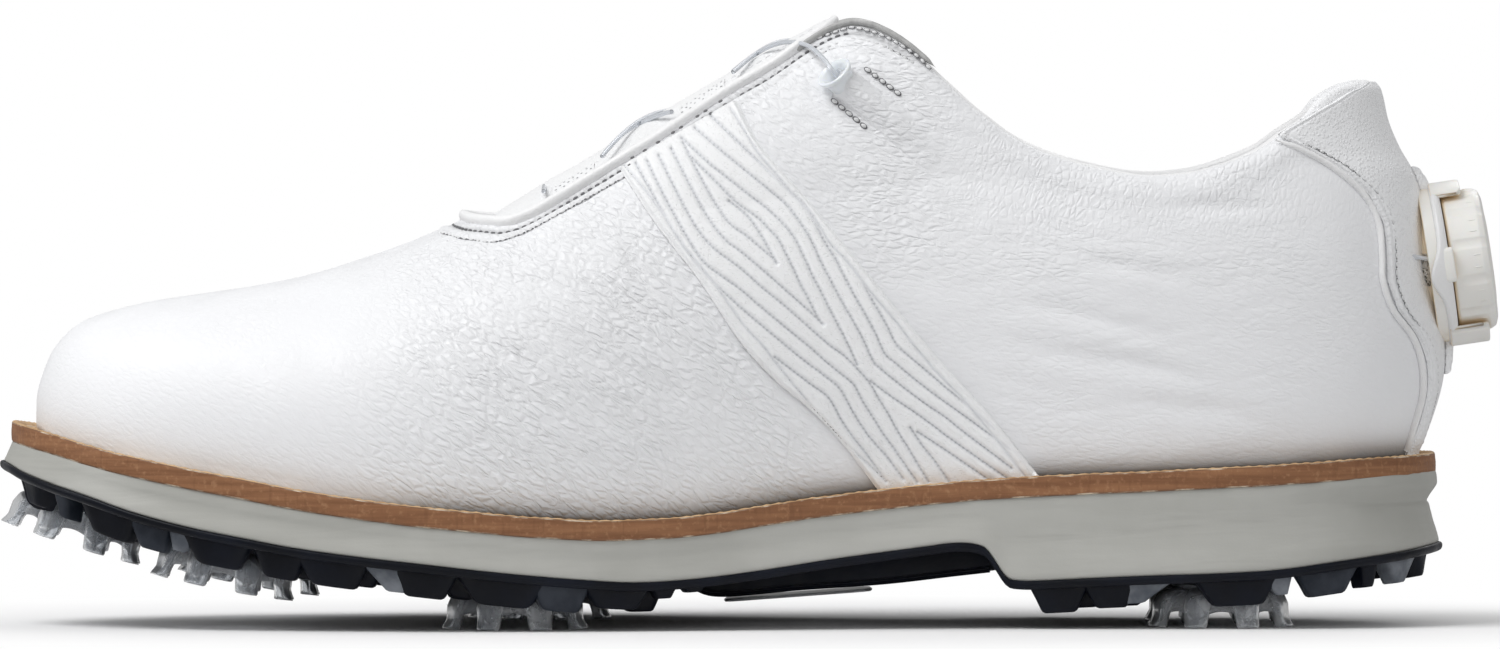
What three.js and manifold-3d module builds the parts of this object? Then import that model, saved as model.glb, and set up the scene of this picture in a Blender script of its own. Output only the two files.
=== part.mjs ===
// Golf shoe, right foot, with a heel dial lacing system, built as separate pieces. Millimetres.
// The toe points to -X, the heel and its dial to +X, +Z is up. The medial (inner) side is -Y,
// the lateral side +Y. z = 0 is the ground under the cleat tips.
import * as THREE from "three";
import { mergeVertices } from "three/addons/utils/BufferGeometryUtils.js";
import Module from "manifold-3d";

const wasm = await Module();
wasm.setup();
const { clamp, degToRad, smoothstep } = THREE.MathUtils;

// ---------- driving dimensions ----------
const FRAME_SHIFT = [-0.251, -0.985, 0]; // puts the origin under the middle of the whole shoe
const MEDIAL = -1; // a side is the sign of its Y
const LATERAL = 1;
const WELT_T = 3.4; // welt thickness
const WELT_SHELF = 4.4; // welt showing outside the upper
const LEATHER_T = 1.4; // upper leather
const LINING_IN = 3.4; // lining's outer face, below the leather's outer face
const LINING_T = 1.2;
const RIM_T = 1.8; // outsole plate
const LUG_H = 4.9; // tread lug below the plate
const CLEAT_H = 8.9; // cleat tip below its seat
const CLEAT_R = 14.6; // reach of a cleat leg
const SEAT_R = 10.2; // cleat receptacle flange
const LACE_R = 0.45;
const LACE_TUBE_R = 1;
const LACE_TUBE_BORE_R = 0.66;
const LACE_BORE_R = 1.25; // passage cut for the lace through leather and dial base
const DIAL_TILT = degToRad(8.4); // the dial's axis leans up by this much
const DIAL_AT = [139.7, 0, 72.2]; // centre of the dial's seat plane
const DIAL_WELL_R = 9.7;
const KNOB_R = 14.2;

// Plan of the welt's outer edge (x, y): heel to toe on the medial side.
const MEDIAL_PLAN = [
  [137.4, 0], [136, -9], [132, -17.8], [125, -25], [115, -30.3], [100, -33], [80, -33.5],
  [60, -32.6], [40, -32.6], [20, -34.6], [0, -38.8], [-20, -43.9], [-40, -48], [-60, -49.8],
  [-80, -49], [-100, -46.2], [-115, -42.3], [-128, -36.3], [-138, -28.6], [-145, -18.5],
  [-147.8, -6],
];
// The same (x, y), toe back to heel on the lateral side.
const LATERAL_PLAN = [
  [-145.4, 6.5], [-138, 17.6], [-128, 26.6], [-115, 34.8], [-100, 41.2], [-80, 47.2],
  [-60, 50.8], [-40, 51.8], [-20, 50], [0, 46.4], [20, 42.6], [40, 39.4], [60, 37.2], [80, 36],
  [100, 34.2], [115, 30.8], [125, 25.2], [132, 17.9], [136, 9],
];
// Welt's top edge along the shoe (x, z).
const WELT_TOP = [
  [-147.8, 40.6], [-140, 38.8], [-132, 36.6], [-124, 34.6], [-116, 33], [-108, 31.5], [-100, 30],
  [-92, 28.4], [-84, 27.1], [-76, 26], [-68, 25], [-60, 24.2], [-52, 23.4], [-44, 22.7],
  [-36, 22.2], [-28, 21.9], [-20, 22.1], [-12, 22.6], [-4, 23.6], [4, 24.8], [12, 26], [20, 27],
  [28, 27.9], [36, 28.7], [44, 29.4], [52, 30], [60, 30.4], [68, 30.8], [76, 31.1], [84, 31.5],
  [92, 31.9], [100, 32.3], [108, 32.7], [116, 33.2], [124, 33.7], [132, 34], [137.4, 34.2],
];
// Midsole's lower edge (x, z), with the toe spring, the arch and the heel breast.
const MID_BOTTOM = [
  [-149.8, 33], [-148, 32.4], [-145, 31], [-140, 29.2], [-132, 26.7], [-124, 24], [-116, 21.8],
  [-108, 20], [-100, 18.5], [-92, 17], [-84, 15.8], [-76, 14.8], [-68, 13.9], [-60, 13],
  [-52, 12.1], [-44, 11.3], [-32.2, 10.3], [-22.8, 9.8], [-11, 10.4], [1.6, 11.9], [14.2, 13.8],
  [26.8, 15.5], [36, 16.7], [40, 17.2], [43.6, 17.2], [45.6, 16.8], [47, 16.1], [48.6, 14],
  [50.4, 11.2], [51.6, 10.1], [53.2, 9.8], [56, 9.7], [68.4, 10.3], [80.6, 10.8], [92.8, 11.2],
  [105, 11.9], [117.4, 13.5], [129.6, 15.1], [138, 16.5],
];
// Top line of the last (x, z): toe cap, vamp, instep, then on up the leg.
const TOE_X = -142.8;
const RIDGE = [
  [-142.8, 42], [-142.7, 45.6], [-141.6, 50], [-140, 54], [-137.2, 57.8], [-133.6, 60.6],
  [-129.6, 62.2], [-120, 64.6], [-110, 66.2], [-98, 68], [-86, 70.6], [-74, 74.4], [-66, 77.4],
  [-58, 81.2], [-49.4, 85.4], [-42, 89.4], [-33.2, 94.2], [-22, 101.2], [-10, 108.6],
  [2, 115.6], [10, 120.4], [20, 126.4], [30, 132.4], [50, 144.4], [78.6, 159.6], [110, 173.6],
  [140, 185],
];
// Heel's back line (z, x).
const HEEL_BACK = [
  [34.8, 133.5], [37.7, 134.8], [45.6, 137.6], [51.2, 138.6], [58, 138.6], [65, 137.8],
  [72, 136.8], [80, 135.4], [86, 133.9], [90.3, 132.4], [95.1, 129.7], [100.2, 127.5],
  [106.6, 125.9], [108, 124.8],
];
// Seams in side view (x, z), top to bottom.
const STRAP_FRONT = [
  [-25.6, 90.8], [-18.3, 79.9], [-10.1, 69.3], [-1.8, 57], [5.2, 49.4], [12.2, 43.5],
  [18.7, 36.5], [26.7, 26.0],
];
const STRAP_BACK = [
  [-2.4, 104.4], [2.2, 95.8], [10.5, 86.4], [20.5, 74.3], [30.4, 62.3], [38.4, 52.9],
  [48, 42.4], [57.6, 30.4],
];
const BACKSTAY_EDGE = [
  [104.8, 98.3], [111.2, 95.1], [117.6, 91.3], [123.3, 86.2], [126.2, 80.4], [126.8, 74.1],
  [127, 69], [129.1, 63.2], [132.9, 58.1], [134.8, 53], [135.1, 46.6], [133.5, 40.3],
  [131, 33.6],
];
const PATCH_EDGE = [
  [131.5, 92], [133.5, 90], [135.4, 83], [134.7, 77.9], [133.0, 73.2], [132.8, 70.2],
  [134.8, 68.2], [136.6, 65.8], [137.6, 60.7], [138.2, 51.4],
];

// ---------- small maths ----------
const mix = (a, b, t) => a + (b - a) * t;
const mixPoint = (a, b, t) => a.map((v, i) => mix(v, b[i], t));
const vector = (p) => new THREE.Vector3(...p);
const place = (p, matrix) => vector(p).applyMatrix4(matrix).toArray();
const raise = (height, by) => (x) => height(x) + by;

// Smooth function through a table of (input, output), held flat beyond its ends.
function spline(table) {
  const last = table.length - 1;
  const slopes = table.map((_, i) => {
    const before = table[Math.max(i - 1, 0)];
    const after = table[Math.min(i + 1, last)];
    return (after[1] - before[1]) / (after[0] - before[0]);
  });
  return (x) => {
    if (x <= table[0][0]) return table[0][1];
    if (x >= table[last][0]) return table[last][1];
    let i = 0;
    while (table[i + 1][0] < x) i++;
    const [x0, y0] = table[i];
    const [x1, y1] = table[i + 1];
    const span = x1 - x0;
    const t = (x - x0) / span;
    const t2 = t * t;
    const t3 = t2 * t;
    return (2 * t3 - 3 * t2 + 1) * y0 + (t3 - 2 * t2 + t) * span * slopes[i]
      + (3 * t2 - 2 * t3) * y1 + (t3 - t2) * span * slopes[i + 1];
  };
}

// Closed Catmull-Rom curve through plan points.
function closedCurve(points, perSpan) {
  const n = points.length;
  return points.flatMap((p1, i) => {
    const p0 = points[(i + n - 1) % n];
    const p2 = points[(i + 1) % n];
    const p3 = points[(i + 2) % n];
    return Array.from({ length: perSpan }, (_, k) => {
      const t = k / perSpan;
      const t2 = t * t;
      const t3 = t2 * t;
      return [0, 1].map((c) => 0.5 * (2 * p1[c] + (p2[c] - p0[c]) * t
        + (2 * p0[c] - 5 * p1[c] + 4 * p2[c] - p3[c]) * t2
        + (3 * p1[c] - p0[c] - 3 * p2[c] + p3[c]) * t3));
    });
  });
}

const weltTop = spline(WELT_TOP);
const midBottom = spline(MID_BOTTOM);
const heelBack = spline(HEEL_BACK);
// The ridge is splined over the root of the distance from the toe, where it rises steeply.
const ridgeByRoot = spline(RIDGE.map(([x, z]) => [Math.sqrt(x - TOE_X), z]));
const ridge = (x) => ridgeByRoot(Math.sqrt(Math.max(0, x - TOE_X)));

// ---------- plan outline ----------
const PLAN = closedCurve([...MEDIAL_PLAN, ...LATERAL_PLAN], 24);

// Straight-line reading of y at x from an edge that runs heel to toe.
function readEdge(edge, x) {
  if (x >= edge[0][0]) return edge[0][1];
  const i = edge.findIndex((point) => point[0] <= x);
  if (i < 0) return edge.at(-1)[1];
  const [xa, ya] = edge[i - 1];
  const [xb, yb] = edge[i];
  return xa === xb ? yb : ya + ((yb - ya) * (x - xa)) / (xb - xa);
}

// The plan outline moved inwards by inset (outwards if negative).
function outline(inset) {
  const n = PLAN.length;
  const points = PLAN.map(([x, y], i) => {
    const before = PLAN[(i + n - 3) % n];
    const after = PLAN[(i + 3) % n];
    const dx = after[0] - before[0];
    const dy = after[1] - before[1];
    const length = Math.hypot(dx, dy);
    return [x + (dy / length) * inset, y - (dx / length) * inset];
  });
  let heel = 0;
  let toe = 0;
  points.forEach(([x], i) => {
    if (x > points[heel][0]) heel = i;
    if (x < points[toe][0]) toe = i;
  });
  const walk = (from, to) => {
    const run = [points[from]];
    for (let i = from; i !== to;) {
      i = (i + 1) % n;
      run.push(points[i]);
    }
    return run;
  };
  const medial = walk(heel, toe);
  const lateral = walk(toe, heel).reverse();
  return {
    xmin: points[toe][0],
    xmax: points[heel][0],
    tipY: points[toe][1],
    heelY: points[heel][1],
    y: (x, side) => readEdge(side < 0 ? medial : lateral, x),
  };
}

// ---------- solids ----------
function solid(geometry) {
  const bare = geometry.clone();
  bare.deleteAttribute("normal");
  bare.deleteAttribute("uv");
  const merged = mergeVertices(bare, 1e-4);
  const source = merged.index.array;
  const indices = [];
  for (let i = 0; i < source.length; i += 3) {
    const [a, b, c] = source.subarray(i, i + 3);
    if (a !== b && b !== c && a !== c) indices.push(a, b, c);
  }
  const build = () => new wasm.Manifold(new wasm.Mesh({
    numProp: 3,
    vertProperties: merged.attributes.position.array,
    triVerts: new Uint32Array(indices),
  }));
  const result = build();
  if (result.volume() >= 0) return result;
  // Inside out: turn every triangle over.
  for (let i = 0; i < indices.length; i += 3) {
    [indices[i + 1], indices[i + 2]] = [indices[i + 2], indices[i + 1]];
  }
  return build();
}
function polyhedron(points, faces) {
  const geometry = new THREE.BufferGeometry();
  const positions = new Float32Array(points.flat());
  geometry.setAttribute("position", new THREE.BufferAttribute(positions, 3));
  geometry.setIndex(new THREE.BufferAttribute(new Uint32Array(faces.flat()), 1));
  return solid(geometry);
}
function geometryOf(shape) {
  const mesh = shape.getMesh();
  const positions = new Float32Array(mesh.numVert * 3);
  for (let i = 0; i < mesh.numVert; i++) {
    const start = i * mesh.numProp;
    positions.set(mesh.vertProperties.subarray(start, start + 3), i * 3);
  }
  const geometry = new THREE.BufferGeometry();
  geometry.setAttribute("position", new THREE.BufferAttribute(positions, 3));
  geometry.setIndex(new THREE.BufferAttribute(new Uint32Array(mesh.triVerts), 1));
  geometry.computeVertexNormals();
  return geometry;
}
const largest = (shape) => shape.decompose().sort((a, b) => b.volume() - a.volume())[0];
const moved = (shape, matrix) => shape.transform(matrix.elements);

// Faces between two loops of n points; otherSplit uses the quads' other diagonal.
function band(n, from, to, otherSplit = false) {
  const faces = [];
  for (let i = 0; i < n; i++) {
    const j = (i + 1) % n;
    const [a, b, c, d] = [from * n + i, from * n + j, to * n + j, to * n + i];
    if (otherSplit) faces.push([a, b, d], [b, c, d]);
    else faces.push([a, b, c], [a, c, d]);
  }
  return faces;
}
// Closed solid from a stack of loops of equal count. Each end is capped by strips joining its two
// sides: point i meets point n - i, or n - 1 - i when skip is 1.
function stack(loops, skip = 0) {
  const n = loops[0].length;
  const faces = [];
  for (let l = 0; l + 1 < loops.length; l++) faces.push(...band(n, l, l + 1));
  const cap = (base, flip) => {
    const addFace = (p, q, r) => {
      if (p !== q && q !== r && p !== r) faces.push(flip ? [p, r, q] : [p, q, r]);
    };
    for (let i = 0; i < n / 2 - skip; i++) {
      const a = base + i;
      const b = a + 1;
      const c = base + n - skip - i - 1;
      const d = base + ((n - skip - i) % n);
      addFace(a, c, b);
      addFace(a, d, c);
    }
  };
  cap(0, false);
  cap((loops.length - 1) * n, true);
  return polyhedron(loops.flat(), faces);
}
// Closed ring from loops that run round its section; from loop turn on, the split changes over.
function ring(loops, turn = Infinity) {
  const faces = loops.flatMap((loop, l) => band(loop.length, l, (l + 1) % loops.length, l >= turn));
  return polyhedron(loops.flat(), faces);
}
// Solid between two grids of points, an outer and an inner one.
function slab(outer, inner) {
  const nu = outer.length;
  const nv = outer[0].length;
  const off = nu * nv;
  const faces = [];
  const quad = (a, b, c, d) => faces.push([a, b, c], [a, c, d]);
  const wall = (a, b) => quad(a, b, off + b, off + a);
  for (let u = 0; u + 1 < nu; u++) for (let v = 0; v + 1 < nv; v++) {
    const a = u * nv + v;
    const b = a + nv;
    quad(a, b, b + 1, a + 1);
    quad(off + a + 1, off + b + 1, off + b, off + a);
  }
  for (let u = 0; u + 1 < nu; u++) {
    const next = (u + 1) * nv;
    wall(next, u * nv);
    wall(next - 1, next + nv - 1);
  }
  for (let v = 0; v + 1 < nv; v++) {
    wall(v, v + 1);
    wall((nu - 1) * nv + v + 1, (nu - 1) * nv + v);
  }
  return polyhedron([...outer.flat(), ...inner.flat()], faces);
}
// Sheet of even height below a grid of points.
const sheet = (grid, thickness) =>
  slab(grid, grid.map((row) => row.map(([x, y, z]) => [x, y, z - thickness])));

// Prism across the shoe from a side-view polygon of (x, z).
const REACH = 90; // beyond the shoe on either side
function prismY(polygon, [y0, y1] = [-REACH, REACH]) {
  const shape = new THREE.Shape(polygon.map(([x, z]) => new THREE.Vector2(x, z)));
  const geometry = new THREE.ExtrudeGeometry(shape, { depth: y1 - y0, bevelEnabled: false });
  geometry.rotateX(Math.PI / 2); // (x, z, depth) to (x, -depth, z)
  geometry.translate(0, y1, 0);
  return solid(geometry);
}
const oneSide = (side, gap) => (side < 0 ? [-REACH, -gap] : [gap, REACH]);
const shiftX = (polygon, by) => polygon.map(([x, z]) => [x + by, z]);

function cylinder(radius, z0, z1, segments) {
  const geometry = new THREE.CylinderGeometry(radius, radius, z1 - z0, segments);
  geometry.rotateX(Math.PI / 2);
  geometry.translate(0, 0, (z0 + z1) / 2);
  return solid(geometry);
}
// Solid of revolution about Z. The (radius, z) profile starts and ends on the axis,
// or comes back to its first point.
function lathe(profile, segments) {
  const points = profile.map(([radius, z]) => new THREE.Vector2(radius, z));
  const geometry = new THREE.LatheGeometry(points, segments);
  geometry.rotateX(Math.PI / 2);
  return solid(geometry);
}
function tube(points, radius, steps, sides = 5) {
  const extrudePath = new THREE.CatmullRomCurve3(points.map(vector), false, "centripetal");
  const section = new THREE.Shape(Array.from({ length: sides }, (_, i) => {
    const angle = (i / sides) * Math.PI * 2;
    return new THREE.Vector2(radius * Math.cos(angle), radius * Math.sin(angle));
  }));
  section.closePath();
  const options = { steps, extrudePath, bevelEnabled: false };
  return solid(new THREE.ExtrudeGeometry(section, options));
}

// ---------- sole unit ----------
// Stations along the sole, as shares of its half length: 1 at the heel, -1 at the toe.
const STATIONS = [
  1, 0.99, 0.965, 0.92, 0.85, 0.74, 0.6, 0.47, 0.41, 0.385, 0.37, 0.357, 0.342, 0.325, 0.27,
  0.16, 0.05, -0.06, -0.17, -0.28, -0.39, -0.5, -0.61, -0.71, -0.8, -0.87, -0.925, -0.965,
  -0.99, -1,
];
function planLoop(inset, height) {
  const edge = outline(inset);
  const middle = (edge.xmax + edge.xmin) / 2;
  const half = (edge.xmax - edge.xmin) / 2;
  const point = (station, y) => {
    const x = middle + half * station;
    return [x, y ?? edge.y(x, MEDIAL), height(x)];
  };
  const between = STATIONS.slice(1, -1);
  return [
    point(STATIONS[0], edge.heelY),
    ...between.map((station) => point(station)),
    point(STATIONS.at(-1), edge.tipY),
    ...between.reverse().map((station) => {
      const x = middle + half * station;
      return [x, edge.y(x, LATERAL), height(x)];
    }),
  ];
}
// Loops from rows of [inset, height above the base line].
const loopsOn = (base, rows) => rows.map(([inset, by]) => planLoop(inset, raise(base, by)));

const makeWelt = () =>
  ring(loopsOn(weltTop, [[0, 0], [0, -WELT_T], [9.4, -WELT_T], [9.4, 0]]));
const makeFiller = () => stack(loopsOn(weltTop, [[9.8, -0.7], [9.8, -WELT_T]]));
const makeInsoleBoard = () => stack(loopsOn(weltTop, [[11, 1.75], [11, 0.15]]));
const makeFootbed = () => stack(loopsOn(weltTop, [[12.2, 6], [11.2, 4], [11.2, 2.05]]));

// Shank, and its pocket in the top of the midsole.
const midTop = raise(weltTop, -WELT_T - 0.12);
const SHANK = { halfWidth: 8, from: -20, to: 88, thickness: 1.4, below: 0.2 };
const POCKET = { sideGap: 0.4, endGap: 0.5, above: 0.5, height: 2.3 };
function shankPlate(halfWidth, from, to, top, thickness) {
  const spans = 8;
  const grid = [];
  for (let i = 0; i <= spans; i++) {
    const x = from + ((to - from) * i) / spans;
    grid.push([[x, -halfWidth, top(x)], [x, halfWidth, top(x)]]);
  }
  return sheet(grid, thickness);
}
const makeShank = () => shankPlate(
  SHANK.halfWidth, SHANK.from, SHANK.to, raise(midTop, -SHANK.below), SHANK.thickness,
);
const makeShankPocket = () => shankPlate(
  SHANK.halfWidth + POCKET.sideGap, SHANK.from - POCKET.endGap, SHANK.to + POCKET.endGap,
  raise(midTop, POCKET.above), POCKET.height,
);

// Outsole plate with the bridge under the waist.
function makePlate() {
  const plate = stack(loopsOn(midBottom, [[-1.5, -0.02], [-1.5, -0.9], [-0.6, -RIM_T]]));
  const underside = [[-14, 8.0], [-6, 5.7], [10, 7.0], [26.8, 8.2], [40, 9.7], [49.6, 10.9]];
  const topside = [49.6, 47, 43, 36, 26, 14, 2, -8, -14].map((x) => [x, midBottom(x) - 0.9]);
  return plate.add(prismY([...underside, ...topside], [-17, 15]));
}
const makeBadge = () =>
  prismY([[-5.2, 5.15], [-5.2, 4.55], [24.5, 6.75], [24.5, 7.35]], [-9, 7]);

// Cleats: name, x, y, and whether the seat is level, with its tips on the ground.
// The others lean so that the seat faces the local slope of the sole.
const SLOPE_REACH = 8;
const CLEATS = [
  ["toe", -133.4, -6.0, false],
  ["fore_medial", -103.6, -25.6, false], ["fore_lateral", -99.5, 20.4, false],
  ["ball_medial", -46.8, -28.2, true], ["ball_lateral", -42.5, 29.6, true],
  ["heel_medial", 94, -15.4, true], ["heel_lateral", 94, 16.2, true],
].map(([name, x, y, isLevel]) => {
  const rise = midBottom(x - SLOPE_REACH) - midBottom(x + SLOPE_REACH);
  const lean = isLevel ? 0 : Math.atan(rise / (2 * SLOPE_REACH)); // toe up is positive
  const z = isLevel ? CLEAT_H : midBottom(x) - RIM_T / Math.cos(lean) - 0.5;
  const frame = new THREE.Matrix4().makeTranslation(x, y, z)
    .multiply(new THREE.Matrix4().makeRotationY(lean));
  return { name, frame };
});
const atCleats = (shape) => CLEATS.map(({ frame }) => moved(shape, frame));
const addAll = (shape, parts) => parts.reduce((sum, part) => sum.add(part), shape);
const cutAll = (shape, tools) => tools.reduce((rest, tool) => rest.subtract(tool), shape);

// Tread lugs: tapered blocks, long side along the plan direction (dirX, dirY).
const LUG_TAPER = 0.66;
const lugTop = raise(midBottom, -RIM_T + 0.7);
const lugBottom = raise(midBottom, -RIM_T - LUG_H);
function lug(x, y, dirX, dirY, length, width, bottom) {
  const corners = [[-1, -1], [1, -1], [1, 1], [-1, 1]];
  return stack([[1, lugTop], [LUG_TAPER, bottom]].map(([taper, height]) =>
    corners.map(([a, b]) => {
      const along = (a * length * taper) / 2;
      const across = (b * width * (0.5 + 0.5 * taper)) / 2;
      const px = x + dirX * along - dirY * across;
      return [px, y + dirY * along + dirX * across, height(px)];
    })), 1);
}
// Lugs round the rim on each side: x, length.
const RIM_LUGS = [
  [MEDIAL, [
    [-140, 10], [-132, 9], [-125.5, 10], [-113, 10], [-104.5, 12], [-92.6, 10], [-82.5, 13],
    [-70, 11], [-58.5, 10], [-46, 12], [-33.5, 10], [-22.5, 9], [61.5, 10], [74.5, 14],
    [97, 15], [114.5, 11], [124, 9],
  ]],
  [LATERAL, [
    [-137.5, 10], [-129, 10], [-119, 10], [-107, 11], [-94.5, 11], [-82, 12], [-69.5, 11],
    [-57.5, 11], [-45, 12], [-32.5, 10], [-21.5, 9], [61.5, 10], [75, 13], [97, 15],
    [114.5, 11], [124, 9],
  ]],
];
const RIM_LUG_W = 5.6;
// The two lugs at the back of the heel, then the inner ones: x, y, direction x, y, length, width.
const INNER_LUGS = [
  [132.2, -9, 0.25, -0.97, 10, 5], [132.2, 9, 0.25, 0.97, 10, 5],
  [-118, -27, 0.9, 0.43, 8, 5], [-117, 13, 0.9, -0.43, 8, 5], [-101.5, -2.6, 0, 1, 9, 6],
  [-84, -12, 0.9, 0.43, 10, 6], [-82, 10, 0.9, -0.43, 10, 6], [-72, -27, 1, 0, 10, 6],
  [-70, 28, 1, 0, 10, 6], [-62, 0, 0, 1, 12, 6], [-44, 0, 0, 1, 12, 6],
  [-28, -14, 0.9, -0.43, 9, 5], [-26, 14, 0.9, 0.43, 9, 5], [-22, 30, 1, 0, 9, 5],
  [64, 0, 0, 1, 14, 6], [76, -14, 0.9, 0.43, 7, 5], [76, 16, 0.9, -0.43, 7, 5],
  [114, 0, 0, 1, 12, 6],
];
function makeTread() {
  const edge = outline(3.1);
  const step = 1.5; // half the chord that gives a rim lug its direction
  const lugs = RIM_LUGS.flatMap(([side, entries]) => entries.map(([x, length]) => {
    const dy = edge.y(x + step, side) - edge.y(x - step, side);
    const chord = Math.hypot(2 * step, dy);
    const direction = [(2 * step) / chord, dy / chord];
    return lug(x, edge.y(x, side), ...direction, length, RIM_LUG_W, lugBottom);
  }));
  const innerBottom = raise(lugBottom, 0.8);
  for (const entry of INNER_LUGS) lugs.push(lug(...entry, innerBottom));
  const tread = addAll(lugs[0], lugs.slice(1));
  return cutAll(tread, atCleats(cylinder(CLEAT_R + 0.9, -12, 5, 16)));
}

const seatRooms = atCleats(cylinder(SEAT_R + 0.5, -3, 6.2, 12));
function makeOutsole() {
  const bosses = atCleats(cylinder(12.2, 0, 1.5, 12));
  return largest(cutAll(addAll(makePlate().add(makeTread()), bosses), seatRooms));
}
function makeMidsole(outsole) {
  const groove = (x) => midBottom(x) + (midTop(x) - midBottom(x)) * 0.52;
  const foot = raise(midBottom, 0.08);
  const block = stack([planLoop(0.35, midTop), planLoop(0.1, groove), planLoop(-1.2, foot)]);
  const bossRooms = atCleats(cylinder(12.7, -3, 1.8, 12));
  let midsole = block.subtract(makeShankPocket());
  CLEATS.forEach((_, i) => {
    midsole = midsole.subtract(seatRooms[i]).subtract(bossRooms[i]);
  });
  return largest(midsole.subtract(outsole.translate([0, 0, 0.05])));
}

const makeReceptacle = () => lathe([
  [0, 5.9], [7.4, 5.9], [7.4, 2.3], [SEAT_R, 2.3], [SEAT_R, 0.15], [4.9, 0.15], [4.9, 4.9],
  [0, 4.9],
], 12);
// Cleat hub with its stud, and eight legs.
const LEG_COUNT = 8;
// Leg sections from hub to tip: outer radius, outer z, inner radius, inner z, half width.
const LEG_SECTIONS = [
  [7.6, -0.6, 7.6, -3.0, 2.7],
  [13.4, -3.1, 11.2, -4.7, 2.1],
  [14.55, -CLEAT_H, 12.3, -CLEAT_H, 1.5],
];
function makeCleat() {
  const hub = lathe([
    [0, -4.5], [5, -4.5], [5.6, -3.2], [9.5, -2.6], [9.6, -0.3], [4.5, -0.3], [4.5, 4.5],
    [0, 4.5],
  ], 10).rotate([0, 0, 4]);
  const leg = stack(LEG_SECTIONS.map(([outerR, outerZ, innerR, innerZ, half]) => [
    [outerR, -half, outerZ], [outerR, half, outerZ],
    [innerR, half, innerZ], [innerR, -half, innerZ],
  ]), 1);
  const legs = Array.from({ length: LEG_COUNT }, (_, i) => {
    const angle = (i / LEG_COUNT) * Math.PI * 2 + Math.PI / LEG_COUNT;
    return moved(leg, new THREE.Matrix4().makeRotationZ(angle));
  });
  return addAll(hub, legs);
}

// ---------- the last: y is a function of (x, z) on each side ----------
const FEATHER = outline(WELT_SHELF); // where the upper meets the welt
// Centre line's y, profile exponent and side bulge, all by x.
const ridgeY = spline([
  [TOE_X, FEATHER.tipY], [-120, -4.6], [-90, -3.2], [-58, -2.4], [-20, -1.2], [20, 0], [140, 0],
]);
const profileExponent = spline([
  [-143, 2.2], [-110, 2.5], [-60, 2.35], [-20, 2.2], [20, 2.3], [60, 2.6], [140, 2.6],
]);
const bulge = spline([
  [-143, 0.03], [-110, 0.055], [-60, 0.05], [-20, 0.07], [20, 0.11], [60, 0.1], [100, 0.07],
  [140, 0.04],
]);
// Follows the heel's back line: moves x by its lean at height z, fading out towards the waist.
const warp = (x, z) => x - (heelBack(z) - 133.4) * smoothstep(x, 60, 128);
// Share of the feather half-width at height z: 1 at the feather, 0 at the ridge.
function profile(x, z) {
  const foot = weltTop(x);
  const rise = clamp((z - foot) / Math.max(ridge(x) - foot, 0.01), 0, 1);
  const up = clamp((z - foot) / 60, 0, 1);
  const closing = Math.pow(Math.max(0, 1 - Math.pow(rise, profileExponent(x))), 1 / 2.15);
  return closing * (1 + bulge(x) * 3.6 * up * (1 - up));
}
// Half-width of the last, from the centre line to one side.
function width(x, z, side) {
  const warped = warp(x, z);
  if (warped >= FEATHER.xmax || warped <= FEATHER.xmin) return 0;
  const narrowing = 1 - 0.16 * smoothstep(z, 70, 115) * smoothstep(x, 10, 70);
  return Math.max(0, side * (FEATHER.y(warped, side) - ridgeY(x)) * profile(x, z) * narrowing);
}
const lastPoint = (x, z, side) => [x, ridgeY(x) + side * width(x, z, side), z];
// The same point moved outwards by off, square to the last.
function sidePoint(x, z, side, off) {
  const reach = 0.6;
  const slopeX = (width(x + reach, z, side) - width(x - reach, z, side)) / (2 * reach);
  const slopeZ = (width(x, z + reach, side) - width(x, z - reach, side)) / (2 * reach);
  const normal = new THREE.Vector3(-slopeX, side, -slopeZ).normalize();
  return vector(lastPoint(x, z, side)).addScaledVector(normal, off).toArray();
}
function isInside([x, y, z]) {
  if (x <= TOE_X || z >= ridge(x)) return false;
  const centre = ridgeY(x);
  const side = y < centre ? MEDIAL : LATERAL;
  return Math.abs(y - centre) < width(x, Math.max(z, weltTop(x)), side);
}
// Where the ray from start towards target leaves the last.
function cast(start, target) {
  const at = (t) => mixPoint(start, target, t);
  let low = 0;
  let high = 0.1;
  while (high < 12 && isInside(at(high))) {
    low = high;
    high += 0.05;
  }
  for (let i = 0; i < 26; i++) {
    const middle = (low + high) / 2;
    if (isInside(at(middle))) low = middle;
    else high = middle;
  }
  return at(low);
}
// Point on the heel at a height, by angle from straight back round the heel's centre.
const HEEL_CENTRE_X = 100;
function castHeel(degrees, z, side) {
  const angle = degToRad(degrees);
  const target = [HEEL_CENTRE_X + 40 * Math.cos(angle), side * 40 * Math.sin(angle), z];
  return cast([HEEL_CENTRE_X, 0, z], target);
}

// ---------- skin: a grid of rows round the shoe and levels from feather to top line ----------
const LEVELS = [0, 0.11, 0.27, 0.45, 0.64, 0.84, 1];
// Heel rows: angle in degrees, top line z.
const HEEL_ROWS = [[0, 108], [20, 107.9], [38, 106.4], [55, 103.2], [72, 99.6], [88, 95.6]];
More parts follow.
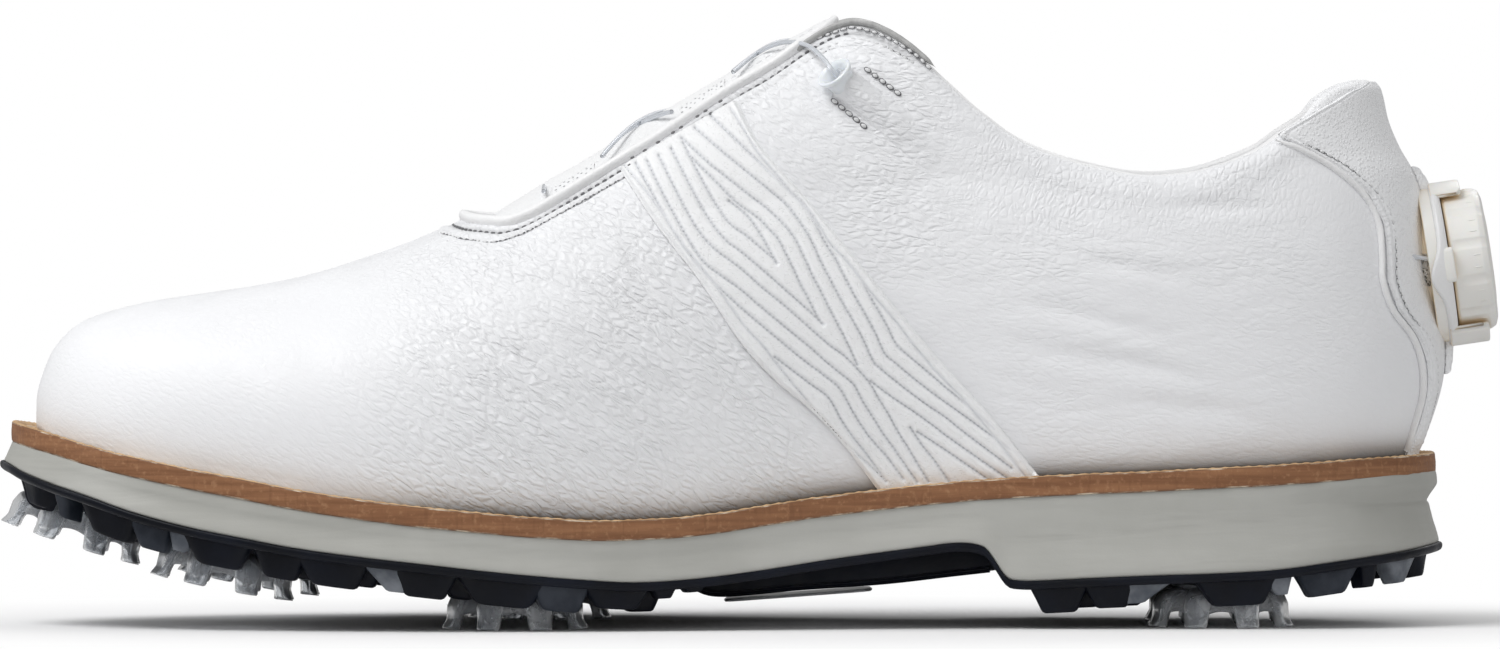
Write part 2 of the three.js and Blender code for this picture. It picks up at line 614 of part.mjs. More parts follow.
// Side rows: feather x, top line x, top line z, share taken straight from the last's side
// (the rest is cast from the centre).
const SIDE_ROWS = [
  [88, 88.2, 91.6, 1], [74, 76, 91.2, 1], [60, 64, 93.6, 1], [48, 54, 97.6, 1],
  [37, 46, 103.2, 1], [27, 40, 108.6, 1], [18, 35, 113.2, 1], [10, 30, 117, 1],
  [2, 24, 119.8, 1], [-6, 19, 120, 1], [-15, 13, 117.2, 1], [-25, 5, 111.6, 1],
  [-36, -4.8, 105.8, 1], [-48, -17.2, 97.6, 0.8], [-61, -26.8, 91.8, 0.5],
  [-75, -35, 86.8, 0.25], [-89, -42.4, 82.4, 0.08], [-103, -48, 80.3, 0],
  [-116, -52.4, 80.3, 0], [-127, -55.6, 80.6, 0], [-135.2, -57.4, 81, 0],
  [-140.6, -57.9, 81.15, 0],
];
const TOE_ROW = [TOE_X, -58, 81.2, 0];

function heelRowPoint([degrees, topZ], t, side) {
  const footZ = weltTop(HEEL_CENTRE_X + 33 * Math.cos(degToRad(degrees)));
  return castHeel(degrees, mix(footZ, topZ, t), side);
}
function sideRowPoint(row, t, side) {
  const [footX, topX, topZ, share] = row;
  const footZ = weltTop(footX);
  const flat = lastPoint(mix(footX, topX, t), mix(footZ, topZ, t), side);
  if (share >= 1) return flat;
  const isCentre = row === TOE_ROW;
  const foot = isCentre ? [TOE_X, FEATHER.tipY, footZ] : lastPoint(footX, footZ, side);
  const top = isCentre ? [topX, ridgeY(topX), topZ] : lastPoint(topX, topZ, side);
  // The direction swings from the feather up to the top line while its start slides back under it.
  const startX = Math.max(footX, -118);
  const footOrigin = [startX, ridgeY(startX), weltTop(startX) + 3];
  const topOrigin = [topX, ridgeY(topX), weltTop(topX) + 3];
  const origin = vector(mixPoint(footOrigin, topOrigin, t));
  const toFoot = vector(foot).sub(vector(footOrigin)).normalize();
  const toTop = vector(top).sub(vector(topOrigin)).normalize();
  const swing = toFoot.angleTo(toTop);
  const direction = toFoot.multiplyScalar(Math.sin((1 - t) * swing) / Math.sin(swing))
    .addScaledVector(toTop, Math.sin(t * swing) / Math.sin(swing));
  let point;
  if (t === 0) point = foot;
  else if (t === 1) point = top;
  else point = cast(origin.toArray(), origin.clone().addScaledVector(direction, 12).toArray());
  if (share === 0) return point;
  point = mixPoint(point, flat, share);
  if (t === 0 || t === 1) return point;
  const [x] = point;
  return cast([Math.max(x, -112), ridgeY(x), weltTop(x) + 2], point);
}

// Rows run from the heel's back along the medial side to the toe, then back on the lateral side.
const HALF_ROWS = [
  ...HEEL_ROWS.map((row) => ({ row, at: heelRowPoint })),
  ...[...SIDE_ROWS, TOE_ROW].map((row) => ({ row, at: sideRowPoint })),
];
const skinRows = (rows, side) => rows.map(({ row, at }) => LEVELS.map((t) => at(row, t, side)));
const SKIN = [
  ...skinRows(HALF_ROWS, MEDIAL),
  ...skinRows(HALF_ROWS.slice(1, -1).reverse(), LATERAL),
];
const ROW_COUNT = SKIN.length;
const TOP = LEVELS.length - 1;
const THROAT_ROW = 14; // the throat's edge runs from this row round to its mirror image

const alongSkin = (i, j) =>
  vector(SKIN[(i + 1) % ROW_COUNT][j]).sub(vector(SKIN[(i + ROW_COUNT - 1) % ROW_COUNT][j]));
const NORMALS = SKIN.map((row, i) => row.map((_, j) => {
  const up = vector(row[Math.min(j + 1, TOP)]).sub(vector(row[Math.max(j - 1, 0)]));
  return up.cross(alongSkin(i, j)).normalize();
}));

// The skin moved along its normals; its foot stays just above the welt.
function skinAt(off) {
  return SKIN.map((row, i) => row.map((point, j) => {
    const [x, y, z] = vector(point).addScaledVector(NORMALS[i][j], off).toArray();
    return [x, y, j === 0 ? weltTop(x) + 0.2 : z];
  }));
}
const skinLoops = (grid) => LEVELS.map((_, j) => grid.map((row) => row[j]));
const blockAt = (off) => stack(skinLoops(skinAt(off)));
// Shell between two offsets; drop lowers the edge along the throat, in levels.
function shellBetween([offA, offB], drop = 0) {
  const grids = [skinAt(offA), skinAt(offB)];
  const firstRow = 12;
  const rampRows = 3;
  if (drop) for (const grid of grids) {
    for (let i = firstRow; i <= ROW_COUNT - firstRow; i++) {
      const ramp = (Math.min(i, ROW_COUNT - i) - firstRow + 1) / rampRows;
      grid[i][TOP] = mixPoint(grid[i][TOP], grid[i][TOP - 1], drop * Math.min(1, ramp));
    }
  }
  const [loopsA, loopsB] = grids.map(skinLoops);
  return ring([...loopsA, ...loopsB.reverse()], LEVELS.length);
}

// ---------- upper ----------
// Offsets of each layer's two faces from the skin, outwards positive.
const LAYERS = {
  leather: [0, -LEATHER_T],
  stiffener: [-LEATHER_T - 0.3, -LINING_IN + 0.5],
  lining: [-LINING_IN, -LINING_IN - LINING_T],
  overlay: [0.25, 1.15],
  backstayRoom: [0.05, 1.35],
  patch: [1.35, 2.15],
};
const SEAM_GAP = 0.15; // from the seam to the vamp, and to the quarters
const leather = shellBetween(LAYERS.leather);
const overlay = shellBetween(LAYERS.overlay);
const stiffener = shellBetween(LAYERS.stiffener);

// The seam between vamp and quarters runs down the middle of the saddle strap.
const strapMiddle = STRAP_FRONT.map((point, i) => point.map((v, c) => (v + STRAP_BACK[i][c]) / 2));
const [strapTop, strapFoot] = [strapMiddle[0], strapMiddle.at(-1)];
const SEAM = [
  [strapTop[0] - 10, strapTop[1] + 14],
  ...strapMiddle,
  [strapFoot[0] + 8, strapFoot[1] - 10],
];
function makeVamp() {
  const front = [[-200, 10], ...[...SEAM].reverse(), [-200, 160]];
  return largest(leather.intersect(prismY(shiftX(front, -SEAM_GAP))));
}
function quarterBlank(side) {
  const rear = shiftX([...SEAM, [200, 10], [200, 160]], SEAM_GAP);
  return largest(leather.intersect(prismY(rear, oneSide(side, SEAM_GAP))));
}
function makeSaddleStrap(side) {
  const strap = [...STRAP_FRONT, ...[...STRAP_BACK].reverse()];
  return largest(overlay.intersect(prismY(strap, oneSide(side, 0))));
}
const makeLining = () => shellBetween(LAYERS.lining, 0.75);
const makeToePuff = () => largest(stiffener.intersect(
  prismY([[-200, 20], [-112, 20], [-108, 90], [-200, 90]]),
));
const makeHeelCounter = () => largest(stiffener.intersect(
  prismY([[84, 20], [200, 20], [200, 62], [96, 62], [84, 50]]),
));

// Bead beside the front edge of the backstay.
const BACKSTAY = [...BACKSTAY_EDGE, [160, 30], [160, 120], [100, 120]];
const backstayRoom = shellBetween(LAYERS.backstayRoom)
  .intersect(prismY(shiftX(BACKSTAY, -0.12)));
const beadBed = blockAt(0.2);
function makeHeelBead(side) {
  const path = [...BACKSTAY_EDGE.slice(1, -1), [131.9, 36.2]]
    .map(([x, z]) => sidePoint(x - 1.35, z, side, 0.85));
  return largest(tube(path, 0.55, 18).subtract(beadBed).subtract(backstayRoom));
}

// Rolled edging along the throat and over the top of the facings.
function makeThroatPiping() {
  const path = [];
  for (let i = THROAT_ROW; i <= ROW_COUNT - THROAT_ROW; i++) {
    const normal = NORMALS[i][TOP];
    const beyond = alongSkin(i, TOP).normalize().cross(normal).normalize();
    const point = vector(SKIN[i][TOP]).addScaledVector(beyond, 1.3).addScaledVector(normal, -0.5);
    path.push(point.toArray());
  }
  return tube(path, 0.9, 64);
}

// ---------- tongue ----------
// Half-width of the throat and height of its edge, by x.
const throatEdge = SKIN.slice(THROAT_ROW, HALF_ROWS.length).map((row) => row[TOP]).reverse();
const throatHalf = spline(throatEdge.map(([x, y]) => [x, Math.abs(y - ridgeY(x))]));
const throatZ = spline(throatEdge.map(([x, , z]) => [x, z]));
// Point at (x, y) on the arch from throat edge to throat edge, moved down by drop.
function underArch(x, y, drop) {
  const share = Math.abs(y - ridgeY(x)) / Math.max(throatHalf(x), 3);
  const crown = ridge(x) - 1.5;
  return [x, y, crown - (crown - throatZ(x)) * share * share - drop];
}
// Stations from the front of the tongue: x, share of the full width.
const TONGUE = [
  [-51.5, 1], [-48, 1], [-42, 1], [-34, 1], [-24, 1], [-12, 1], [0, 1], [9, 1], [14.5, 0.92],
  [16.6, 0.72],
].map(([x, share]) => ({ x, half: Math.max(2.5, throatHalf(x) - 6.6) * share }));
function makeTongue() {
  const face = (drop, shrink) => TONGUE.map(({ x, half }) => [-1, -0.6, 0, 0.6, 1].map((k) =>
    underArch(x, ridgeY(x) + k * (half - shrink), drop)));
  return slab(face(0.8, 0), face(4.0, 0.4));
}
// Strip along one side of the throat, from stations of [x, inner half-width, outer half-width].
function throatStrip(stations, side, { innerDrop, outerDrop, thickness }) {
  const grid = stations.map(([x, inner, outer]) => [0, 0.5, 1].map((k) =>
    underArch(x, ridgeY(x) + side * mix(inner, outer, k), mix(innerDrop, outerDrop, k))));
  return sheet(grid, thickness);
}
function makeGusset(side) {
  const stations = TONGUE.slice(0, 9).map(({ x, half }) => [x, half - 2.5, throatHalf(x) - 1.0]);
  return throatStrip(stations, side, { innerDrop: 4.6, outerDrop: 3.9, thickness: 0.7 });
}

// ---------- dial ----------
// In the dial's frame +Z is its axis, pointing out of the heel, and +X points down.
const dialFrame = new THREE.Matrix4().makeTranslation(...DIAL_AT)
  .multiply(new THREE.Matrix4().makeRotationY(Math.PI / 2 - DIAL_TILT));
const dialLathe = (profile, segments) => moved(lathe(profile, segments), dialFrame);

// Curved wall beside the knob, centred on an angle.
function bumper(centre, halfAngle, innerR, outerR, top) {
  const spans = 5;
  const angles = Array.from({ length: spans + 1 }, (_, i) =>
    centre - halfAngle + (2 * halfAngle * i) / spans);
  const arc = (radius, z) => angles.map((a) => [radius * Math.cos(a), radius * Math.sin(a), z]);
  return stack([-2, top].map((z) => [...arc(innerR, z), ...arc(outerR, z).reverse()]), 1);
}
function makeDialBase() {
  const collar = lathe([
    [DIAL_WELL_R, -1], [11, -1], [11, 5.0], [DIAL_WELL_R, 5.0], [DIAL_WELL_R, -1],
  ], 24);
  const base = cylinder(16.2, -9, 0, 24)
    .add(collar)
    .add(bumper(0, 0.62, 14.9, 16.6, 6.4))
    .add(bumper(Math.PI, 0.5, 14.9, 16.4, 4.6))
    .subtract(cylinder(DIAL_WELL_R, -1.9, 6, 24));
  return largest(cutAll(largest(moved(base, dialFrame).subtract(blockAt(0.3))), laceBores));
}
const makeSpool = () => dialLathe([
  [2.2, -1.6], [9.2, -1.6], [9.2, -0.9], [6.6, -0.9], [6.6, 1.7], [9.2, 1.7], [9.2, 3.6],
  [2.2, 3.6], [2.2, -1.6],
], 16);
const makeClutch = () => dialLathe([
  [1.65, -1.4], [2.05, -1.4], [2.05, 4.0], [9.0, 4.0], [9.0, 4.8], [1.65, 4.8], [1.65, -1.4],
], 16);
const makeDialScrew = () => dialLathe([
  [0, 7.9], [2.9, 7.9], [2.9, 6.6], [1.45, 6.6], [1.45, -1.8], [0, -1.8],
], 12);
const makeDialCap = () => dialLathe([
  [0, 8.75], [10.0, 8.75], [10.5, 8.45], [10.5, 8.05], [0, 8.05],
], 20);
// Grip with shallow finger flutes, hollow below, with a recess for the cap and a well for the
// screw head.
function makeKnob() {
  const fluteCount = 12;
  const fluteAt = KNOB_R + 0.45;
  let knob = lathe([
    [0, 8.6], [12.2, 8.6], [13.6, 8.1], [KNOB_R, 7.0], [KNOB_R, 1.0], [13.8, 0.5], [11.5, 0.5],
    [11.5, 5.8], [9.3, 5.8], [9.3, 5.0], [0, 5.0],
  ], 24).subtract(cylinder(10.9, 7.9, 9.5, 24)).subtract(cylinder(3.4, 4, 9, 12));
  const flute = cylinder(0.9, 1.4, 9.5, 5);
  for (let i = 0; i < fluteCount; i++) {
    const a = ((i + 0.5) / fluteCount) * Math.PI * 2;
    const shift = [fluteAt * Math.cos(a), fluteAt * Math.sin(a), 0];
    knob = knob.subtract(moved(flute, new THREE.Matrix4().makeTranslation(...shift)));
  }
  return moved(knob, dialFrame);
}

// ---------- lace ----------
const ferrulePoint = (side) => sidePoint(17.8, 110.2, side, 2.6);
const behindFerrule = (side) => sidePoint(24.5, 104.4, side, 1.4);
// From the ferrule the lace passes inside the quarter, round the heel and up into the dial.
function lacePath(side) {
  const along = [[41, 92.2], [52, 87], [64, 83.6], [76, 81], [88, 79]]
    .map(([x, z]) => sidePoint(x, z, side, -2.4));
  const heel = [74, 56, 42].map((degrees) => {
    const z = 78.2 - (74 - degrees) * 0.06;
    const [x, y] = castHeel(degrees, z, side);
    const distance = Math.hypot(x - HEEL_CENTRE_X, y);
    const share = (distance - 2.4) / distance;
    return [HEEL_CENTRE_X + (x - HEEL_CENTRE_X) * share, y * share, z];
  });
  const intoDial = [[-2.5, 15.4, -6.2], [-1, 12.4, -1.6], [0, 7.4, 0.35]]
    .map(([x, y, z]) => place([x, side * y, z], dialFrame));
  return [
    ferrulePoint(side), behindFerrule(side), sidePoint(33, 97.6, side, -2.3),
    ...along, ...heel, ...intoDial,
  ];
}
const makeLaceRun = (side) => tube(lacePath(side), LACE_R, 40);
const laceBore = (side) => tube(lacePath(side), LACE_BORE_R, 40);
const laceBores = [laceBore(MEDIAL), laceBore(LATERAL)];
// Tube round the lace from behind the ferrule to the heel; its bore runs on past both ends.
function makeLaceTube(side) {
  const path = lacePath(side);
  const bore = tube(path.slice(2, 11), LACE_TUBE_BORE_R, 26);
  return largest(tube(path.slice(3, 10), LACE_TUBE_R, 18).subtract(bore));
}

function ferruleFrame(side) {
  const at = vector(ferrulePoint(side));
  const axis = at.clone().sub(vector(behindFerrule(side))).normalize();
  const turn = new THREE.Quaternion().setFromUnitVectors(new THREE.Vector3(0, 0, 1), axis);
  return new THREE.Matrix4().compose(at, turn, new THREE.Vector3(1, 1, 1));
}
const makeFerrule = (side) => moved(lathe([
  [1.5, -2.6], [2.4, -2.6], [3.0, -0.6], [4.0, 0.7], [3.7, 1.2], [2.5, 0.4], [1.5, -1.4],
  [1.5, -2.6],
], 12), ferruleFrame(side));
const ferruleRoom = lathe([
  [0, -2.9], [2.8, -2.9], [3.4, -0.7], [4.6, 0.8], [4.6, 2.4], [0, 2.4],
], 12);

// Quarter with its leather drawn over the lace behind the ferrule.
const tunnelBed = blockAt(-0.2);
function makeQuarter(side) {
  const tunnel = tube([
    sidePoint(19.2, 109.0, side, 1.6),
    sidePoint(25, 104.0, side, 0.9),
    sidePoint(33, 97.4, side, -1.2),
  ], 2.9, 5, 8).subtract(tunnelBed);
  return largest(quarterBlank(side).add(tunnel)
    .subtract(moved(ferruleRoom, ferruleFrame(side)))
    .subtract(laceBores[side === MEDIAL ? 0 : 1]));
}
function makeBackstay() {
  const blank = largest(overlay.intersect(prismY(BACKSTAY)));
  const dialRoom = moved(cylinder(16.6, -12, 4, 20), dialFrame);
  return largest(cutAll(blank, [...laceBores, dialRoom]));
}
// Leather patch round the dial, over the backstay.
function makeDialPatch() {
  const outlineXZ = [...PATCH_EDGE, [160, 49], [160, 95]];
  const blank = largest(shellBetween(LAYERS.patch).intersect(prismY(outlineXZ)));
  const dialRoom = moved(cylinder(17, -12, 4, 20), dialFrame);
  return largest(cutAll(blank, [dialRoom, ...laceBores]));
}

// Webbing guides under the facings, two on each side: name, front x, rear x.
const GUIDES = [["upper", -14, -5], ["lower", -39.5, -31]];
function makeGuide(x0, x1, side) {
  const spans = 4;
  const stations = Array.from({ length: spans + 1 }, (_, i) => {
    const x = x0 + ((x1 - x0) * i) / spans;
    return [x, throatHalf(x) - 5.6, throatHalf(x) - 1.7];
  });
  return throatStrip(stations, side, { innerDrop: 1.2, outerDrop: 1.8, thickness: 1.5 });
}

// Lace over the tongue. Stops are [share of the way, rise above the straight line].
function laceOver(from, to, stops, steps) {
  const between = stops.map(([t, rise]) => {
    const [x, y, z] = mixPoint(from, to, t);
    return [x, y, z + rise];
  });
  return tube([from, ...between, to], LACE_R, steps);
}
const archedLace = (from, to, rise) =>
  laceOver(from, to, [0.2, 0.4, 0.6, 0.8].map((t) => [t, rise * Math.sin(Math.PI * t)]), 9);
// Lace end beside the throat's edge, 1 above the arch.
const edgePoint = (x, side, inset = 6.2) =>
  underArch(x, ridgeY(x) + side * (throatHalf(x) - inset), -1);

function makeTopCross() {
  const leg = (side) => laceOver(
    place([0, 0, 2.2], ferruleFrame(side)),
    edgePoint(-3.4, -side),
    [[0.14, 4.6], [0.3, 6.4], [0.5, 6.6], [0.75, 4.2]],
    11,
  );
  return leg(MEDIAL).add(leg(LATERAL));
}
function makeMiddleCross() {
  const leg = (side) => archedLace(edgePoint(-15.6, side), edgePoint(-29.6, -side), 3.4);
  return leg(MEDIAL).add(leg(LATERAL));
}
const makeFrontCross = () =>
  archedLace(edgePoint(-41.2, MEDIAL, 6.7), edgePoint(-41.2, LATERAL, 6.7), 2.6);

// ---------- materials ----------
const material = ({ color, roughness, metalness = 0, opacity = 1 }) =>
  new THREE.MeshStandardMaterial({
    color, roughness, metalness, opacity, transparent: opacity < 1,
  });
const MATERIALS = {
  leather: material({ color: 0xf2f3f5, roughness: 0.5 }),
  textured: material({ color: 0xeeeef0, roughness: 0.6 }),
  lining: material({ color: 0xe9e9ea, roughness: 0.8 }),
  pad: material({ color: 0xdfe0e2, roughness: 0.9 }),
  welt: material({ color: 0xa5622f, roughness: 0.7 }),
  cork: material({ color: 0xb98a55, roughness: 0.9 }),
  board: material({ color: 0xcfc6b2, roughness: 0.9 }),
  eva: material({ color: 0xa9a9a3, roughness: 0.75 }),
  rubber: material({ color: 0x14171f, roughness: 0.45 }),
  cleat: material({ color: 0x9a9fa5, roughness: 0.15, opacity: 0.6 }),
  seat: material({ color: 0x2a2d33, roughness: 0.5 }),
  steel: material({ color: 0x9fa3a8, roughness: 0.35, metalness: 1 }),
  dial: material({ color: 0xf3efe6, roughness: 0.35 }),
  lace: material({ color: 0xe4e6ea, roughness: 0.3 }),
  badge: material({ color: 0xb9bcc0, roughness: 0.3 }),
};

// ---------- scene ----------
const root = new THREE.Group();
const shoe = new THREE.Group();
shoe.position.set(...FRAME_SHIFT);
root.add(shoe);

function add(name, shape, materialName, parent = shoe) {
  const mesh = new THREE.Mesh(geometryOf(shape), MATERIALS[materialName]);
  mesh.name = name;
  parent.add(mesh);
}
function addPair(name, make, materialName) {
  add(`${name}_medial`, make(MEDIAL), materialName);
  add(`${name}_lateral`, make(LATERAL), materialName);
}

const outsole = makeOutsole();
add("outsole", outsole, "rubber");
add("midsole", makeMidsole(outsole), "eva");
add("welt", makeWelt(), "welt");
add("bottom_filler", makeFiller(), "cork");
add("shank", makeShank(), "steel");
add("insole_board", makeInsoleBoard(), "board");
add("footbed", makeFootbed(), "pad");
add("waist_badge", makeBadge(), "badge");

const cleat = makeCleat();
const receptacle = makeReceptacle();
for (const { name, frame } of CLEATS) {
  const group = new THREE.Group();
  group.applyMatrix4(frame);
  shoe.add(group);
  add(`cleat_${name}`, cleat, "cleat", group);
  add(`receptacle_${name}`, receptacle, "seat", group);
}

add("vamp", makeVamp(), "leather");
addPair("quarter", makeQuarter, "leather");
addPair("saddle_strap", makeSaddleStrap, "textured");
add("backstay", makeBackstay(), "leather");
add("dial_patch", makeDialPatch(), "leather");
add("toe_puff", makeToePuff(), "board");
add("heel_counter", makeHeelCounter(), "board");
add("lining", makeLining(), "lining");
add("throat_piping", makeThroatPiping(), "leather");
addPair("heel_bead", makeHeelBead, "leather");
add("tongue", makeTongue(), "lining");
addPair("tongue_gusset", makeGusset, "lining");

add("dial_base", makeDialBase(), "dial");
add("dial_spool", makeSpool(), "dial");
add("dial_clutch", makeClutch(), "steel");
add("dial_screw", makeDialScrew(), "steel");
add("dial_knob", makeKnob(), "dial");
add("dial_cap", makeDialCap(), "dial");

addPair("lace_ferrule", makeFerrule, "dial");
addPair("lace_tube", makeLaceTube, "dial");
addPair("lace_run", makeLaceRun, "lace");
for (const [name, x0, x1] of GUIDES) {
  addPair(`lace_guide_${name}`, (side) => makeGuide(x0, x1, side), "textured");
}
add("lace_cross_top", makeTopCross(), "lace");
add("lace_cross_middle", makeMiddleCross(), "lace");
add("lace_cross_front", makeFrontCross(), "lace");

export default root;
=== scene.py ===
# Golf shoe, right foot: the visual model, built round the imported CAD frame.
# Shapes are worked out in millimetres and scaled to metres as each mesh is made.
# The toe points to -X and the heel to +X; medial is -Y, lateral +Y, and Z is up.
import math
from functools import lru_cache

import bpy
import numpy as np
from mathutils import Matrix, Vector
from mathutils.kdtree import KDTree


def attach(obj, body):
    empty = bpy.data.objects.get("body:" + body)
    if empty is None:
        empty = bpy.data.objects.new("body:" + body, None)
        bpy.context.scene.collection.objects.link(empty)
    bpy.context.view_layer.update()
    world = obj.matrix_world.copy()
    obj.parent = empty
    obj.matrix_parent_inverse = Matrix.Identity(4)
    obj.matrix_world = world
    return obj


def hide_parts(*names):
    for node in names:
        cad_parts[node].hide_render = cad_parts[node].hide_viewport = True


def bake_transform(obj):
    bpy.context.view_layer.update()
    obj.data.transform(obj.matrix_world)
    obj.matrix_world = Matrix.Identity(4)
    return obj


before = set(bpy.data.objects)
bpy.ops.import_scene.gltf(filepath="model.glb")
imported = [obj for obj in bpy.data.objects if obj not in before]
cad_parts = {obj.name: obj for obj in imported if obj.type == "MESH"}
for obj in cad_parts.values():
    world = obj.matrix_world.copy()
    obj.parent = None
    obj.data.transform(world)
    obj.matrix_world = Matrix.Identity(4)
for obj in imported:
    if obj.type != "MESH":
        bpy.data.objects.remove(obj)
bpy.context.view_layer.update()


SHIFT = np.array([-0.251, -0.985, 0.0])  # the frame's offset from the design axes
rng = np.random.default_rng(11)  # varies the stitch lengths
SIDES = ((-1, "medial"), (1, "lateral"))

# ------------------------------------------------------------------ design tables
# Plan outline of the sole: x, y. Medial runs heel to toe, lateral runs toe to heel.
MEDIAL = [
    [137.4, 0], [136, -9], [132, -17.8], [125, -25], [115, -30.3], [100, -33], [80, -33.5],
    [60, -32.6], [40, -32.6], [20, -34.6], [0, -38.8], [-20, -43.9], [-40, -48], [-60, -49.8],
    [-80, -49], [-100, -46.2], [-115, -42.3], [-128, -36.3], [-138, -28.6], [-145, -18.5],
    [-147.8, -6]]
LATERAL = [
    [-145.4, 6.5], [-138, 17.6], [-128, 26.6], [-115, 34.8], [-100, 41.2], [-80, 47.2],
    [-60, 50.8], [-40, 51.8], [-20, 50], [0, 46.4], [20, 42.6], [40, 39.4], [60, 37.2],
    [80, 36], [100, 34.2], [115, 30.8], [125, 25.2], [132, 17.9], [136, 9]]
# Height of the welt's top face: x, z
WELT_TOP = [
    [-147.8, 40.6], [-140, 38.8], [-132, 36.6], [-124, 34.6], [-116, 33], [-108, 31.5],
    [-100, 30], [-92, 28.4], [-84, 27.1], [-76, 26], [-68, 25], [-60, 24.2], [-52, 23.4],
    [-44, 22.7], [-36, 22.2], [-28, 21.9], [-20, 22.1], [-12, 22.6], [-4, 23.6], [4, 24.8],
    [12, 26], [20, 27], [28, 27.9], [36, 28.7], [44, 29.4], [52, 30], [60, 30.4], [68, 30.8],
    [76, 31.1], [84, 31.5], [92, 31.9], [100, 32.3], [108, 32.7], [116, 33.2], [124, 33.7],
    [132, 34], [137.4, 34.2]]
# Underside of the midsole: x, z
MIDSOLE_BOTTOM = [
    [-149.8, 33], [-148, 32.4], [-145, 31], [-140, 29.2], [-132, 26.7], [-124, 24],
    [-116, 21.8], [-108, 20], [-100, 18.5], [-92, 17], [-84, 15.8], [-76, 14.8], [-68, 13.9],
    [-60, 13], [-52, 12.1], [-44, 11.3], [-32.2, 10.3], [-22.8, 9.8], [-11, 10.4],
    [1.6, 11.9], [14.2, 13.8], [26.8, 15.5], [36, 16.7], [40, 17.2], [43.6, 17.2],
    [45.6, 16.8], [47, 16.1], [48.6, 14], [50.4, 11.2], [51.6, 10.1], [53.2, 9.8], [56, 9.7],
    [68.4, 10.3], [80.6, 10.8], [92.8, 11.2], [105, 11.9], [117.4, 13.5], [129.6, 15.1],
    [138, 16.5]]
TOE_X = -142.8
# Crest line of the last: x, z
RIDGE = [
    [TOE_X, 42], [-142.7, 45.6], [-141.6, 50], [-140, 54], [-137.2, 57.8], [-133.6, 60.6],
    [-129.6, 62.2], [-120, 64.6], [-110, 66.2], [-98, 68], [-86, 70.6], [-74, 74.4],
    [-66, 77.4], [-58, 81.2], [-49.4, 85.4], [-42, 89.4], [-33.2, 94.2], [-22, 101.2],
    [-10, 108.6], [2, 115.6], [10, 120.4], [20, 126.4], [30, 132.4], [50, 144.4],
    [78.6, 159.6], [110, 173.6], [140, 185]]
# Back of the heel: z, x
HEEL_BACK = [
    [34.8, 133.5], [37.7, 134.8], [45.6, 137.6], [51.2, 138.6], [58, 138.6], [65, 137.8],
    [72, 136.8], [80, 135.4], [86, 133.9], [90.3, 132.4], [95.1, 129.7], [100.2, 127.5],
    [106.6, 125.9], [108, 124.8]]
# Edges of the saddle strap in the side view, from the throat down: x, z
STRAP_FRONT = [
    [-25.6, 90.8], [-18.3, 79.9], [-10.1, 69.3], [-1.8, 57], [5.2, 49.4], [12.2, 43.5],
    [18.7, 36.5], [26.7, 26.0]]
STRAP_BACK = [
    [-2.4, 104.4], [2.2, 95.8], [10.5, 86.4], [20.5, 74.3], [30.4, 62.3], [38.4, 52.9],
    [48, 42.4], [57.6, 30.4]]
# Front edge of the backstay in the side view: x, z
BACKSTAY_EDGE = [
    [104.8, 98.3], [111.2, 95.1], [117.6, 91.3], [123.3, 86.2], [126.2, 80.4], [126.8, 74.1],
    [127, 69], [129.1, 63.2], [132.9, 58.1], [134.8, 53], [135.1, 46.6], [133.5, 40.3],
    [131, 33.6]]
# Rows up the side of the last, heel to toe: foot x, top x, top z,
# weight of the upright section against the section cast from the middle
SIDE_ROWS = [
    [88, 88.2, 91.6, 1], [74, 76, 91.2, 1], [60, 64, 93.6, 1], [48, 54, 97.6, 1],
    [37, 46, 103.2, 1], [27, 40, 108.6, 1], [18, 35, 113.2, 1], [10, 30, 117, 1],
    [2, 24, 119.8, 1], [-6, 19, 120, 1], [-15, 13, 117.2, 1], [-25, 5, 111.6, 1],
    [-36, -4.8, 105.8, 1], [-48, -17.2, 97.6, 0.8], [-61, -26.8, 91.8, 0.5],
    [-75, -35, 86.8, 0.25], [-89, -42.4, 82.4, 0.08], [-103, -48, 80.3, 0],
    [-116, -52.4, 80.3, 0], [-127, -55.6, 80.6, 0], [-135.2, -57.4, 81, 0],
    [-140.6, -57.9, 81.15, 0]]
# Rows round the heel: angle from +X in degrees, top z
HEEL_ROWS = [[0, 108], [20, 107.9], [38, 106.4], [55, 103.2], [72, 99.6], [88, 95.6]]
HEEL_CENTRE_X = 100.0
WELT_THICKNESS, WELT_SHELF, RIM_THICKNESS = 3.4, 4.4, 1.8
LUG_HEIGHT, CLEAT_SEAT_Z = 4.9, 8.9
DIAL_AT, DIAL_TILT = (139.7, 0.0, 72.2), math.radians(8.4)
DIAL_PLACE = Matrix.Translation(DIAL_AT) @ Matrix.Rotation(math.pi / 2 - DIAL_TILT, 4, "Y")


# ------------------------------------------------------------------ curves and noise
class Spline:
    """A smooth function through a table of (input, output)."""

    def __init__(self, table):
        table = np.array(table, float)
        self.x, self.y = table[:, 0], table[:, 1]
        n = len(table)
        before = np.maximum(np.arange(n) - 1, 0)
        after = np.minimum(np.arange(n) + 1, n - 1)
        self.slope = (self.y[after] - self.y[before]) / (self.x[after] - self.x[before])

    def __call__(self, at):
        at = np.clip(np.asarray(at, float), self.x[0], self.x[-1])
        i = np.clip(np.searchsorted(self.x, at, "right") - 1, 0, len(self.x) - 2)
        step = self.x[i + 1] - self.x[i]
        t = (at - self.x[i]) / step
        t2, t3 = t * t, t * t * t
        return ((2 * t3 - 3 * t2 + 1) * self.y[i] + (t3 - 2 * t2 + t) * step * self.slope[i]
                + (3 * t2 - 2 * t3) * self.y[i + 1] + (t3 - t2) * step * self.slope[i + 1])


def smooth(t):
    t = np.clip(t, 0, 1)
    return t * t * (3 - 2 * t)


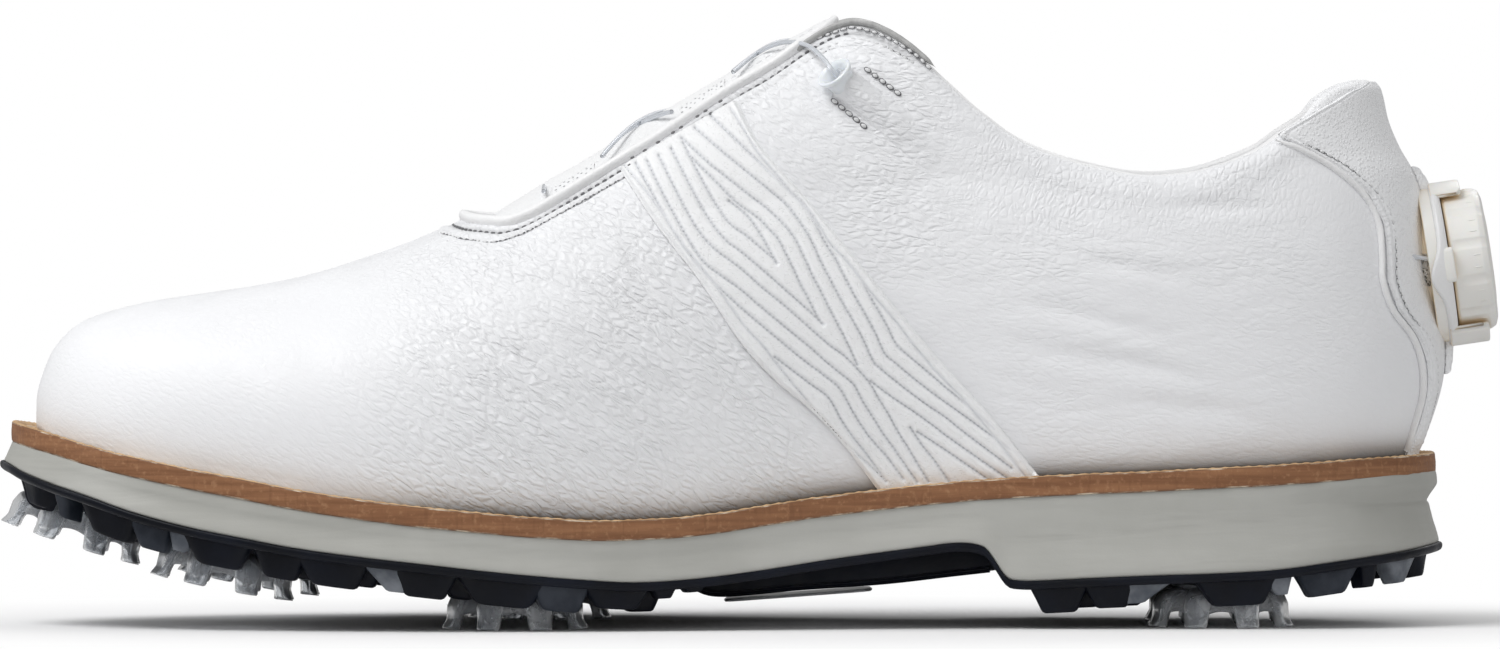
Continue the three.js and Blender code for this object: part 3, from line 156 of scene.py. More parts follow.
def unit(v):
    return v / np.maximum(np.linalg.norm(v, axis=-1, keepdims=True), 1e-9)


def bell(value, spread):
    return np.exp(-(value / spread) ** 2)


def pillow(distance, reach):
    """A quarter-round rise from 0 at the edge to 1 at reach."""
    return np.sqrt(np.clip(1 - (1 - np.minimum(distance / reach, 1)) ** 2, 0, 1))


def end_fade(n, reach):
    """0 at both ends of n steps, 1 from reach steps inwards."""
    return smooth(np.minimum(np.arange(n), n - 1 - np.arange(n)) / reach)


def catmull(p0, p1, p2, p3, t):
    return 0.5 * (2 * p1 + (p2 - p0) * t + (2 * p0 - 5 * p1 + 4 * p2 - p3) * t**2
                  + (3 * p1 - p0 - 3 * p2 + p3) * t**3)


def closed_curve(points, per):
    points = np.array(points, float)
    n = len(points)
    t = (np.arange(per) / per)[:, None]
    return np.concatenate([
        catmull(points[i - 1], points[i], points[(i + 1) % n], points[(i + 2) % n], t)
        for i in range(n)])


def length(path):
    return float(np.linalg.norm(np.diff(path, axis=0), axis=1).sum())


def arc_lengths(path):
    return np.concatenate([[0], np.cumsum(np.linalg.norm(np.diff(path, axis=0), axis=1))])


def resample(path, n):
    along = arc_lengths(path)
    at = np.linspace(0, along[-1], n)
    return np.stack([np.interp(at, along, path[:, k]) for k in range(path.shape[1])], 1)


def resample_both(path, normals, n):
    """The path in n even steps, each with the nearest of the given normals."""
    pick = np.round(np.linspace(0, len(normals) - 1, n)).astype(int)
    return resample(path, n), normals[np.clip(pick, 0, len(normals) - 1)]


def curve(points, n):
    """Catmull-Rom through points, resampled to n even steps."""
    p = np.asarray(points, float)
    t = (np.arange(24) / 24)[:, None]
    parts = []
    for i in range(len(p) - 1):
        before = p[i - 1] if i > 0 else 2 * p[0] - p[1]
        after = p[i + 2] if i + 2 < len(p) else 2 * p[-1] - p[-2]
        parts.append(catmull(before, p[i], p[i + 1], after, t))
    return resample(np.concatenate(parts + [p[-1:]]), n)


def nearest_on(points, path):
    """Distance to a polyline, and the arc length at the nearest point on it."""
    path = np.asarray(path, float)
    best, at, start = np.full(len(points), 1e9), np.zeros(len(points)), 0.0
    for a, b in zip(path[:-1], path[1:]):
        way = b - a
        span = float(np.linalg.norm(way))
        if span < 1e-9:
            continue
        t = np.clip(((points - a) @ way) / (span * span), 0, 1)
        distance = np.linalg.norm(points - a - t[:, None] * way, axis=1)
        closer = distance < best
        best[closer], at[closer] = distance[closer], (start + t * span)[closer]
        start += span
    return best, at


def distance_to(points, path):
    return nearest_on(points, path)[0]


def value_noise(points, scale, seed):
    """Smooth 3D value noise in -1..1, one cell per scale millimetres."""
    table = np.random.default_rng(seed).uniform(-1, 1, 4096)
    at = np.asarray(points, float) / scale
    cell = np.floor(at).astype(int)
    f = at - cell
    f = f * f * (3 - 2 * f)
    out = 0
    for corner in [(dx, dy, dz) for dx in (0, 1) for dy in (0, 1) for dz in (0, 1)]:
        wx, wy, wz = (f[..., k] if corner[k] else 1 - f[..., k] for k in range(3))
        i, j, k = (cell[..., axis] + corner[axis] for axis in range(3))
        hashed = ((i * 73856093) ^ (j * 19349663) ^ (k * 83492791)) & 4095
        out = out + wx * wy * wz * table[hashed]
    return out


# ------------------------------------------------------------------ the last
welt_top, midsole_bottom = Spline(WELT_TOP), Spline(MIDSOLE_BOTTOM)
heel_back = Spline(HEEL_BACK)
_ridge = Spline([[math.sqrt(x - TOE_X), z] for x, z in RIDGE])


def ridge(x):
    return _ridge(np.sqrt(np.maximum(0, np.asarray(x, float) - TOE_X)))


PLAN = closed_curve(MEDIAL + LATERAL, 24)
_along = np.roll(PLAN, -3, 0) - np.roll(PLAN, 3, 0)
_along /= np.linalg.norm(_along, axis=1, keepdims=True)
PLAN_IN = np.stack([_along[:, 1], -_along[:, 0]], 1)  # unit vectors pointing inwards


@lru_cache(maxsize=None)
def outline(inset):
    """The inset plan outline, as y of x for each side."""
    p = PLAN + PLAN_IN * inset
    n = len(p)
    high, low = int(np.argmax(p[:, 0])), int(np.argmin(p[:, 0]))
    medial = p[[(high + k) % n for k in range((low - high) % n + 1)]][::-1]
    lateral = p[[(low + k) % n for k in range((high - low) % n + 1)]]

    def side_line(points):
        rising = np.maximum.accumulate(points[:, 0])
        return lambda x: np.interp(x, rising, points[:, 1])

    return dict(xmin=p[low, 0], xmax=p[high, 0], tip=p[low, 1],
                med=side_line(medial), lat=side_line(lateral))


FOOT = outline(WELT_SHELF)  # where the upper meets the welt
ridge_y = Spline([[TOE_X, FOOT["tip"]], [-120, -4.6], [-90, -3.2], [-58, -2.4], [-20, -1.2],
                  [20, 0], [140, 0]])
# Section shape by x: the exponent of its roundness, and how far it bulges
section_power = Spline([[-143, 2.2], [-110, 2.5], [-60, 2.35], [-20, 2.2], [20, 2.3],
                        [60, 2.6], [140, 2.6]])
section_bulge = Spline([[-143, 0.03], [-110, 0.055], [-60, 0.05], [-20, 0.07], [20, 0.11],
                        [60, 0.1], [100, 0.07], [140, 0.04]])


def width(x, z, side):
    """Distance from the ridge line out to the last's surface."""
    x, z = np.asarray(x, float), np.asarray(z, float)
    plan_x = x - (heel_back(z) - 133.4) * smooth((x - 60) / 68)
    within = (plan_x < FOOT["xmax"]) & (plan_x > FOOT["xmin"])
    edge = np.where(np.asarray(side) < 0, FOOT["med"](plan_x), FOOT["lat"](plan_x))
    foot = welt_top(x)
    height = ridge(x) - foot
    level = np.clip((z - foot) / np.maximum(height, 0.01), 0, 1)
    up = np.clip((z - foot) / 60, 0, 1)
    profile = (np.power(np.maximum(0, 1 - np.power(level, section_power(x))), 1 / 2.15)
               * (1 + section_bulge(x) * 4 * up * (1 - up) * 0.9))
    narrowing = 1 - 0.16 * smooth((z - 70) / 45) * smooth((x - 10) / 60)
    out = np.asarray(side) * (edge - ridge_y(x)) * profile * narrowing
    return np.where(within, np.maximum(0, out), 0)


def inside(points):
    x, y, z = points[..., 0], points[..., 1], points[..., 2]
    centre = ridge_y(x)
    side = np.where(y < centre, -1.0, 1.0)
    reach = width(x, np.maximum(z, welt_top(x)), side)
    return (x > TOE_X) & (z < ridge(x)) & (np.abs(y - centre) < reach)


def cast(origin, way, reach=150.0):
    """Where rays from origins inside the last leave it along unit vectors."""
    low, high = np.zeros(way.shape[:-1]), np.full(way.shape[:-1], reach)
    found = np.zeros(low.shape, bool)
    for k in range(1, 101):  # a coarse march brackets the first exit
        s = reach * k / 100
        out = ~inside(origin + way * s) & ~found
        high = np.where(out, s, high)
        low = np.where(out, s - reach / 100, low)
        found |= out
    for _ in range(28):
        middle = (low + high) / 2
        within = inside(origin + way * middle[..., None])
        low, high = np.where(within, middle, low), np.where(within, high, middle)
    return origin + way * low[..., None]


def side_point(x, z, side, off=0.0):
    """Points and normals on one side of the last, given in the side view."""
    x, z = np.asarray(x, float), np.asarray(z, float)
    y = ridge_y(x) + side * width(x, z, side)
    e = 0.7
    dx = (width(x + e, z, side) - width(x - e, z, side)) / (2 * e)
    dz = (width(x, z + e, side) - width(x, z - e, side)) / (2 * e)
    normal = unit(np.stack([-dx, np.full_like(dx, side), -dz], -1))
    return np.stack([x, y, z], -1) + normal * np.asarray(off)[..., None], normal


# ------------------------------------------------------------------ the skin of the last
# A grid of rows round the shoe by levels up it.
LEVELS = 61
LEVEL = np.linspace(0, 1, LEVELS)
ROW_STEPS = 8  # grid columns from one row to the next


def heel_meridian(angle, top_z, side):
    a = math.radians(angle)
    foot_z = float(welt_top(HEEL_CENTRE_X + 33 * math.cos(a)))
    z = foot_z + (top_z - foot_z) * LEVEL
    origin = np.stack([np.full_like(z, HEEL_CENTRE_X), np.zeros_like(z), z], -1)
    way = np.array([math.cos(a), side * math.sin(a), 0.0])
    return cast(origin, np.broadcast_to(way, origin.shape))


def side_meridian(foot_x, top_x, top_z, weight, side, centre=False):
    x = foot_x + (top_x - foot_x) * LEVEL
    foot_z = float(welt_top(foot_x))
    z = foot_z + (top_z - foot_z) * LEVEL
    upright = np.stack([x, ridge_y(x) + side * width(x, z, side), z], -1)
    if weight >= 1:
        return upright
    if centre:
        foot = np.array([TOE_X, FOOT["tip"], foot_z])
        top = np.array([top_x, float(ridge_y(top_x)), top_z])
    else:
        at = lambda x, z: np.array([x, float(ridge_y(x) + side * width(x, z, side)), z])
        foot, top = at(foot_x, foot_z), at(top_x, top_z)
    # Rays fan out from a line inside the last, turning evenly from foot to top
    core = lambda x: np.array([x, float(ridge_y(x)), float(welt_top(x)) + 3])
    start, end = core(max(foot_x, -118.0)), core(top_x)
    origin = start + (end - start) * LEVEL[:, None]
    way0, way1 = unit(foot - start), unit(top - end)
    angle = math.acos(float(np.clip(way0 @ way1, -1, 1)))
    way = unit(way0 * (np.sin((1 - LEVEL) * angle) / math.sin(angle))[:, None]
               + way1 * (np.sin(LEVEL * angle) / math.sin(angle))[:, None])
    points = cast(origin, way)
    points[0], points[-1] = foot, top
    if weight > 0:
        points = points * (1 - weight) + upright * weight
    return points


def project(points):
    """Slide points near the last onto it."""
    x = np.clip(points[..., 0], -112, 100)
    floor_z = welt_top(x) + 2
    k = smooth((points[..., 0] + 60) / 80)
    origin = np.stack([x, ridge_y(x), floor_z + (points[..., 2] - floor_z) * k], -1)
    way = points - origin
    reach = float(np.linalg.norm(way, axis=-1).max() * 1.15)
    return cast(origin, unit(way), reach=reach)


def between_rows(rows, steps):
    """Periodic Catmull-Rom between rows."""
    p0, p2, p3 = np.roll(rows, 1, 0), np.roll(rows, -1, 0), np.roll(rows, -2, 0)
    out = [catmull(p0, rows, p2, p3, k / steps) for k in range(steps)]
    return np.stack(out, 1).reshape(-1, *rows.shape[1:])


def grid_normals(grid, wrap=True):
    if wrap:
        du = np.roll(grid, -1, 0) - np.roll(grid, 1, 0)
    else:
        du = np.gradient(grid, axis=0)
    return unit(np.cross(du, np.gradient(grid, axis=1)))


def skin_rows():
    """Rows from the back of the heel by the medial side to the toe, and back laterally."""
    half = [lambda side, r=r: heel_meridian(*r, side) for r in HEEL_ROWS]
    half += [lambda side, r=r: side_meridian(*r, side) for r in SIDE_ROWS]
    half += [lambda side: side_meridian(TOE_X, -58, 81.2, 0, side, centre=True)]
    rows = [row(-1) for row in half] + [row(1) for row in half[-2:0:-1]]
    return np.stack(rows), (len(half) - 1) * ROW_STEPS


_rows, TIP_COLUMN = skin_rows()
SKIN = between_rows(_rows, ROW_STEPS)
COLUMNS = len(SKIN)
SKIN[:, 1:-1] = SKIN[:, 1:-1] * 0.25 + project(SKIN[:, 1:-1]) * 0.75

SKIN_NORMALS = grid_normals(SKIN)
if SKIN_NORMALS[10 * ROW_STEPS, LEVELS // 2, 1] > 0:
    SKIN_NORMALS = -SKIN_NORMALS
for _ in range(2):  # soften the normals a little
    SKIN_NORMALS = unit(SKIN_NORMALS + 0.5 * (np.roll(SKIN_NORMALS, 1, 0)
                                              + np.roll(SKIN_NORMALS, -1, 0)))
SKIN_TREE = KDTree(COLUMNS * LEVELS)
for _index, _point in enumerate(SKIN.reshape(-1, 3)):
    SKIN_TREE.insert(_point, _index)
SKIN_TREE.balance()


def skin_normals_near(points):
    """Normals of the skin near each point, from the four nearest grid points."""
    flat = SKIN_NORMALS.reshape(-1, 3)
    out = []
    for p in points.reshape(-1, 3):
        near = SKIN_TREE.find_n(p, 4)
        weight = np.array([1 / (hit[2] + 0.05) for hit in near])
        out.append((weight[:, None] * flat[[hit[1] for hit in near]]).sum(0))
    return unit(np.array(out)).reshape(points.shape)


# ------------------------------------------------------------------ mesh helpers
def grid_faces(nu, nv, wrap_u=False, wrap_v=False, flip=False):
    rows = np.arange(nu if wrap_u else nu - 1)
    columns = np.arange(nv if wrap_v else nv - 1)
    u, v = (k.ravel() for k in np.meshgrid(rows, columns, indexing="ij"))
    a, b = u * nv + v, ((u + 1) % nu) * nv + v
    c, d = ((u + 1) % nu) * nv + (v + 1) % nv, u * nv + (v + 1) % nv
    return np.stack([a, d, c, b] if flip else [a, b, c, d], 1)


def end_caps(rings, size, flip=False):
    """Faces closing the first and last rings of a tube."""
    first = list(range(size))
    last = [(rings - 1) * size + i for i in range(size)]
    return [first[::-1], last] if flip else [first, last[::-1]]


def border_pairs(nu, nv):
    """Neighbouring points round the border of a grid."""
    edge = [i * nv for i in range(nu)] + [(nu - 1) * nv + j for j in range(1, nv)]
    edge += [i * nv + nv - 1 for i in range(nu - 2, -1, -1)] + list(range(nv - 2, 0, -1))
    return zip(edge, edge[1:] + edge[:1])


def sheet_faces(nu, nv, flip=False):
    """Faces of two matching grids closed round their border."""
    n = nu * nv
    faces = grid_faces(nu, nv, flip=flip).tolist()
    faces += (grid_faces(nu, nv, flip=not flip) + n).tolist()
    for a, b in border_pairs(nu, nv):
        faces.append([b, a, a + n, b + n] if flip else [a, b, b + n, a + n])
    return faces


def slab_faces(nu, nv):
    """As sheet_faces, wound for a sole slab: top grid first, bottom grid second."""
    n = nu * nv
    top = grid_faces(nu, nv).tolist()
    walls = [[b, a, a + n, b + n] for a, b in border_pairs(nu, nv)]
    return top + [[q + n for q in face[::-1]] for face in top] + walls


def two_layers(top, bottom):
    return np.concatenate([top.reshape(-1, 3), bottom.reshape(-1, 3)])


def add(name, verts, faces, mat, body="shoe", smooth_shade=True, replaces=(), slot=None,
        matrix=None, mat_index=None):
    """Makes an object from millimetre points. mat is a material or a list of them."""
    verts = np.asarray(verts, float).reshape(-1, 3)
    if matrix is not None:
        place = np.array(matrix)
        verts = verts @ place[:3, :3].T + place[:3, 3]
    verts = (verts + SHIFT) / 1000
    mesh = bpy.data.meshes.new(name)
    mesh.from_pydata(verts.tolist(), [], faces.tolist() if isinstance(faces, np.ndarray) else faces)
    mesh.validate()
    if smooth_shade:
        mesh.polygons.foreach_set("use_smooth", [True] * len(mesh.polygons))
    for one in mat if isinstance(mat, list) else [mat]:
        mesh.materials.append(one.material)
    if mat_index is not None:
        mesh.polygons.foreach_set("material_index", mat_index)
    mesh.update()
    obj = bpy.data.objects.new(name, mesh)
    bpy.context.scene.collection.objects.link(obj)
    if body:
        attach(obj, body)
    if replaces:
        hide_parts(*replaces)
    return obj


def modify(obj, kind, **settings):
    modifier = obj.modifiers.new(kind.lower(), kind)
    for key, value in settings.items():
        setattr(modifier, key, value)


def thicken(obj, thickness, offset):
    modify(obj, "SOLIDIFY", thickness=thickness / 1000, offset=offset, use_rim=True,
           use_even_offset=False)


def paint(obj, name, values):
    """A value per mesh point, for a material to read."""
    attribute = obj.data.attributes.new(name, "FLOAT", "POINT")
    attribute.data.foreach_set("value", np.asarray(values, np.float32).ravel())


class Pieces:
    """Gathers small closed pieces into one mesh."""

    def __init__(self):
        self.verts, self.faces, self.count = [], [], 0

    def put(self, verts, faces):
        verts = np.asarray(verts, float).reshape(-1, 3)
        self.verts.append(verts)
        if isinstance(faces, np.ndarray):
            faces = faces.tolist()
        self.faces.extend([[i + self.count for i in face] for face in faces])
        self.count += len(verts)

    def add(self, name, mat, **options):
        return add(name, np.concatenate(self.verts), self.faces, mat, **options)


def path_frames(path, normals, closed):
    """Side and up vectors along a path; up follows normals where they are given."""
    if closed:
        along = unit(np.roll(path, -1, 0) - np.roll(path, 1, 0))
    else:
        along = unit(np.gradient(path, axis=0))
    if normals is None:
        normals = np.zeros_like(path)
        up = np.cross(along[0], [0.3, 0.2, 1.0])
        for i in range(len(path)):
            up = up - along[i] * (up @ along[i])
            up = up / np.linalg.norm(up)
            normals[i] = up
    normals = unit(normals - along * (normals * along).sum(1, keepdims=True))
    return np.cross(normals, along), normals


def sweep(path, profile, normals=None, closed=False, scale=1.0):
    """Sweeps closed profile points (side, up) along a path, scaled at each point."""
    path, profile = np.asarray(path, float), np.asarray(profile, float)
    side, up = path_frames(path, normals, closed)
    k = np.broadcast_to(scale, len(path))[:, None]
    verts = (path[:, None] + side[:, None] * (profile[None, :, 0] * k)[..., None]
             + up[:, None] * (profile[None, :, 1] * k)[..., None])
    faces = grid_faces(len(path), len(profile), closed, True, flip=True).tolist()
    if not closed:
        faces += end_caps(len(path), len(profile))
    return verts.reshape(-1, 3), faces


def oval(radius, n, radius_up=None):
    a = np.arange(n) / n * 2 * math.pi
    return np.stack([radius * np.cos(a), (radius_up or radius) * np.sin(a)], 1)


def squircle(angle, power):
    """A point on the unit superellipse."""
    c, s = math.cos(angle), math.sin(angle)
    r = (abs(c) ** power + abs(s) ** power) ** (-1 / power)
    return r * c, r * s


def lathe(profile, segments, closed=False):
    """(radius, z) profile round Z. An open profile starts and ends on the axis."""
    profile = np.asarray(profile, float)
    wall = profile if closed else profile[1:-1]
    a = np.arange(segments) / segments * 2 * math.pi
    height = np.broadcast_to(wall[:, 1], (segments, len(wall)))
    verts = np.stack([wall[None, :, 0] * np.cos(a)[:, None],
                      wall[None, :, 0] * np.sin(a)[:, None], height], -1).reshape(-1, 3)
    k, n = len(wall), len(verts)
    faces = grid_faces(segments, k, True, closed).tolist()
    if closed:
        return verts, faces
    for i in range(segments):
        j = (i + 1) % segments
        faces.append([n, j * k, i * k])
        faces.append([n + 1, i * k + k - 1, j * k + k - 1])
    return np.concatenate([verts, [[0, 0, profile[0, 1]], [0, 0, profile[-1, 1]]]]), faces


def rounded_corner(a, b, c, radius, steps):
    a, b, c = (np.array(q, float) for q in (a, b, c))
    to_a, to_c = np.linalg.norm(a - b), np.linalg.norm(c - b)
    k = min(radius, to_a * 0.45, to_c * 0.45)
    start, end = b + (a - b) / to_a * k, b + (c - b) / to_c * k
    t = (np.arange(steps + 1) / steps)[:, None]
    return list((1 - t) ** 2 * start + 2 * t * (1 - t) * b + t * t * end)


def rounded_profile(pts, radius, steps):
    """Rounds the inner corners of an open (radius, z) profile."""
    out = [np.array(pts[0], float)]
    for i in range(1, len(pts) - 1):
        out += rounded_corner(*pts[i - 1:i + 2], radius, steps)
    return np.array(out + [np.array(pts[-1], float)])


def rounded_loop(pts, radius, steps=3):
    """Rounds every corner of a closed (radius, z) profile."""
    out = []
    for i in range(len(pts)):
        out += rounded_corner(pts[i - 1], pts[i], pts[(i + 1) % len(pts)], radius, steps)
    return np.array(out)


# ------------------------------------------------------------------ stitches
def stitch_shape():
    """One thread stitch, 1 long, 1 wide, 1 high, its belly just below z = 0."""
    rings = [(-0.44, 0.55), (-0.22, 0.95), (0, 1.0), (0.22, 0.95), (0.44, 0.55)]  # x, size
    seg = 6
    verts = []
    for x, k in rings:
        for i in range(seg):
            a = 2 * math.pi * i / seg
            verts.append((x, 0.5 * k * math.cos(a), 0.5 * k * math.sin(a) - 0.16 * (1 - k)))
    n = len(rings)
    faces = grid_faces(n, seg, False, True, flip=True).tolist()
    verts += [(-0.5, 0, -0.2), (0.5, 0, -0.2)]
    for i in range(seg):
        j = (i + 1) % seg
        faces.append([n * seg, j, i])
        faces.append([n * seg + 1, (n - 1) * seg + i, (n - 1) * seg + j])
    return np.array(verts, float), faces


STITCH, STITCH_FACES = stitch_shape()


def place_stitch(pieces, at, axes, size):
    offsets = [axis * (STITCH[:, k:k + 1] * size[k]) for k, axis in enumerate(axes)]
    pieces.put(at + offsets[0] + offsets[1] + offsets[2], STITCH_FACES)


def stitch_row(pieces, path, normals, pitch, wide, high, fill, slant=0.0, sunk=0.0):
    """Lays stitches along a path. fill is the stitch length as a share of the pitch."""
    along = arc_lengths(path)
    total = length(path)
    count = max(2, int(round(total / pitch)))
    centre = (np.arange(count) + 0.5) * total / count

    def at(values, where):
        return np.stack([np.interp(where, along, values[:, k]) for k in range(3)], -1)

    middle, n = at(path, centre), unit(at(normals, centre))
    x = unit(at(path, centre + pitch * 0.3) - at(path, centre - pitch * 0.3))
    y = unit(np.cross(n, x))
    n = np.cross(x, y)
    if slant:
        c, s = math.cos(slant), math.sin(slant)
        x, y = x * c + y * s, y * c - x * s
    vary = 1 + 0.06 * rng.standard_normal(count)
    for i in range(count):
        place_stitch(pieces, middle[i] - n[i] * sunk, (x[i], y[i], n[i]),
                     (pitch * fill * vary[i], wide, high))


def upward(n):
    return np.tile([0, 0, 1.0], (n, 1))


# ------------------------------------------------------------------ material helper
class Mat:
    """A principled material with short calls for its texture nodes (scales per metre)."""

    def __init__(self, name, color, rough, **sockets):
        self.material = bpy.data.materials.new(name)
        self.material.use_nodes = True
        self.tree = self.material.node_tree
        self.tree.nodes.clear()
        self.out = self.tree.nodes.new("ShaderNodeOutputMaterial")
        self.shader = self.tree.nodes.new("ShaderNodeBsdfPrincipled")
        self.tree.links.new(self.shader.outputs[0], self.out.inputs[0])
        self.co = self.tree.nodes.new("ShaderNodeTexCoord").outputs["Object"]
        self.set(Base_Color=(*color, 1), Roughness=rough, **sockets)
        self.material.diffuse_color = (*color, 1)

    def feed(self, socket, value):
        if hasattr(value, "links"):
            self.tree.links.new(value, socket)
        else:
            socket.default_value = value

    def set(self, **sockets):
        for key, value in sockets.items():
            self.feed(self.shader.inputs[key.replace("_", " ")], value)

    def node(self, kind, inputs=None, **props):
        node = self.tree.nodes.new(kind)
        for key, value in props.items():
            setattr(node, key, value)
        for key, value in (inputs or {}).items():
            self.feed(node.inputs[key], value)
        return node

    def stretch(self, scale, turn=(0, 0, 0), vec=None):
        """Coordinates turned, then scaled."""
        vec = vec or self.co
        if any(turn):
            vec = self.node("ShaderNodeMapping", {0: vec, "Rotation": turn}).outputs[0]
        return self.node("ShaderNodeMapping", {0: vec, "Scale": scale}).outputs[0]

    def noise(self, scale, detail=3.0, rough=0.55, distortion=0.0, vec=None):
        return self.node("ShaderNodeTexNoise", {
            "Vector": vec or self.co, "Scale": scale, "Detail": detail, "Roughness": rough,
            "Distortion": distortion}).outputs[0]

    def warp(self, scale, amount, vec=None):
        """Coordinates pushed about by noise."""
        vec = vec or self.co
        push = self.node("ShaderNodeTexNoise",
                         {"Vector": vec, "Scale": scale, "Detail": 2.0}).outputs[1]
        for inputs, operation in (({1: (0.5, 0.5, 0.5)}, "SUBTRACT"),
                                  ({"Scale": amount}, "SCALE"), ({1: vec}, "ADD")):
            if operation == "ADD":
                ends = {0: vec, 1: push}
            else:
                ends = {0: push, **inputs}
            push = self.node("ShaderNodeVectorMath", ends, operation=operation).outputs[0]
        return push

    def voronoi(self, scale, feature="F1", vec=None, randomness=1.0):
        return self.node("ShaderNodeTexVoronoi", {
            "Vector": vec or self.co, "Scale": scale, "Randomness": randomness},
            feature=feature).outputs["Distance"]

    def wave(self, scale, distortion, vec=None, direction="X"):
        return self.node("ShaderNodeTexWave", {
            "Vector": vec or self.co, "Scale": scale, "Distortion": distortion},
            bands_direction=direction).outputs["Fac"]

    def ramp(self, value, span, to=(0.0, 1.0), kind="SMOOTHSTEP"):
        return self.node("ShaderNodeMapRange", {
            "Value": value, "From Min": span[0], "From Max": span[1], "To Min": to[0],
            "To Max": to[1]}, interpolation_type=kind).outputs[0]

    def math(self, operation, a, b=0.0):
        return self.node("ShaderNodeMath", {0: a, 1: b}, operation=operation).outputs[0]

    def plus(self, a, b):
        return self.math("ADD", a, b)

    def times(self, a, b):
        return self.math("MULTIPLY", a, b)

    def inverse(self, value):
        return self.math("SUBTRACT", 1.0, value)

    def blend(self, low, high, k):
        return self.plus(self.times(low, self.inverse(k)), self.times(high, k))

    def mix(self, factor, low, high):
        colors = [c if hasattr(c, "links") else (*c, 1) for c in (low, high)]
        return self.node("ShaderNodeMix", {0: factor, 6: colors[0], 7: colors[1]},
                         data_type="RGBA").outputs[2]

    def bump(self, height, distance, strength):
        node = self.node("ShaderNodeBump",
                         {"Height": height, "Distance": distance, "Strength": strength})
        self.tree.links.new(node.outputs[0], self.shader.inputs["Normal"])

    def axis(self, k):
        return self.node("ShaderNodeSeparateXYZ", {0: self.co}).outputs[k]

    def attribute(self, name):
        return self.node("ShaderNodeAttribute", attribute_name=name).outputs["Fac"]

    def surface(self, height, distance, strength, tone, low, high, **sockets):
        """Bump from height, colour from low to high by tone. Returns the material."""
        self.bump(height, distance, strength)
        self.set(Base_Color=self.mix(tone, low, high), **sockets)
        return self


MIDDLE = (0.3, 0.7)  # the useful span of a noise value
NARROW = (0.35, 0.65)


# ------------------------------------------------------------------ leathers and fabrics
def milled_grain(m, base, cell):
    """Pebbles drawn out along the creases: their cells, flow lines and local strength."""
    x, z = m.axis(0), m.axis(2)

    def pebbles(turn, drawn, scale):
        vec = m.stretch((drawn, 0.7, 1.0), (0, math.radians(turn), 0), base)
        return m.ramp(m.voronoi(scale, "DISTANCE_TO_EDGE", vec), span=(0.0, 0.30))

    def flow_lines(turn, scale):
        vec = m.stretch((0.24, 0.6, 1.0), (0, math.radians(turn), 0), m.warp(110, 0.004))
        wavy = m.noise(scale, detail=3, rough=0.6, distortion=0.6, vec=vec)
        return m.ramp(m.math("ABSOLUTE", m.math("SUBTRACT", wavy, 0.5)), span=(0.0, 0.05))

    drawn = 0.38
    front = pebbles(turn=-33, drawn=drawn, scale=cell)
    rear = pebbles(turn=-9, drawn=drawn * 1.1, scale=cell * 1.05)
    upper = pebbles(turn=74, drawn=drawn * 1.5, scale=cell * 1.02)
    back = m.ramp(x, span=(0.004, 0.026))
    top = m.times(m.ramp(z, span=(0.072, 0.086)), m.ramp(x, span=(0.030, 0.052)))
    cells = m.blend(m.blend(front, rear, back), upper, top)
    # Strongest across the forepart and along the top line, faint on the toe and the heel
    flex = m.times(m.ramp(x, span=(-0.102, -0.050)), m.ramp(x, span=(0.030, 0.004)))
    top_line = m.times(m.ramp(z, span=(0.060, 0.080)), m.ramp(x, span=(0.122, 0.100)))
    strong = m.math("MAXIMUM", m.math("MAXIMUM", flex, m.times(top_line, 0.85)), 0.26)
    patchy = m.ramp(m.noise(30, detail=2), span=(0.28, 0.6), to=(0.40, 1.0))
    lines = m.blend(flow_lines(turn=-36, scale=310), flow_lines(turn=-8, scale=280), back)
    return cells, lines, m.times(strong, patchy)


def leather(name, color, cell, depth, rough, milled=False):
    m = Mat(name, color, rough, Specular_IOR_Level=0.42, Coat_Weight=0.05, Coat_Roughness=0.4)
    base = m.warp(150, 0.0017, m.warp(520, 0.0004))
    if milled:
        cells, lines, strong = milled_grain(m, base, cell)
        height = m.times(m.plus(cells, m.times(lines, 0.42)), strong)
    else:
        height = m.ramp(m.voronoi(cell, vec=base), span=(0.6, 0.15))
    fine = m.ramp(m.voronoi(2600, vec=m.warp(700, 0.0004)), span=(0.55, 0.1))
    m.bump(m.plus(height, m.times(fine, 0.08)), depth, 1.0)
    tone = m.mix(m.ramp(m.noise(16, detail=3), NARROW),
                 low=tuple(k * 0.975 for k in color), high=color)
    if milled:
        # Painted shade in the valleys between the grain's pebbles
        valley_shade = m.times(m.times(m.inverse(cells), strong), 0.20)
        tone = m.mix(valley_shade, low=tone, high=tuple(k * 0.74 for k in color))
        # Shade painted along the foot of the upper and in its seams
        foot_and_seam_shade = m.attribute("foot_and_seam_shade")
        tone = m.mix(m.times(foot_and_seam_shade, 0.97), low=tone, high=(0.04, 0.04, 0.043))
    m.set(Base_Color=tone,
          Roughness=m.ramp(m.noise(95, detail=3), MIDDLE, to=(rough - 0.07, rough + 0.09)))
    return m


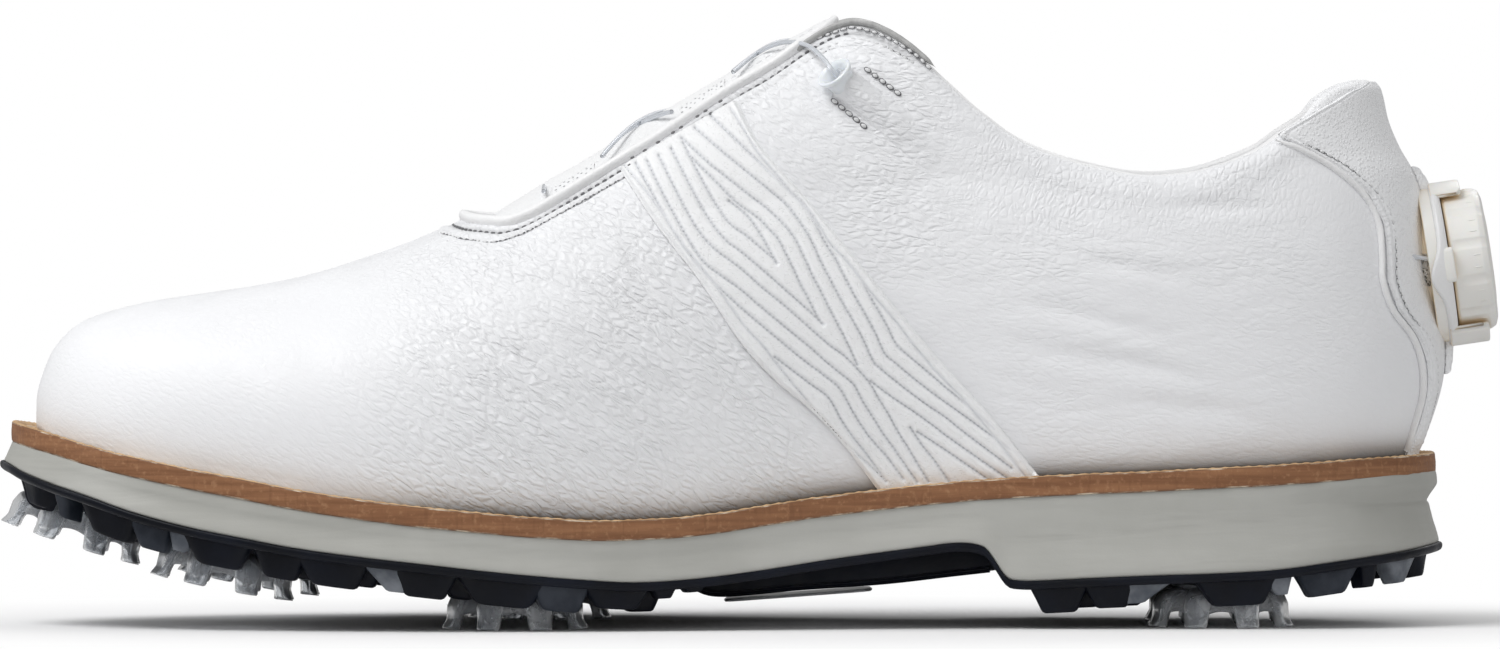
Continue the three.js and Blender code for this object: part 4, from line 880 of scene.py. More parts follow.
def quilted_leather():
    m = Mat("quilted_leather", (0.87, 0.873, 0.884), 0.56, Specular_IOR_Level=0.35,
            Sheen_Weight=0.08, Sheen_Roughness=0.5)
    cells = m.ramp(m.voronoi(1900, vec=m.warp(900, 0.0004)), span=(0.05, 0.42))
    fine = m.noise(3200, detail=2, rough=0.6)
    m.bump(m.plus(cells, m.times(fine, 0.8)), 0.00010, 0.9)
    groove, hole = m.attribute("groove"), m.attribute("hole")
    tone = m.mix(m.ramp(m.noise(45, detail=3), MIDDLE),
                 low=(0.91, 0.915, 0.925), high=(0.935, 0.94, 0.95))
    # Painted shade along the quilting grooves and in the needle holes
    tone = m.mix(m.times(groove, 0.42), low=tone, high=(0.60, 0.615, 0.66))
    tone = m.mix(m.times(hole, 0.46), low=tone, high=(0.36, 0.37, 0.40))
    m.set(Base_Color=tone, Roughness=m.ramp(fine, MIDDLE, to=(0.5, 0.64)))
    return m


def lining_knit():
    m = Mat("lining_knit", (0.82, 0.82, 0.825), 0.85, Sheen_Weight=0.25, Sheen_Roughness=0.6)
    ribs = [m.wave(420.0, distortion=1.2, vec=m.warp(300, 0.0006), direction=axis)
            for axis in "ZX"]
    knit = m.times(*ribs)
    return m.surface(knit, 0.00022, 0.8, knit, (0.70, 0.705, 0.715), (0.85, 0.852, 0.858))


def tongue_microfibre():
    m = Mat("tongue_microfibre", (0.87, 0.873, 0.88), 0.7, Sheen_Weight=0.2,
            Sheen_Roughness=0.5)
    cells = m.ramp(m.voronoi(1700, vec=m.warp(700, 0.0005)), span=(0.05, 0.45))
    return m.surface(m.plus(cells, m.noise(2600, detail=3)), 0.00009, 0.8,
                     m.noise(50, detail=3), (0.84, 0.845, 0.852), (0.89, 0.892, 0.898))


def thread_white():
    m = Mat("thread_white", (0.83, 0.835, 0.84), 0.6, Sheen_Weight=0.2)
    twist = m.wave(1500.0, distortion=0.5, vec=m.stretch((1, 1, 1), (0, 0.6, 0.5)))
    return m.surface(twist, 0.00005, 0.7, twist, (0.74, 0.745, 0.755), (0.86, 0.862, 0.868))


def thread_tan():
    m = Mat("thread_tan", (0.62, 0.50, 0.36), 0.65)
    grain = m.noise(900, detail=3)
    return m.surface(grain, 0.0001, 0.6, grain, (0.40, 0.28, 0.17), (0.78, 0.70, 0.58))


def stitch_shadow():
    m = Mat("stitch_shadow", (0.16, 0.16, 0.17), 0.8)
    grain = m.noise(1500, detail=3)
    return m.surface(grain, 0.00008, 0.6, grain, (0.075, 0.075, 0.08), (0.25, 0.25, 0.26))


def cut_edge():
    m = Mat("cut_edge.001", (0.46, 0.46, 0.46), 0.7)
    grain = m.noise(900, detail=4, rough=0.6, vec=m.stretch((1, 1, 0.3)))
    return m.surface(grain, 0.0001, 0.5, grain, (0.27, 0.27, 0.27), (0.62, 0.62, 0.61))


def lace_cord():
    m = Mat("lace_cord", (0.74, 0.77, 0.81), 0.28, Coat_Weight=0.5, Coat_Roughness=0.15,
            Metallic=0.25)
    twist = m.wave(1300.0, distortion=0.3, vec=m.stretch((1, 1, 1), (0.5, 0.7, 0.3)))
    return m.surface(twist, 0.00008, 0.8, twist, (0.60, 0.64, 0.70), (0.84, 0.86, 0.89))


def guide_webbing():
    m = Mat("guide_webbing", (0.84, 0.85, 0.86), 0.75, Sheen_Weight=0.3)
    dots = m.ramp(m.voronoi(1150, randomness=0.25), span=(0.18, 0.34))
    weave = m.plus(dots, m.times(m.noise(2000, detail=2), 0.3))
    return m.surface(weave, 0.00028, 0.9, dots, (0.36, 0.37, 0.38), (0.87, 0.875, 0.885))


def footbed_fabric():
    m = Mat("footbed_fabric", (0.78, 0.785, 0.79), 0.9, Sheen_Weight=0.35)
    weave = m.math("MAXIMUM", *[m.wave(330.0, distortion=0.6, direction=axis)
                                for axis in "XY"])
    return m.surface(weave, 0.0003, 0.8, weave, (0.66, 0.67, 0.68), (0.82, 0.825, 0.83))


# ------------------------------------------------------------------ sole materials
def welt_leather():
    """Tan leather, darker and redder on its cut side, paler on top."""
    m = Mat("welt_leather", (0.42, 0.20, 0.075), 0.62, Specular_IOR_Level=0.35)
    streak = m.noise(210, detail=5, rough=0.6, distortion=0.3,
                     vec=m.stretch((0.18, 0.18, 3.2)))
    speck = m.noise(900, detail=3, rough=0.6)
    facing = m.node("ShaderNodeNewGeometry").outputs["Normal"]
    up = m.node("ShaderNodeSeparateXYZ", {0: facing}).outputs[2]
    side = m.mix(m.ramp(streak, MIDDLE), low=(0.205, 0.088, 0.038), high=(0.315, 0.148, 0.068))
    side = m.mix(m.times(m.ramp(speck, span=(0.5, 0.75)), 0.40),
                 low=side, high=(0.50, 0.28, 0.15))
    tick = m.noise(620, detail=2, rough=0.5, vec=m.stretch((1.6, 1.6, 0.25)))
    side = m.mix(m.times(m.ramp(tick, span=(0.56, 0.72)), 0.35),
                 low=side, high=(0.16, 0.065, 0.028))
    top = m.mix(m.ramp(m.noise(140, detail=4), NARROW),
                low=(0.42, 0.25, 0.12), high=(0.62, 0.42, 0.23))
    return m.surface(m.plus(m.times(streak, 0.8), m.times(speck, 0.4)), 0.00022, 0.8,
                     m.ramp(up, span=(0.25, 0.75)), side, top,
                     Roughness=m.ramp(speck, MIDDLE, to=(0.5, 0.72)))


def welt_line():
    m = Mat("welt_line", (0.78, 0.72, 0.62), 0.55)
    grain = m.noise(260, detail=4)
    return m.surface(grain, 0.0001, 0.6, m.ramp(grain, span=(0.45, 0.68)),
                     (0.20, 0.095, 0.045), (0.66, 0.55, 0.42))


def midsole_foam():
    """Matte warm-grey skin with long shallow wrinkles."""
    m = Mat("midsole_foam", (0.40, 0.40, 0.375), 0.58, Specular_IOR_Level=0.4)
    wide = m.noise(70, detail=3, rough=0.5, distortion=0.3, vec=m.stretch(
        (0.22, 0.22, 2.0), (0, math.radians(4), 0), m.warp(30, 0.004)))
    close = m.noise(330, detail=3, rough=0.6, distortion=0.4,
                    vec=m.stretch((0.16, 0.16, 1.3)))
    wrinkles = m.plus(m.times(m.ramp(wide, span=(0.40, 0.60)), 0.9), m.times(close, 0.45))
    height = m.plus(wrinkles, m.times(m.noise(2200, detail=2), 0.18))
    return m.surface(height, 0.00018, 0.55, m.ramp(m.noise(30, detail=4), NARROW),
                     (0.385, 0.385, 0.358), (0.435, 0.435, 0.408),
                     Roughness=m.ramp(close, MIDDLE, to=(0.50, 0.68)))


def outsole_rubber():
    m = Mat("outsole_rubber", (0.004, 0.006, 0.012), 0.34, Specular_IOR_Level=0.16)
    fine = m.noise(1600, detail=3, rough=0.6)
    height = m.plus(fine, m.times(m.noise(260, detail=3), 0.5))
    return m.surface(height, 0.00008, 0.6, m.ramp(m.noise(60, detail=3), span=(0.35, 0.7)),
                     (0.0022, 0.003, 0.006), (0.005, 0.007, 0.014),
                     Roughness=m.ramp(m.noise(240, detail=3), MIDDLE, to=(0.30, 0.50)))


def tread_rubber(low, high):
    # Lighter copies of the outsole rubber: painted highlight for blocks whose faces catch the light
    m = Mat("outsole_rubber_painted_highlight", (0.10, 0.11, 0.125), 0.45, Specular_IOR_Level=0.2)
    return m.surface(m.noise(1400, detail=3, rough=0.6), 0.00008, 0.6,
                     m.ramp(m.noise(120, detail=4), NARROW), low, high)


def cleat_plastic():
    """Smoky clear moulded plastic."""
    m = Mat("cleat_plastic", (0.80, 0.83, 0.87), 0.12, IOR=1.34, Transmission_Weight=0.72,
            Specular_IOR_Level=0.6)
    cloud = m.noise(190, detail=3, rough=0.55, distortion=0.4)
    height = m.plus(cloud, m.times(m.noise(900, detail=2), 0.2))
    return m.surface(height, 0.00016, 0.4, m.ramp(cloud, MIDDLE),
                     (0.55, 0.58, 0.62), (0.90, 0.92, 0.94),
                     Roughness=m.ramp(m.noise(420, detail=3), MIDDLE, to=(0.10, 0.28)))


def cleat_hub():
    m = Mat("cleat_hub", (0.30, 0.32, 0.35), 0.3, Transmission_Weight=0.35, IOR=1.49)
    return m.surface(m.noise(700, detail=2), 0.0001, 0.5, m.noise(300, detail=3),
                     (0.22, 0.235, 0.26), (0.42, 0.44, 0.47))


def seat_nylon():
    m = Mat("seat_nylon", (0.03, 0.032, 0.038), 0.5)
    return m.surface(m.noise(1200, detail=3), 0.0001, 0.6, m.noise(220, detail=3),
                     (0.02, 0.022, 0.028), (0.05, 0.053, 0.06))


def badge_plastic():
    m = Mat("badge_plastic", (0.55, 0.56, 0.58), 0.3, Coat_Weight=0.4)
    return m.surface(m.noise(600, detail=2), 0.00008, 0.5, m.noise(90, detail=3),
                     (0.50, 0.51, 0.53), (0.62, 0.63, 0.65))


def cork():
    m = Mat("cork", (0.45, 0.29, 0.15), 0.85)
    cells = m.voronoi(620)
    return m.surface(cells, 0.0004, 0.8, m.ramp(cells, span=(0.1, 0.5)),
                     (0.30, 0.17, 0.08), (0.58, 0.40, 0.22))


def fibre_board():
    m = Mat("fibre_board", (0.6, 0.55, 0.46), 0.85)
    fibres = m.noise(800, detail=4, rough=0.6, distortion=0.2, vec=m.stretch((0.3, 1, 1)))
    return m.surface(fibres, 0.0002, 0.7, m.ramp(fibres, MIDDLE),
                     (0.50, 0.45, 0.37), (0.68, 0.63, 0.54))


# ------------------------------------------------------------------ dial materials
def dial_plastic():
    """Ivory plastic, with amber shade painted into its crevices."""
    m = Mat("dial_plastic", (0.90, 0.885, 0.84), 0.34, Subsurface_Weight=0.12,
            Subsurface_Radius=(0.004, 0.003, 0.002), Specular_IOR_Level=0.5)
    height = m.plus(m.noise(1500, detail=2, rough=0.6),
                    m.times(m.noise(120, detail=2), 0.6))
    # Painted shade: amber where ambient occlusion finds crevices
    open_air = m.node("ShaderNodeAmbientOcclusion", {"Distance": 0.004}, samples=6)
    crevice_shade = m.inverse(m.ramp(open_air.outputs["AO"], span=(0.1, 0.75), kind="LINEAR"))
    ivory = m.mix(m.ramp(m.noise(60, detail=3), MIDDLE),
                  low=(0.88, 0.872, 0.835), high=(0.915, 0.905, 0.87))
    return m.surface(height, 0.00004, 0.5, m.times(crevice_shade, 0.85), ivory, (0.80, 0.60, 0.34),
                     Roughness=m.ramp(m.noise(500, detail=3), MIDDLE, to=(0.28, 0.42)))


def ferrule_plastic():
    m = Mat("ferrule_plastic", (0.86, 0.89, 0.92), 0.22, Subsurface_Weight=0.15,
            Subsurface_Radius=(0.002, 0.002, 0.003), Coat_Weight=0.3, Coat_Roughness=0.1)
    return m.surface(m.noise(900, detail=2), 0.00003, 0.4, m.noise(260, detail=2),
                     (0.80, 0.85, 0.89), (0.90, 0.92, 0.94))


def steel_brushed():
    m = Mat("steel_brushed", (0.55, 0.56, 0.58), 0.32, Metallic=1.0)
    brush = m.noise(1500, detail=3, rough=0.6, vec=m.stretch((1, 1, 0.1)))
    return m.surface(brush, 0.00004, 0.6, brush, (0.48, 0.49, 0.51), (0.62, 0.63, 0.65),
                     Roughness=m.ramp(brush, MIDDLE, to=(0.22, 0.42)))


WHITE_LEATHER = leather("white_leather", (0.90, 0.906, 0.925), cell=780.0, depth=0.00018,
                        rough=0.46, milled=True)
FINE_LEATHER = leather("fine_leather", (0.93, 0.935, 0.95), cell=1500.0, depth=0.00010,
                       rough=0.52)
PIPING = leather("piping_leather", (0.895, 0.895, 0.90), cell=1500.0, depth=0.00003, rough=0.42)
QUILTED, KNIT, MICROFIBRE = quilted_leather(), lining_knit(), tongue_microfibre()
THREAD, WELT, MIDSOLE, RUBBER = thread_white(), welt_leather(), midsole_foam(), outsole_rubber()
RUBBER_PAINTED_HIGHLIGHT_PALE = tread_rubber(low=(0.085, 0.096, 0.115), high=(0.20, 0.215, 0.24))
RUBBER_PAINTED_HIGHLIGHT_GREY = tread_rubber(low=(0.014, 0.018, 0.027), high=(0.036, 0.042, 0.055))
CLEAT, HUB, SEAT = cleat_plastic(), cleat_hub(), seat_nylon()
DIAL, FERRULE, LACE, WEBBING = dial_plastic(), ferrule_plastic(), lace_cord(), guide_webbing()
STEEL, CORK, BOARD, FOOTBED = steel_brushed(), cork(), fibre_board(), footbed_fabric()
BADGE, TAN_THREAD, WELT_LINE = badge_plastic(), thread_tan(), welt_line()
SHADOW, CUT_EDGE = stitch_shadow(), cut_edge()


def dress(name, mat):
    """Gives a CAD piece its material, where the frame has that piece."""
    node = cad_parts.get(name)
    if node is not None:
        node.data.materials.clear()
        node.data.materials.append(mat.material)


# ------------------------------------------------------------------ sole
NP = len(PLAN)
PLAN_X, PLAN_Y = PLAN[:, 0], PLAN[:, 1]
PLAN_FLAT = np.stack([PLAN_X, PLAN_Y, PLAN_X * 0], 1)
toe_share = smooth((-118 - PLAN_X) / 26)


def ring_points(inset, height):
    """The plan outline, inset, at a height that is a function of x."""
    p = PLAN + PLAN_IN * np.asarray(inset)[..., None]
    return np.stack([p[:, 0], p[:, 1], height(p[:, 0])], 1)


def sole_plate(inset, top, bottom, nx, ny):
    """A closed slab under the foot, between two height functions of x."""
    o = outline(inset)
    start, end = o["xmin"] + 0.02, o["xmax"] - 0.02
    x = start + (end - start) * (0.5 - 0.5 * np.cos(np.linspace(0, math.pi, nx)))
    medial, lateral = o["med"](x)[:, None], o["lat"](x)[:, None]
    X = np.repeat(x[:, None], ny, 1)
    Y = medial + (lateral - medial) * np.linspace(0, 1, ny)
    layers = [np.stack([X, Y, np.repeat(f(x)[:, None], ny, 1)], -1) for f in (top, bottom)]
    return two_layers(*layers), slab_faces(nx, ny)


# Welt section: inset from the outline, z above welt_top. It starts at the inner top,
# goes out past the stitched groove, down the cut edge and back in underneath.
WELT_PROFILE = [
    (9.4, -0.3), (6.5, -0.3), (4.8, -0.28), (4.1, -0.2), (3.7, -0.22), (3.35, -0.3),
    (3.0, -0.5), (2.4, -0.62), (1.8, -0.42), (1.45, 0.0), (1.0, 0.22), (0.5, 0.28),
    (0.2, 0.22), (0.03, 0.08), (-0.04, -0.14), (-0.06, -0.9), (-0.08, -1.7), (-0.07, -2.5),
    (-0.05, -3.3), (-0.02, -3.6), (0.14, -3.84), (0.5, -3.9), (9.4, -3.4)]
WELT_PALE_BANDS = (13, 19, 20)  # profile spans at the corners of the cut edge
WELT_PITCH = 2.35
WELT_STITCH_INSET = 2.4


def build_welt():
    columns = []
    for inset, z in WELT_PROFILE:
        at = np.stack([PLAN_X, PLAN_Y, np.full(NP, z * 1.5)], 1)
        rough = smooth((1.2 - inset) / 1.2) * 0.10 * value_noise(at, 3.2, 3)
        columns.append(ring_points(inset + rough, lambda x: welt_top(x) + z + 0.05 * value_noise(
            np.stack([x, PLAN_Y, PLAN_X * 0], 1), 4.0, 4)))
    grid = np.stack(columns, 1)
    # Ripples pressed across the stitched shelf at the stitch pitch
    along = arc_lengths(np.vstack([PLAN, PLAN[:1]]))[:-1]
    ripple = 0.5 + 0.5 * np.cos(along / WELT_PITCH * 2 * math.pi)
    for k, (inset, z) in enumerate(WELT_PROFILE):
        if 0.15 < inset < 3.4 and z > -0.6:
            fade = smooth((3.4 - inset) / 1.2) * smooth((inset + 0.1) / 0.5)
            grid[:, k, 2] += 0.20 * ripple * fade - 0.10
    size = len(WELT_PROFILE)
    faces = grid_faces(NP, size, True, True)
    index = [int(k % size in WELT_PALE_BANDS) for k in range(len(faces))]
    add("welt_skin", grid, faces, [WELT, WELT_LINE], replaces=["welt"], slot="welt_leather",
        mat_index=index)
    row = Pieces()
    line = ring_points(WELT_STITCH_INSET, lambda x: welt_top(x) - 0.52)
    line = resample(np.vstack([line, line[:1]]), 2400)
    stitch_row(row, line, upward(len(line)), WELT_PITCH, wide=0.85, high=0.62, fill=0.86,
               slant=0.10)
    row.add("welt_stitches", TAN_THREAD)


def midsole_top(x):
    return welt_top(x) - WELT_THICKNESS


def build_midsole():
    """A wall waisted round the heel, flared at the toe, faintly wrinkled."""
    heel_share = smooth((PLAN_X - 104) / 30)
    columns = [ring_points(9.0, midsole_top)]
    for v in np.linspace(0, 1, 44):
        side = (0.35 + (0.1 - 0.35) * smooth(v / 0.35)
                + (-1.25 - 0.1) * smooth((v - 0.35) / 0.65) ** 1.15)
        inset = side * (1 - toe_share) + (0.2 - 1.9 * v) * toe_share
        top, bottom = midsole_top(PLAN_X), midsole_bottom(PLAN_X) - 0.02
        z = top + (bottom - top) * v
        # The heel steps in softly to a crease, then flares straight to the bottom edge
        waist = np.where(z > 24.9, smooth((28.6 - z) / 3.7),
                         np.clip((z - 16.4) / 8.5, 0, 1) ** 0.9)
        inset = (inset * (1 - heel_share * 0.6) + heel_share * (1.95 * waist - 0.5)
                 + 0.25 * heel_share * bell(z - 24.9, 0.35))
        rounding = 0.35 * (np.exp(-(v / 0.035)) + np.exp(-((1 - v) / 0.03)))
        at = np.stack([PLAN_X, PLAN_Y, z], 1)
        wrinkle = sum(depth * value_noise(at / np.array([wide, wide, high]), 1.0, seed)
                      for depth, wide, high, seed in
                      ((0.06, 12, 1.6, 21), (0.03, 6, 0.8, 22), (0.10, 26, 4.0, 23)))
        wrinkle = wrinkle * smooth(v / 0.05) * smooth((1 - v) / 0.05)
        columns.append(ring_points(inset + rounding + wrinkle, lambda x: midsole_top(x) + (
            midsole_bottom(x) - 0.02 - midsole_top(x)) * v))
    columns.append(ring_points(9.0, lambda x: midsole_bottom(x) - 0.02))
    add("midsole_skin", np.stack(columns, 1), grid_faces(NP, len(columns), True, True),
        MIDSOLE, replaces=["midsole"], slot="midsole_foam")
    core = sole_plate(8.6, lambda x: midsole_top(x) - 0.4, lambda x: midsole_bottom(x) + 0.3,
                      nx=90, ny=12)
    add("midsole_core", *core, MIDSOLE)


# Outsole rim section: inset, z below the midsole
OUTSOLE_RIM = [
    (8.0, 0.0), (1.2, -0.02), (-0.2, -0.02), (-0.95, -0.03), (-1.28, -0.16), (-1.46, -0.42),
    (-1.5, -0.8), (-1.42, -1.2), (-1.2, -1.55), (-0.85, -1.76), (-0.3, -1.82), (1.5, -1.8),
    (8.0, -1.8)]
BRIDGE_Y = (-17, 15)
BRIDGE_BULGE = 1.6  # rise of the bridge's underside at its two sides
# Lines along the bridge: x, z
BRIDGE_UNDERSIDE = [[-14, 8.0], [-6, 5.7], [10, 7.0], [26.8, 8.2], [40, 9.7], [49.6, 10.9]]
BRIDGE_RIB = [[-12, 7.6], [-6, 5.9], [10, 7.2], [26.8, 8.4], [40, 9.9], [48, 10.8]]


def under(x):
    return midsole_bottom(x) - RIM_THICKNESS


def build_outsole():
    columns = []
    for inset, z in OUTSOLE_RIM:
        flare = 0.9 if inset < 1.3 else 0.3 * (inset < 5)
        at = inset - toe_share * flare + 0.05 * value_noise(PLAN_FLAT, 5.0, 8)
        columns.append(ring_points(at, lambda x: midsole_bottom(x) + z))
    add("outsole_rim", np.stack(columns, 1), grid_faces(NP, len(columns), True, True), RUBBER,
        replaces=["outsole"], slot="outsole_rubber")
    verts, faces = sole_plate(7.0, lambda x: midsole_bottom(x) - 0.9,
                              lambda x: under(x) + 0.05, nx=190, ny=40)
    lower = verts[:, 2] < midsole_bottom(verts[:, 0]) - 1.2
    verts[:, 2] += np.where(lower, 0.14 * value_noise(verts, 9.0, 9), 0)
    add("outsole_plate", verts, faces, RUBBER)


def build_bridge():
    """The waist bridge and four ribs along it."""
    n, ny = 60, 10
    x, z = curve(BRIDGE_UNDERSIDE, n).T
    y0, y1 = BRIDGE_Y
    across = np.linspace(0, 1, ny)
    y_at = lambda k: np.full(n, y0 + (y1 - y0) * k)
    lower = np.stack([np.stack([x, y_at(k), z + BRIDGE_BULGE * (abs(2 * k - 1) ** 4)], 1)
                      for k in across], 1)
    upper = np.stack([np.stack([x, y_at(k), midsole_bottom(x) - 0.9], 1) for k in across], 1)
    bridge = add("outsole_bridge", two_layers(upper, lower), slab_faces(n, ny), RUBBER)
    modify(bridge, "BEVEL", width=0.0007, segments=3, limit_method="ANGLE",
           angle_limit=math.radians(50))
    ribs = Pieces()
    x, z = curve(BRIDGE_RIB, n).T
    for y in (-14.2, -11.2, 9.6, 12.4):
        rise = BRIDGE_BULGE * abs(2 * (y - y0) / (y1 - y0) - 1) ** 4
        path = np.stack([x, np.full(n, y), z + rise], 1)
        ribs.put(*sweep(path, oval(0.55, 10, 0.5), upward(n)))
    ribs.add("outsole_bridge_ribs", RUBBER)


build_welt()
build_midsole()
build_outsole()
build_bridge()

# ------------------------------------------------------------------ tread
# Cleats: name, x, y, seat z (None: seated on the sloping sole and leaning with it)
CLEATS = [
    ("toe", -133.4, -6.0, None), ("fore_medial", -103.6, -25.6, None),
    ("fore_lateral", -99.5, 20.4, None), ("ball_medial", -46.8, -28.2, CLEAT_SEAT_Z),
    ("ball_lateral", -42.5, 29.6, CLEAT_SEAT_Z), ("heel_medial", 94, -15.4, CLEAT_SEAT_Z),
    ("heel_lateral", 94, 16.2, CLEAT_SEAT_Z)]
CLEAT_POCKET = 15.7
# Rim blocks: x, length, tone (d dark; g grey and p pale are painted highlight), foot lift, lean
RIM_LUGS = {
    "med": [
        (-141.3, 8, "d", 1.0, 0), (-135.6, 4, "g", 0.6, 0.2), (-126.6, 12.5, "d", 0, 0),
        (-118.6, 8.5, "g", 0.2, 0.1), (-111.6, 6.5, "p", 1.4, -0.35),
        (-105.6, 13.5, "d", 0, 0.05), (-93.1, 10, "d", 0, 0), (-82.8, 14, "d", 0, 0.08),
        (-71.6, 9.5, "p", 0.5, 0.22), (-64.5, 12.5, "d", 0, 0), (-49.2, 17, "d", 0, 0),
        (-38.0, 11.5, "g", 0, 0.05), (-26.8, 13, "d", 1.2, 0), (-17.5, 5, "d", 3.2, 0),
        (-11.5, 5, "d", 4.0, 0), (61.7, 11, "d", 0, 0), (71.6, 10, "d", 0.5, 0.1),
        (78.6, 10, "p", 1.2, -0.3), (97.1, 15.5, "d", 0, 0), (104.6, 6, "p", 1.5, 0.3),
        (114.6, 12, "g", 0.2, 0), (122.2, 4, "d", 0.6, 0), (128.6, 8.5, "p", 0.4, 0)],
    "lat": [
        (-137.5, 10, "d", 0.6, 0), (-128.5, 10, "d", 0, 0), (-118.6, 9, "g", 0.2, 0.1),
        (-107.5, 12.5, "d", 0, 0), (-95.2, 12, "d", 0, 0), (-84.9, 9, "p", 0.6, 0.25),
        (-76.8, 12, "d", 0, 0), (-63.5, 13, "d", 0, 0), (-50.2, 13.5, "d", 0, 0.05),
        (-40.6, 9, "p", 0.6, -0.3), (-33.0, 12, "d", 0, 0), (-20.8, 11, "d", 1.2, 0),
        (61.7, 11, "d", 0, 0), (72.6, 11, "d", 0, 0), (80.6, 8, "p", 1.2, -0.3),
        (97.1, 15.5, "d", 0, 0), (106.6, 6, "p", 1.3, 0.3), (115.4, 12, "g", 0.2, 0),
        (126.2, 9, "d", 0.4, 0)]}
# Inner blocks: x, y, direction x, direction y, length, width
INNER_LUGS = [
    (132.2, -9, 0.25, -0.97, 10, 5), (132.2, 9, 0.25, 0.97, 10, 5),
    (-118, -27, 0.9, 0.43, 8, 5), (-117, 13, 0.9, -0.43, 8, 5), (-101.5, -2.6, 0, 1, 9, 6),
    (-84, -12, 0.9, 0.43, 10, 6), (-82, 10, 0.9, -0.43, 10, 6), (-72, -27, 1, 0, 10, 6),
    (-70, 28, 1, 0, 10, 6), (-62, 0, 0, 1, 12, 6), (-44, 0, 0, 1, 12, 6),
    (-28, -14, 0.9, -0.43, 9, 5), (-26, 14, 0.9, 0.43, 9, 5), (-22, 30, 1, 0, 9, 5),
    (64, 0, 0, 1, 14, 6), (76, -14, 0.9, 0.43, 7, 5), (76, 16, 0.9, -0.43, 7, 5),
    (114, 0, 0, 1, 12, 6)]


def lug(cx, cy, tx, ty, long, wide, drop=0.0, taper=0.66, lean=0.0):
    """A tapered tread block with rounded corners and a slightly dished foot."""
    levels = [(0.0, 1.06), (0.12, 1.0), (0.5, 1 - (1 - taper) * 0.5), (0.86, taper + 0.03),
              (0.95, taper - 0.03), (1.0, taper - 0.12)]  # depth share, size
    size = 28
    section = [squircle(2 * math.pi * (q + 0.5) / size, 5.0) for q in range(size)]
    top = lambda x: under(x) + 0.7
    foot = lambda x: under(x) - LUG_HEIGHT + drop
    verts = []
    for depth, k in levels:
        for a, b in section:
            u = a * long * k / 2 + lean * long * (1 - k)
            v = b * wide * (0.5 + 0.5 * k) / 2
            x = cx + tx * u - ty * v
            verts.append((x, cy + ty * u + tx * v, top(x) + (foot(x) - top(x)) * depth))
    faces = grid_faces(len(levels), size, False, True).tolist()
    head, sole = len(verts), len(verts) + 1
    verts += [(cx, cy, float(top(cx))), (cx, cy, float(foot(cx)) + 0.25)]
    last = (len(levels) - 1) * size
    for q in range(size):
        after = (q + 1) % size
        faces.append([head, q, after])
        faces.append([sole, last + after, last + q])
    return np.array(verts, float), faces


def clear_pockets(verts):
    """Pushes tread points out of the cleats' round pockets."""
    for _, cx, cy, _ in CLEATS:
        away = verts[:, :2] - [cx, cy]
        far = np.linalg.norm(away, axis=1)
        k = far < CLEAT_POCKET
        reach = CLEAT_POCKET + 0.02 * far[k, None]
        verts[k, :2] = [cx, cy] + away[k] / np.maximum(far[k], 0.3)[:, None] * reach
    return verts


def put_lug(pieces, cx, cy, *shape, **options):
    if min(math.hypot(cx - x, cy - y) for _, x, y, _ in CLEATS) < 12.0:
        return
    verts, faces = lug(cx, cy, *shape, **options)
    verts = clear_pockets(verts)
    k = np.abs(verts[:, 0]) < 138
    limit = outline(0.35)
    low, high = limit["med"](verts[:, 0]), limit["lat"](verts[:, 0])
    verts[k, 1] = np.clip(verts[k, 1], low[k], high[k])
    pieces.put(verts, faces)


def build_tread():
    tones = {"d": Pieces(), "g": Pieces(), "p": Pieces()}
    for side, table in RIM_LUGS.items():
        line = outline(3.3)[side]
        for k, (x, long, tone, lift, lean) in enumerate(table):
            rise = float(line(x + 1.5)) - float(line(x - 1.5))
            span = math.hypot(3.0, rise)
            way = (3.0 / span, rise / span)
            put_lug(tones[tone], x, float(line(x)), *way, long * 1.06,
                    5.9 if tone == "d" else 5.5, drop=lift,
                    taper=0.42 if tone == "p" else 0.62, lean=lean)
            # An inner block stands behind each gap
            next_x = table[k + 1][0] if k + 1 < len(table) else 1e3
            if tone == "d" and 8 < long and next_x - x < 26:
                gap_x = (x + next_x) / 2
                if abs(gap_x) < 136:
                    gap_y = float(outline(11.0)[side](gap_x))
                    put_lug(tones["d"], gap_x, gap_y, *way, 9.5, 6.2, drop=0.5, taper=0.6)
    for place in INNER_LUGS:
        put_lug(tones["d"], *place, drop=0.8)
    tones["d"].add("tread_lugs", RUBBER)
    # Grey and pale blocks carry painted highlight
    tones["g"].add("tread_blocks_painted_highlight", RUBBER_PAINTED_HIGHLIGHT_GREY)
    tones["p"].add("tread_wedges", RUBBER_PAINTED_HIGHLIGHT_PALE)


def build_waist_plate():
    """A rounded tablet under the waist with a raised border."""
    n = 48
    levels = [(0.0, 1.0), (0.0, 0.97), (0.35, 1.0), (0.62, 0.985), (0.62, 0.93), (0.40, 0.91),
              (0.40, 0.2)]  # depth, size
    half_long, half_wide, centre_x, centre_y = 14.85, 8, 9.65, -1
    start_x = centre_x - half_long
    verts = []
    for depth, k in levels:
        for q in range(n):
            u, v = squircle(2 * math.pi * q / n, 7)
            x, y = centre_x + half_long * u * k, centre_y + half_wide * v * k
            verts.append((x, y, 5.15 + (x - start_x) * (2.2 / (2 * half_long)) - depth))
    faces = grid_faces(len(levels), n, False, True)[n:].tolist()
    faces.append([n + q for q in range(n)])
    faces.append([(len(levels) - 1) * n + q for q in range(n)][::-1])
    add("waist_plate", verts, faces, BADGE, replaces=["waist_badge"], slot="badge_plastic",
        smooth_shade=False)


build_tread()
build_waist_plate()

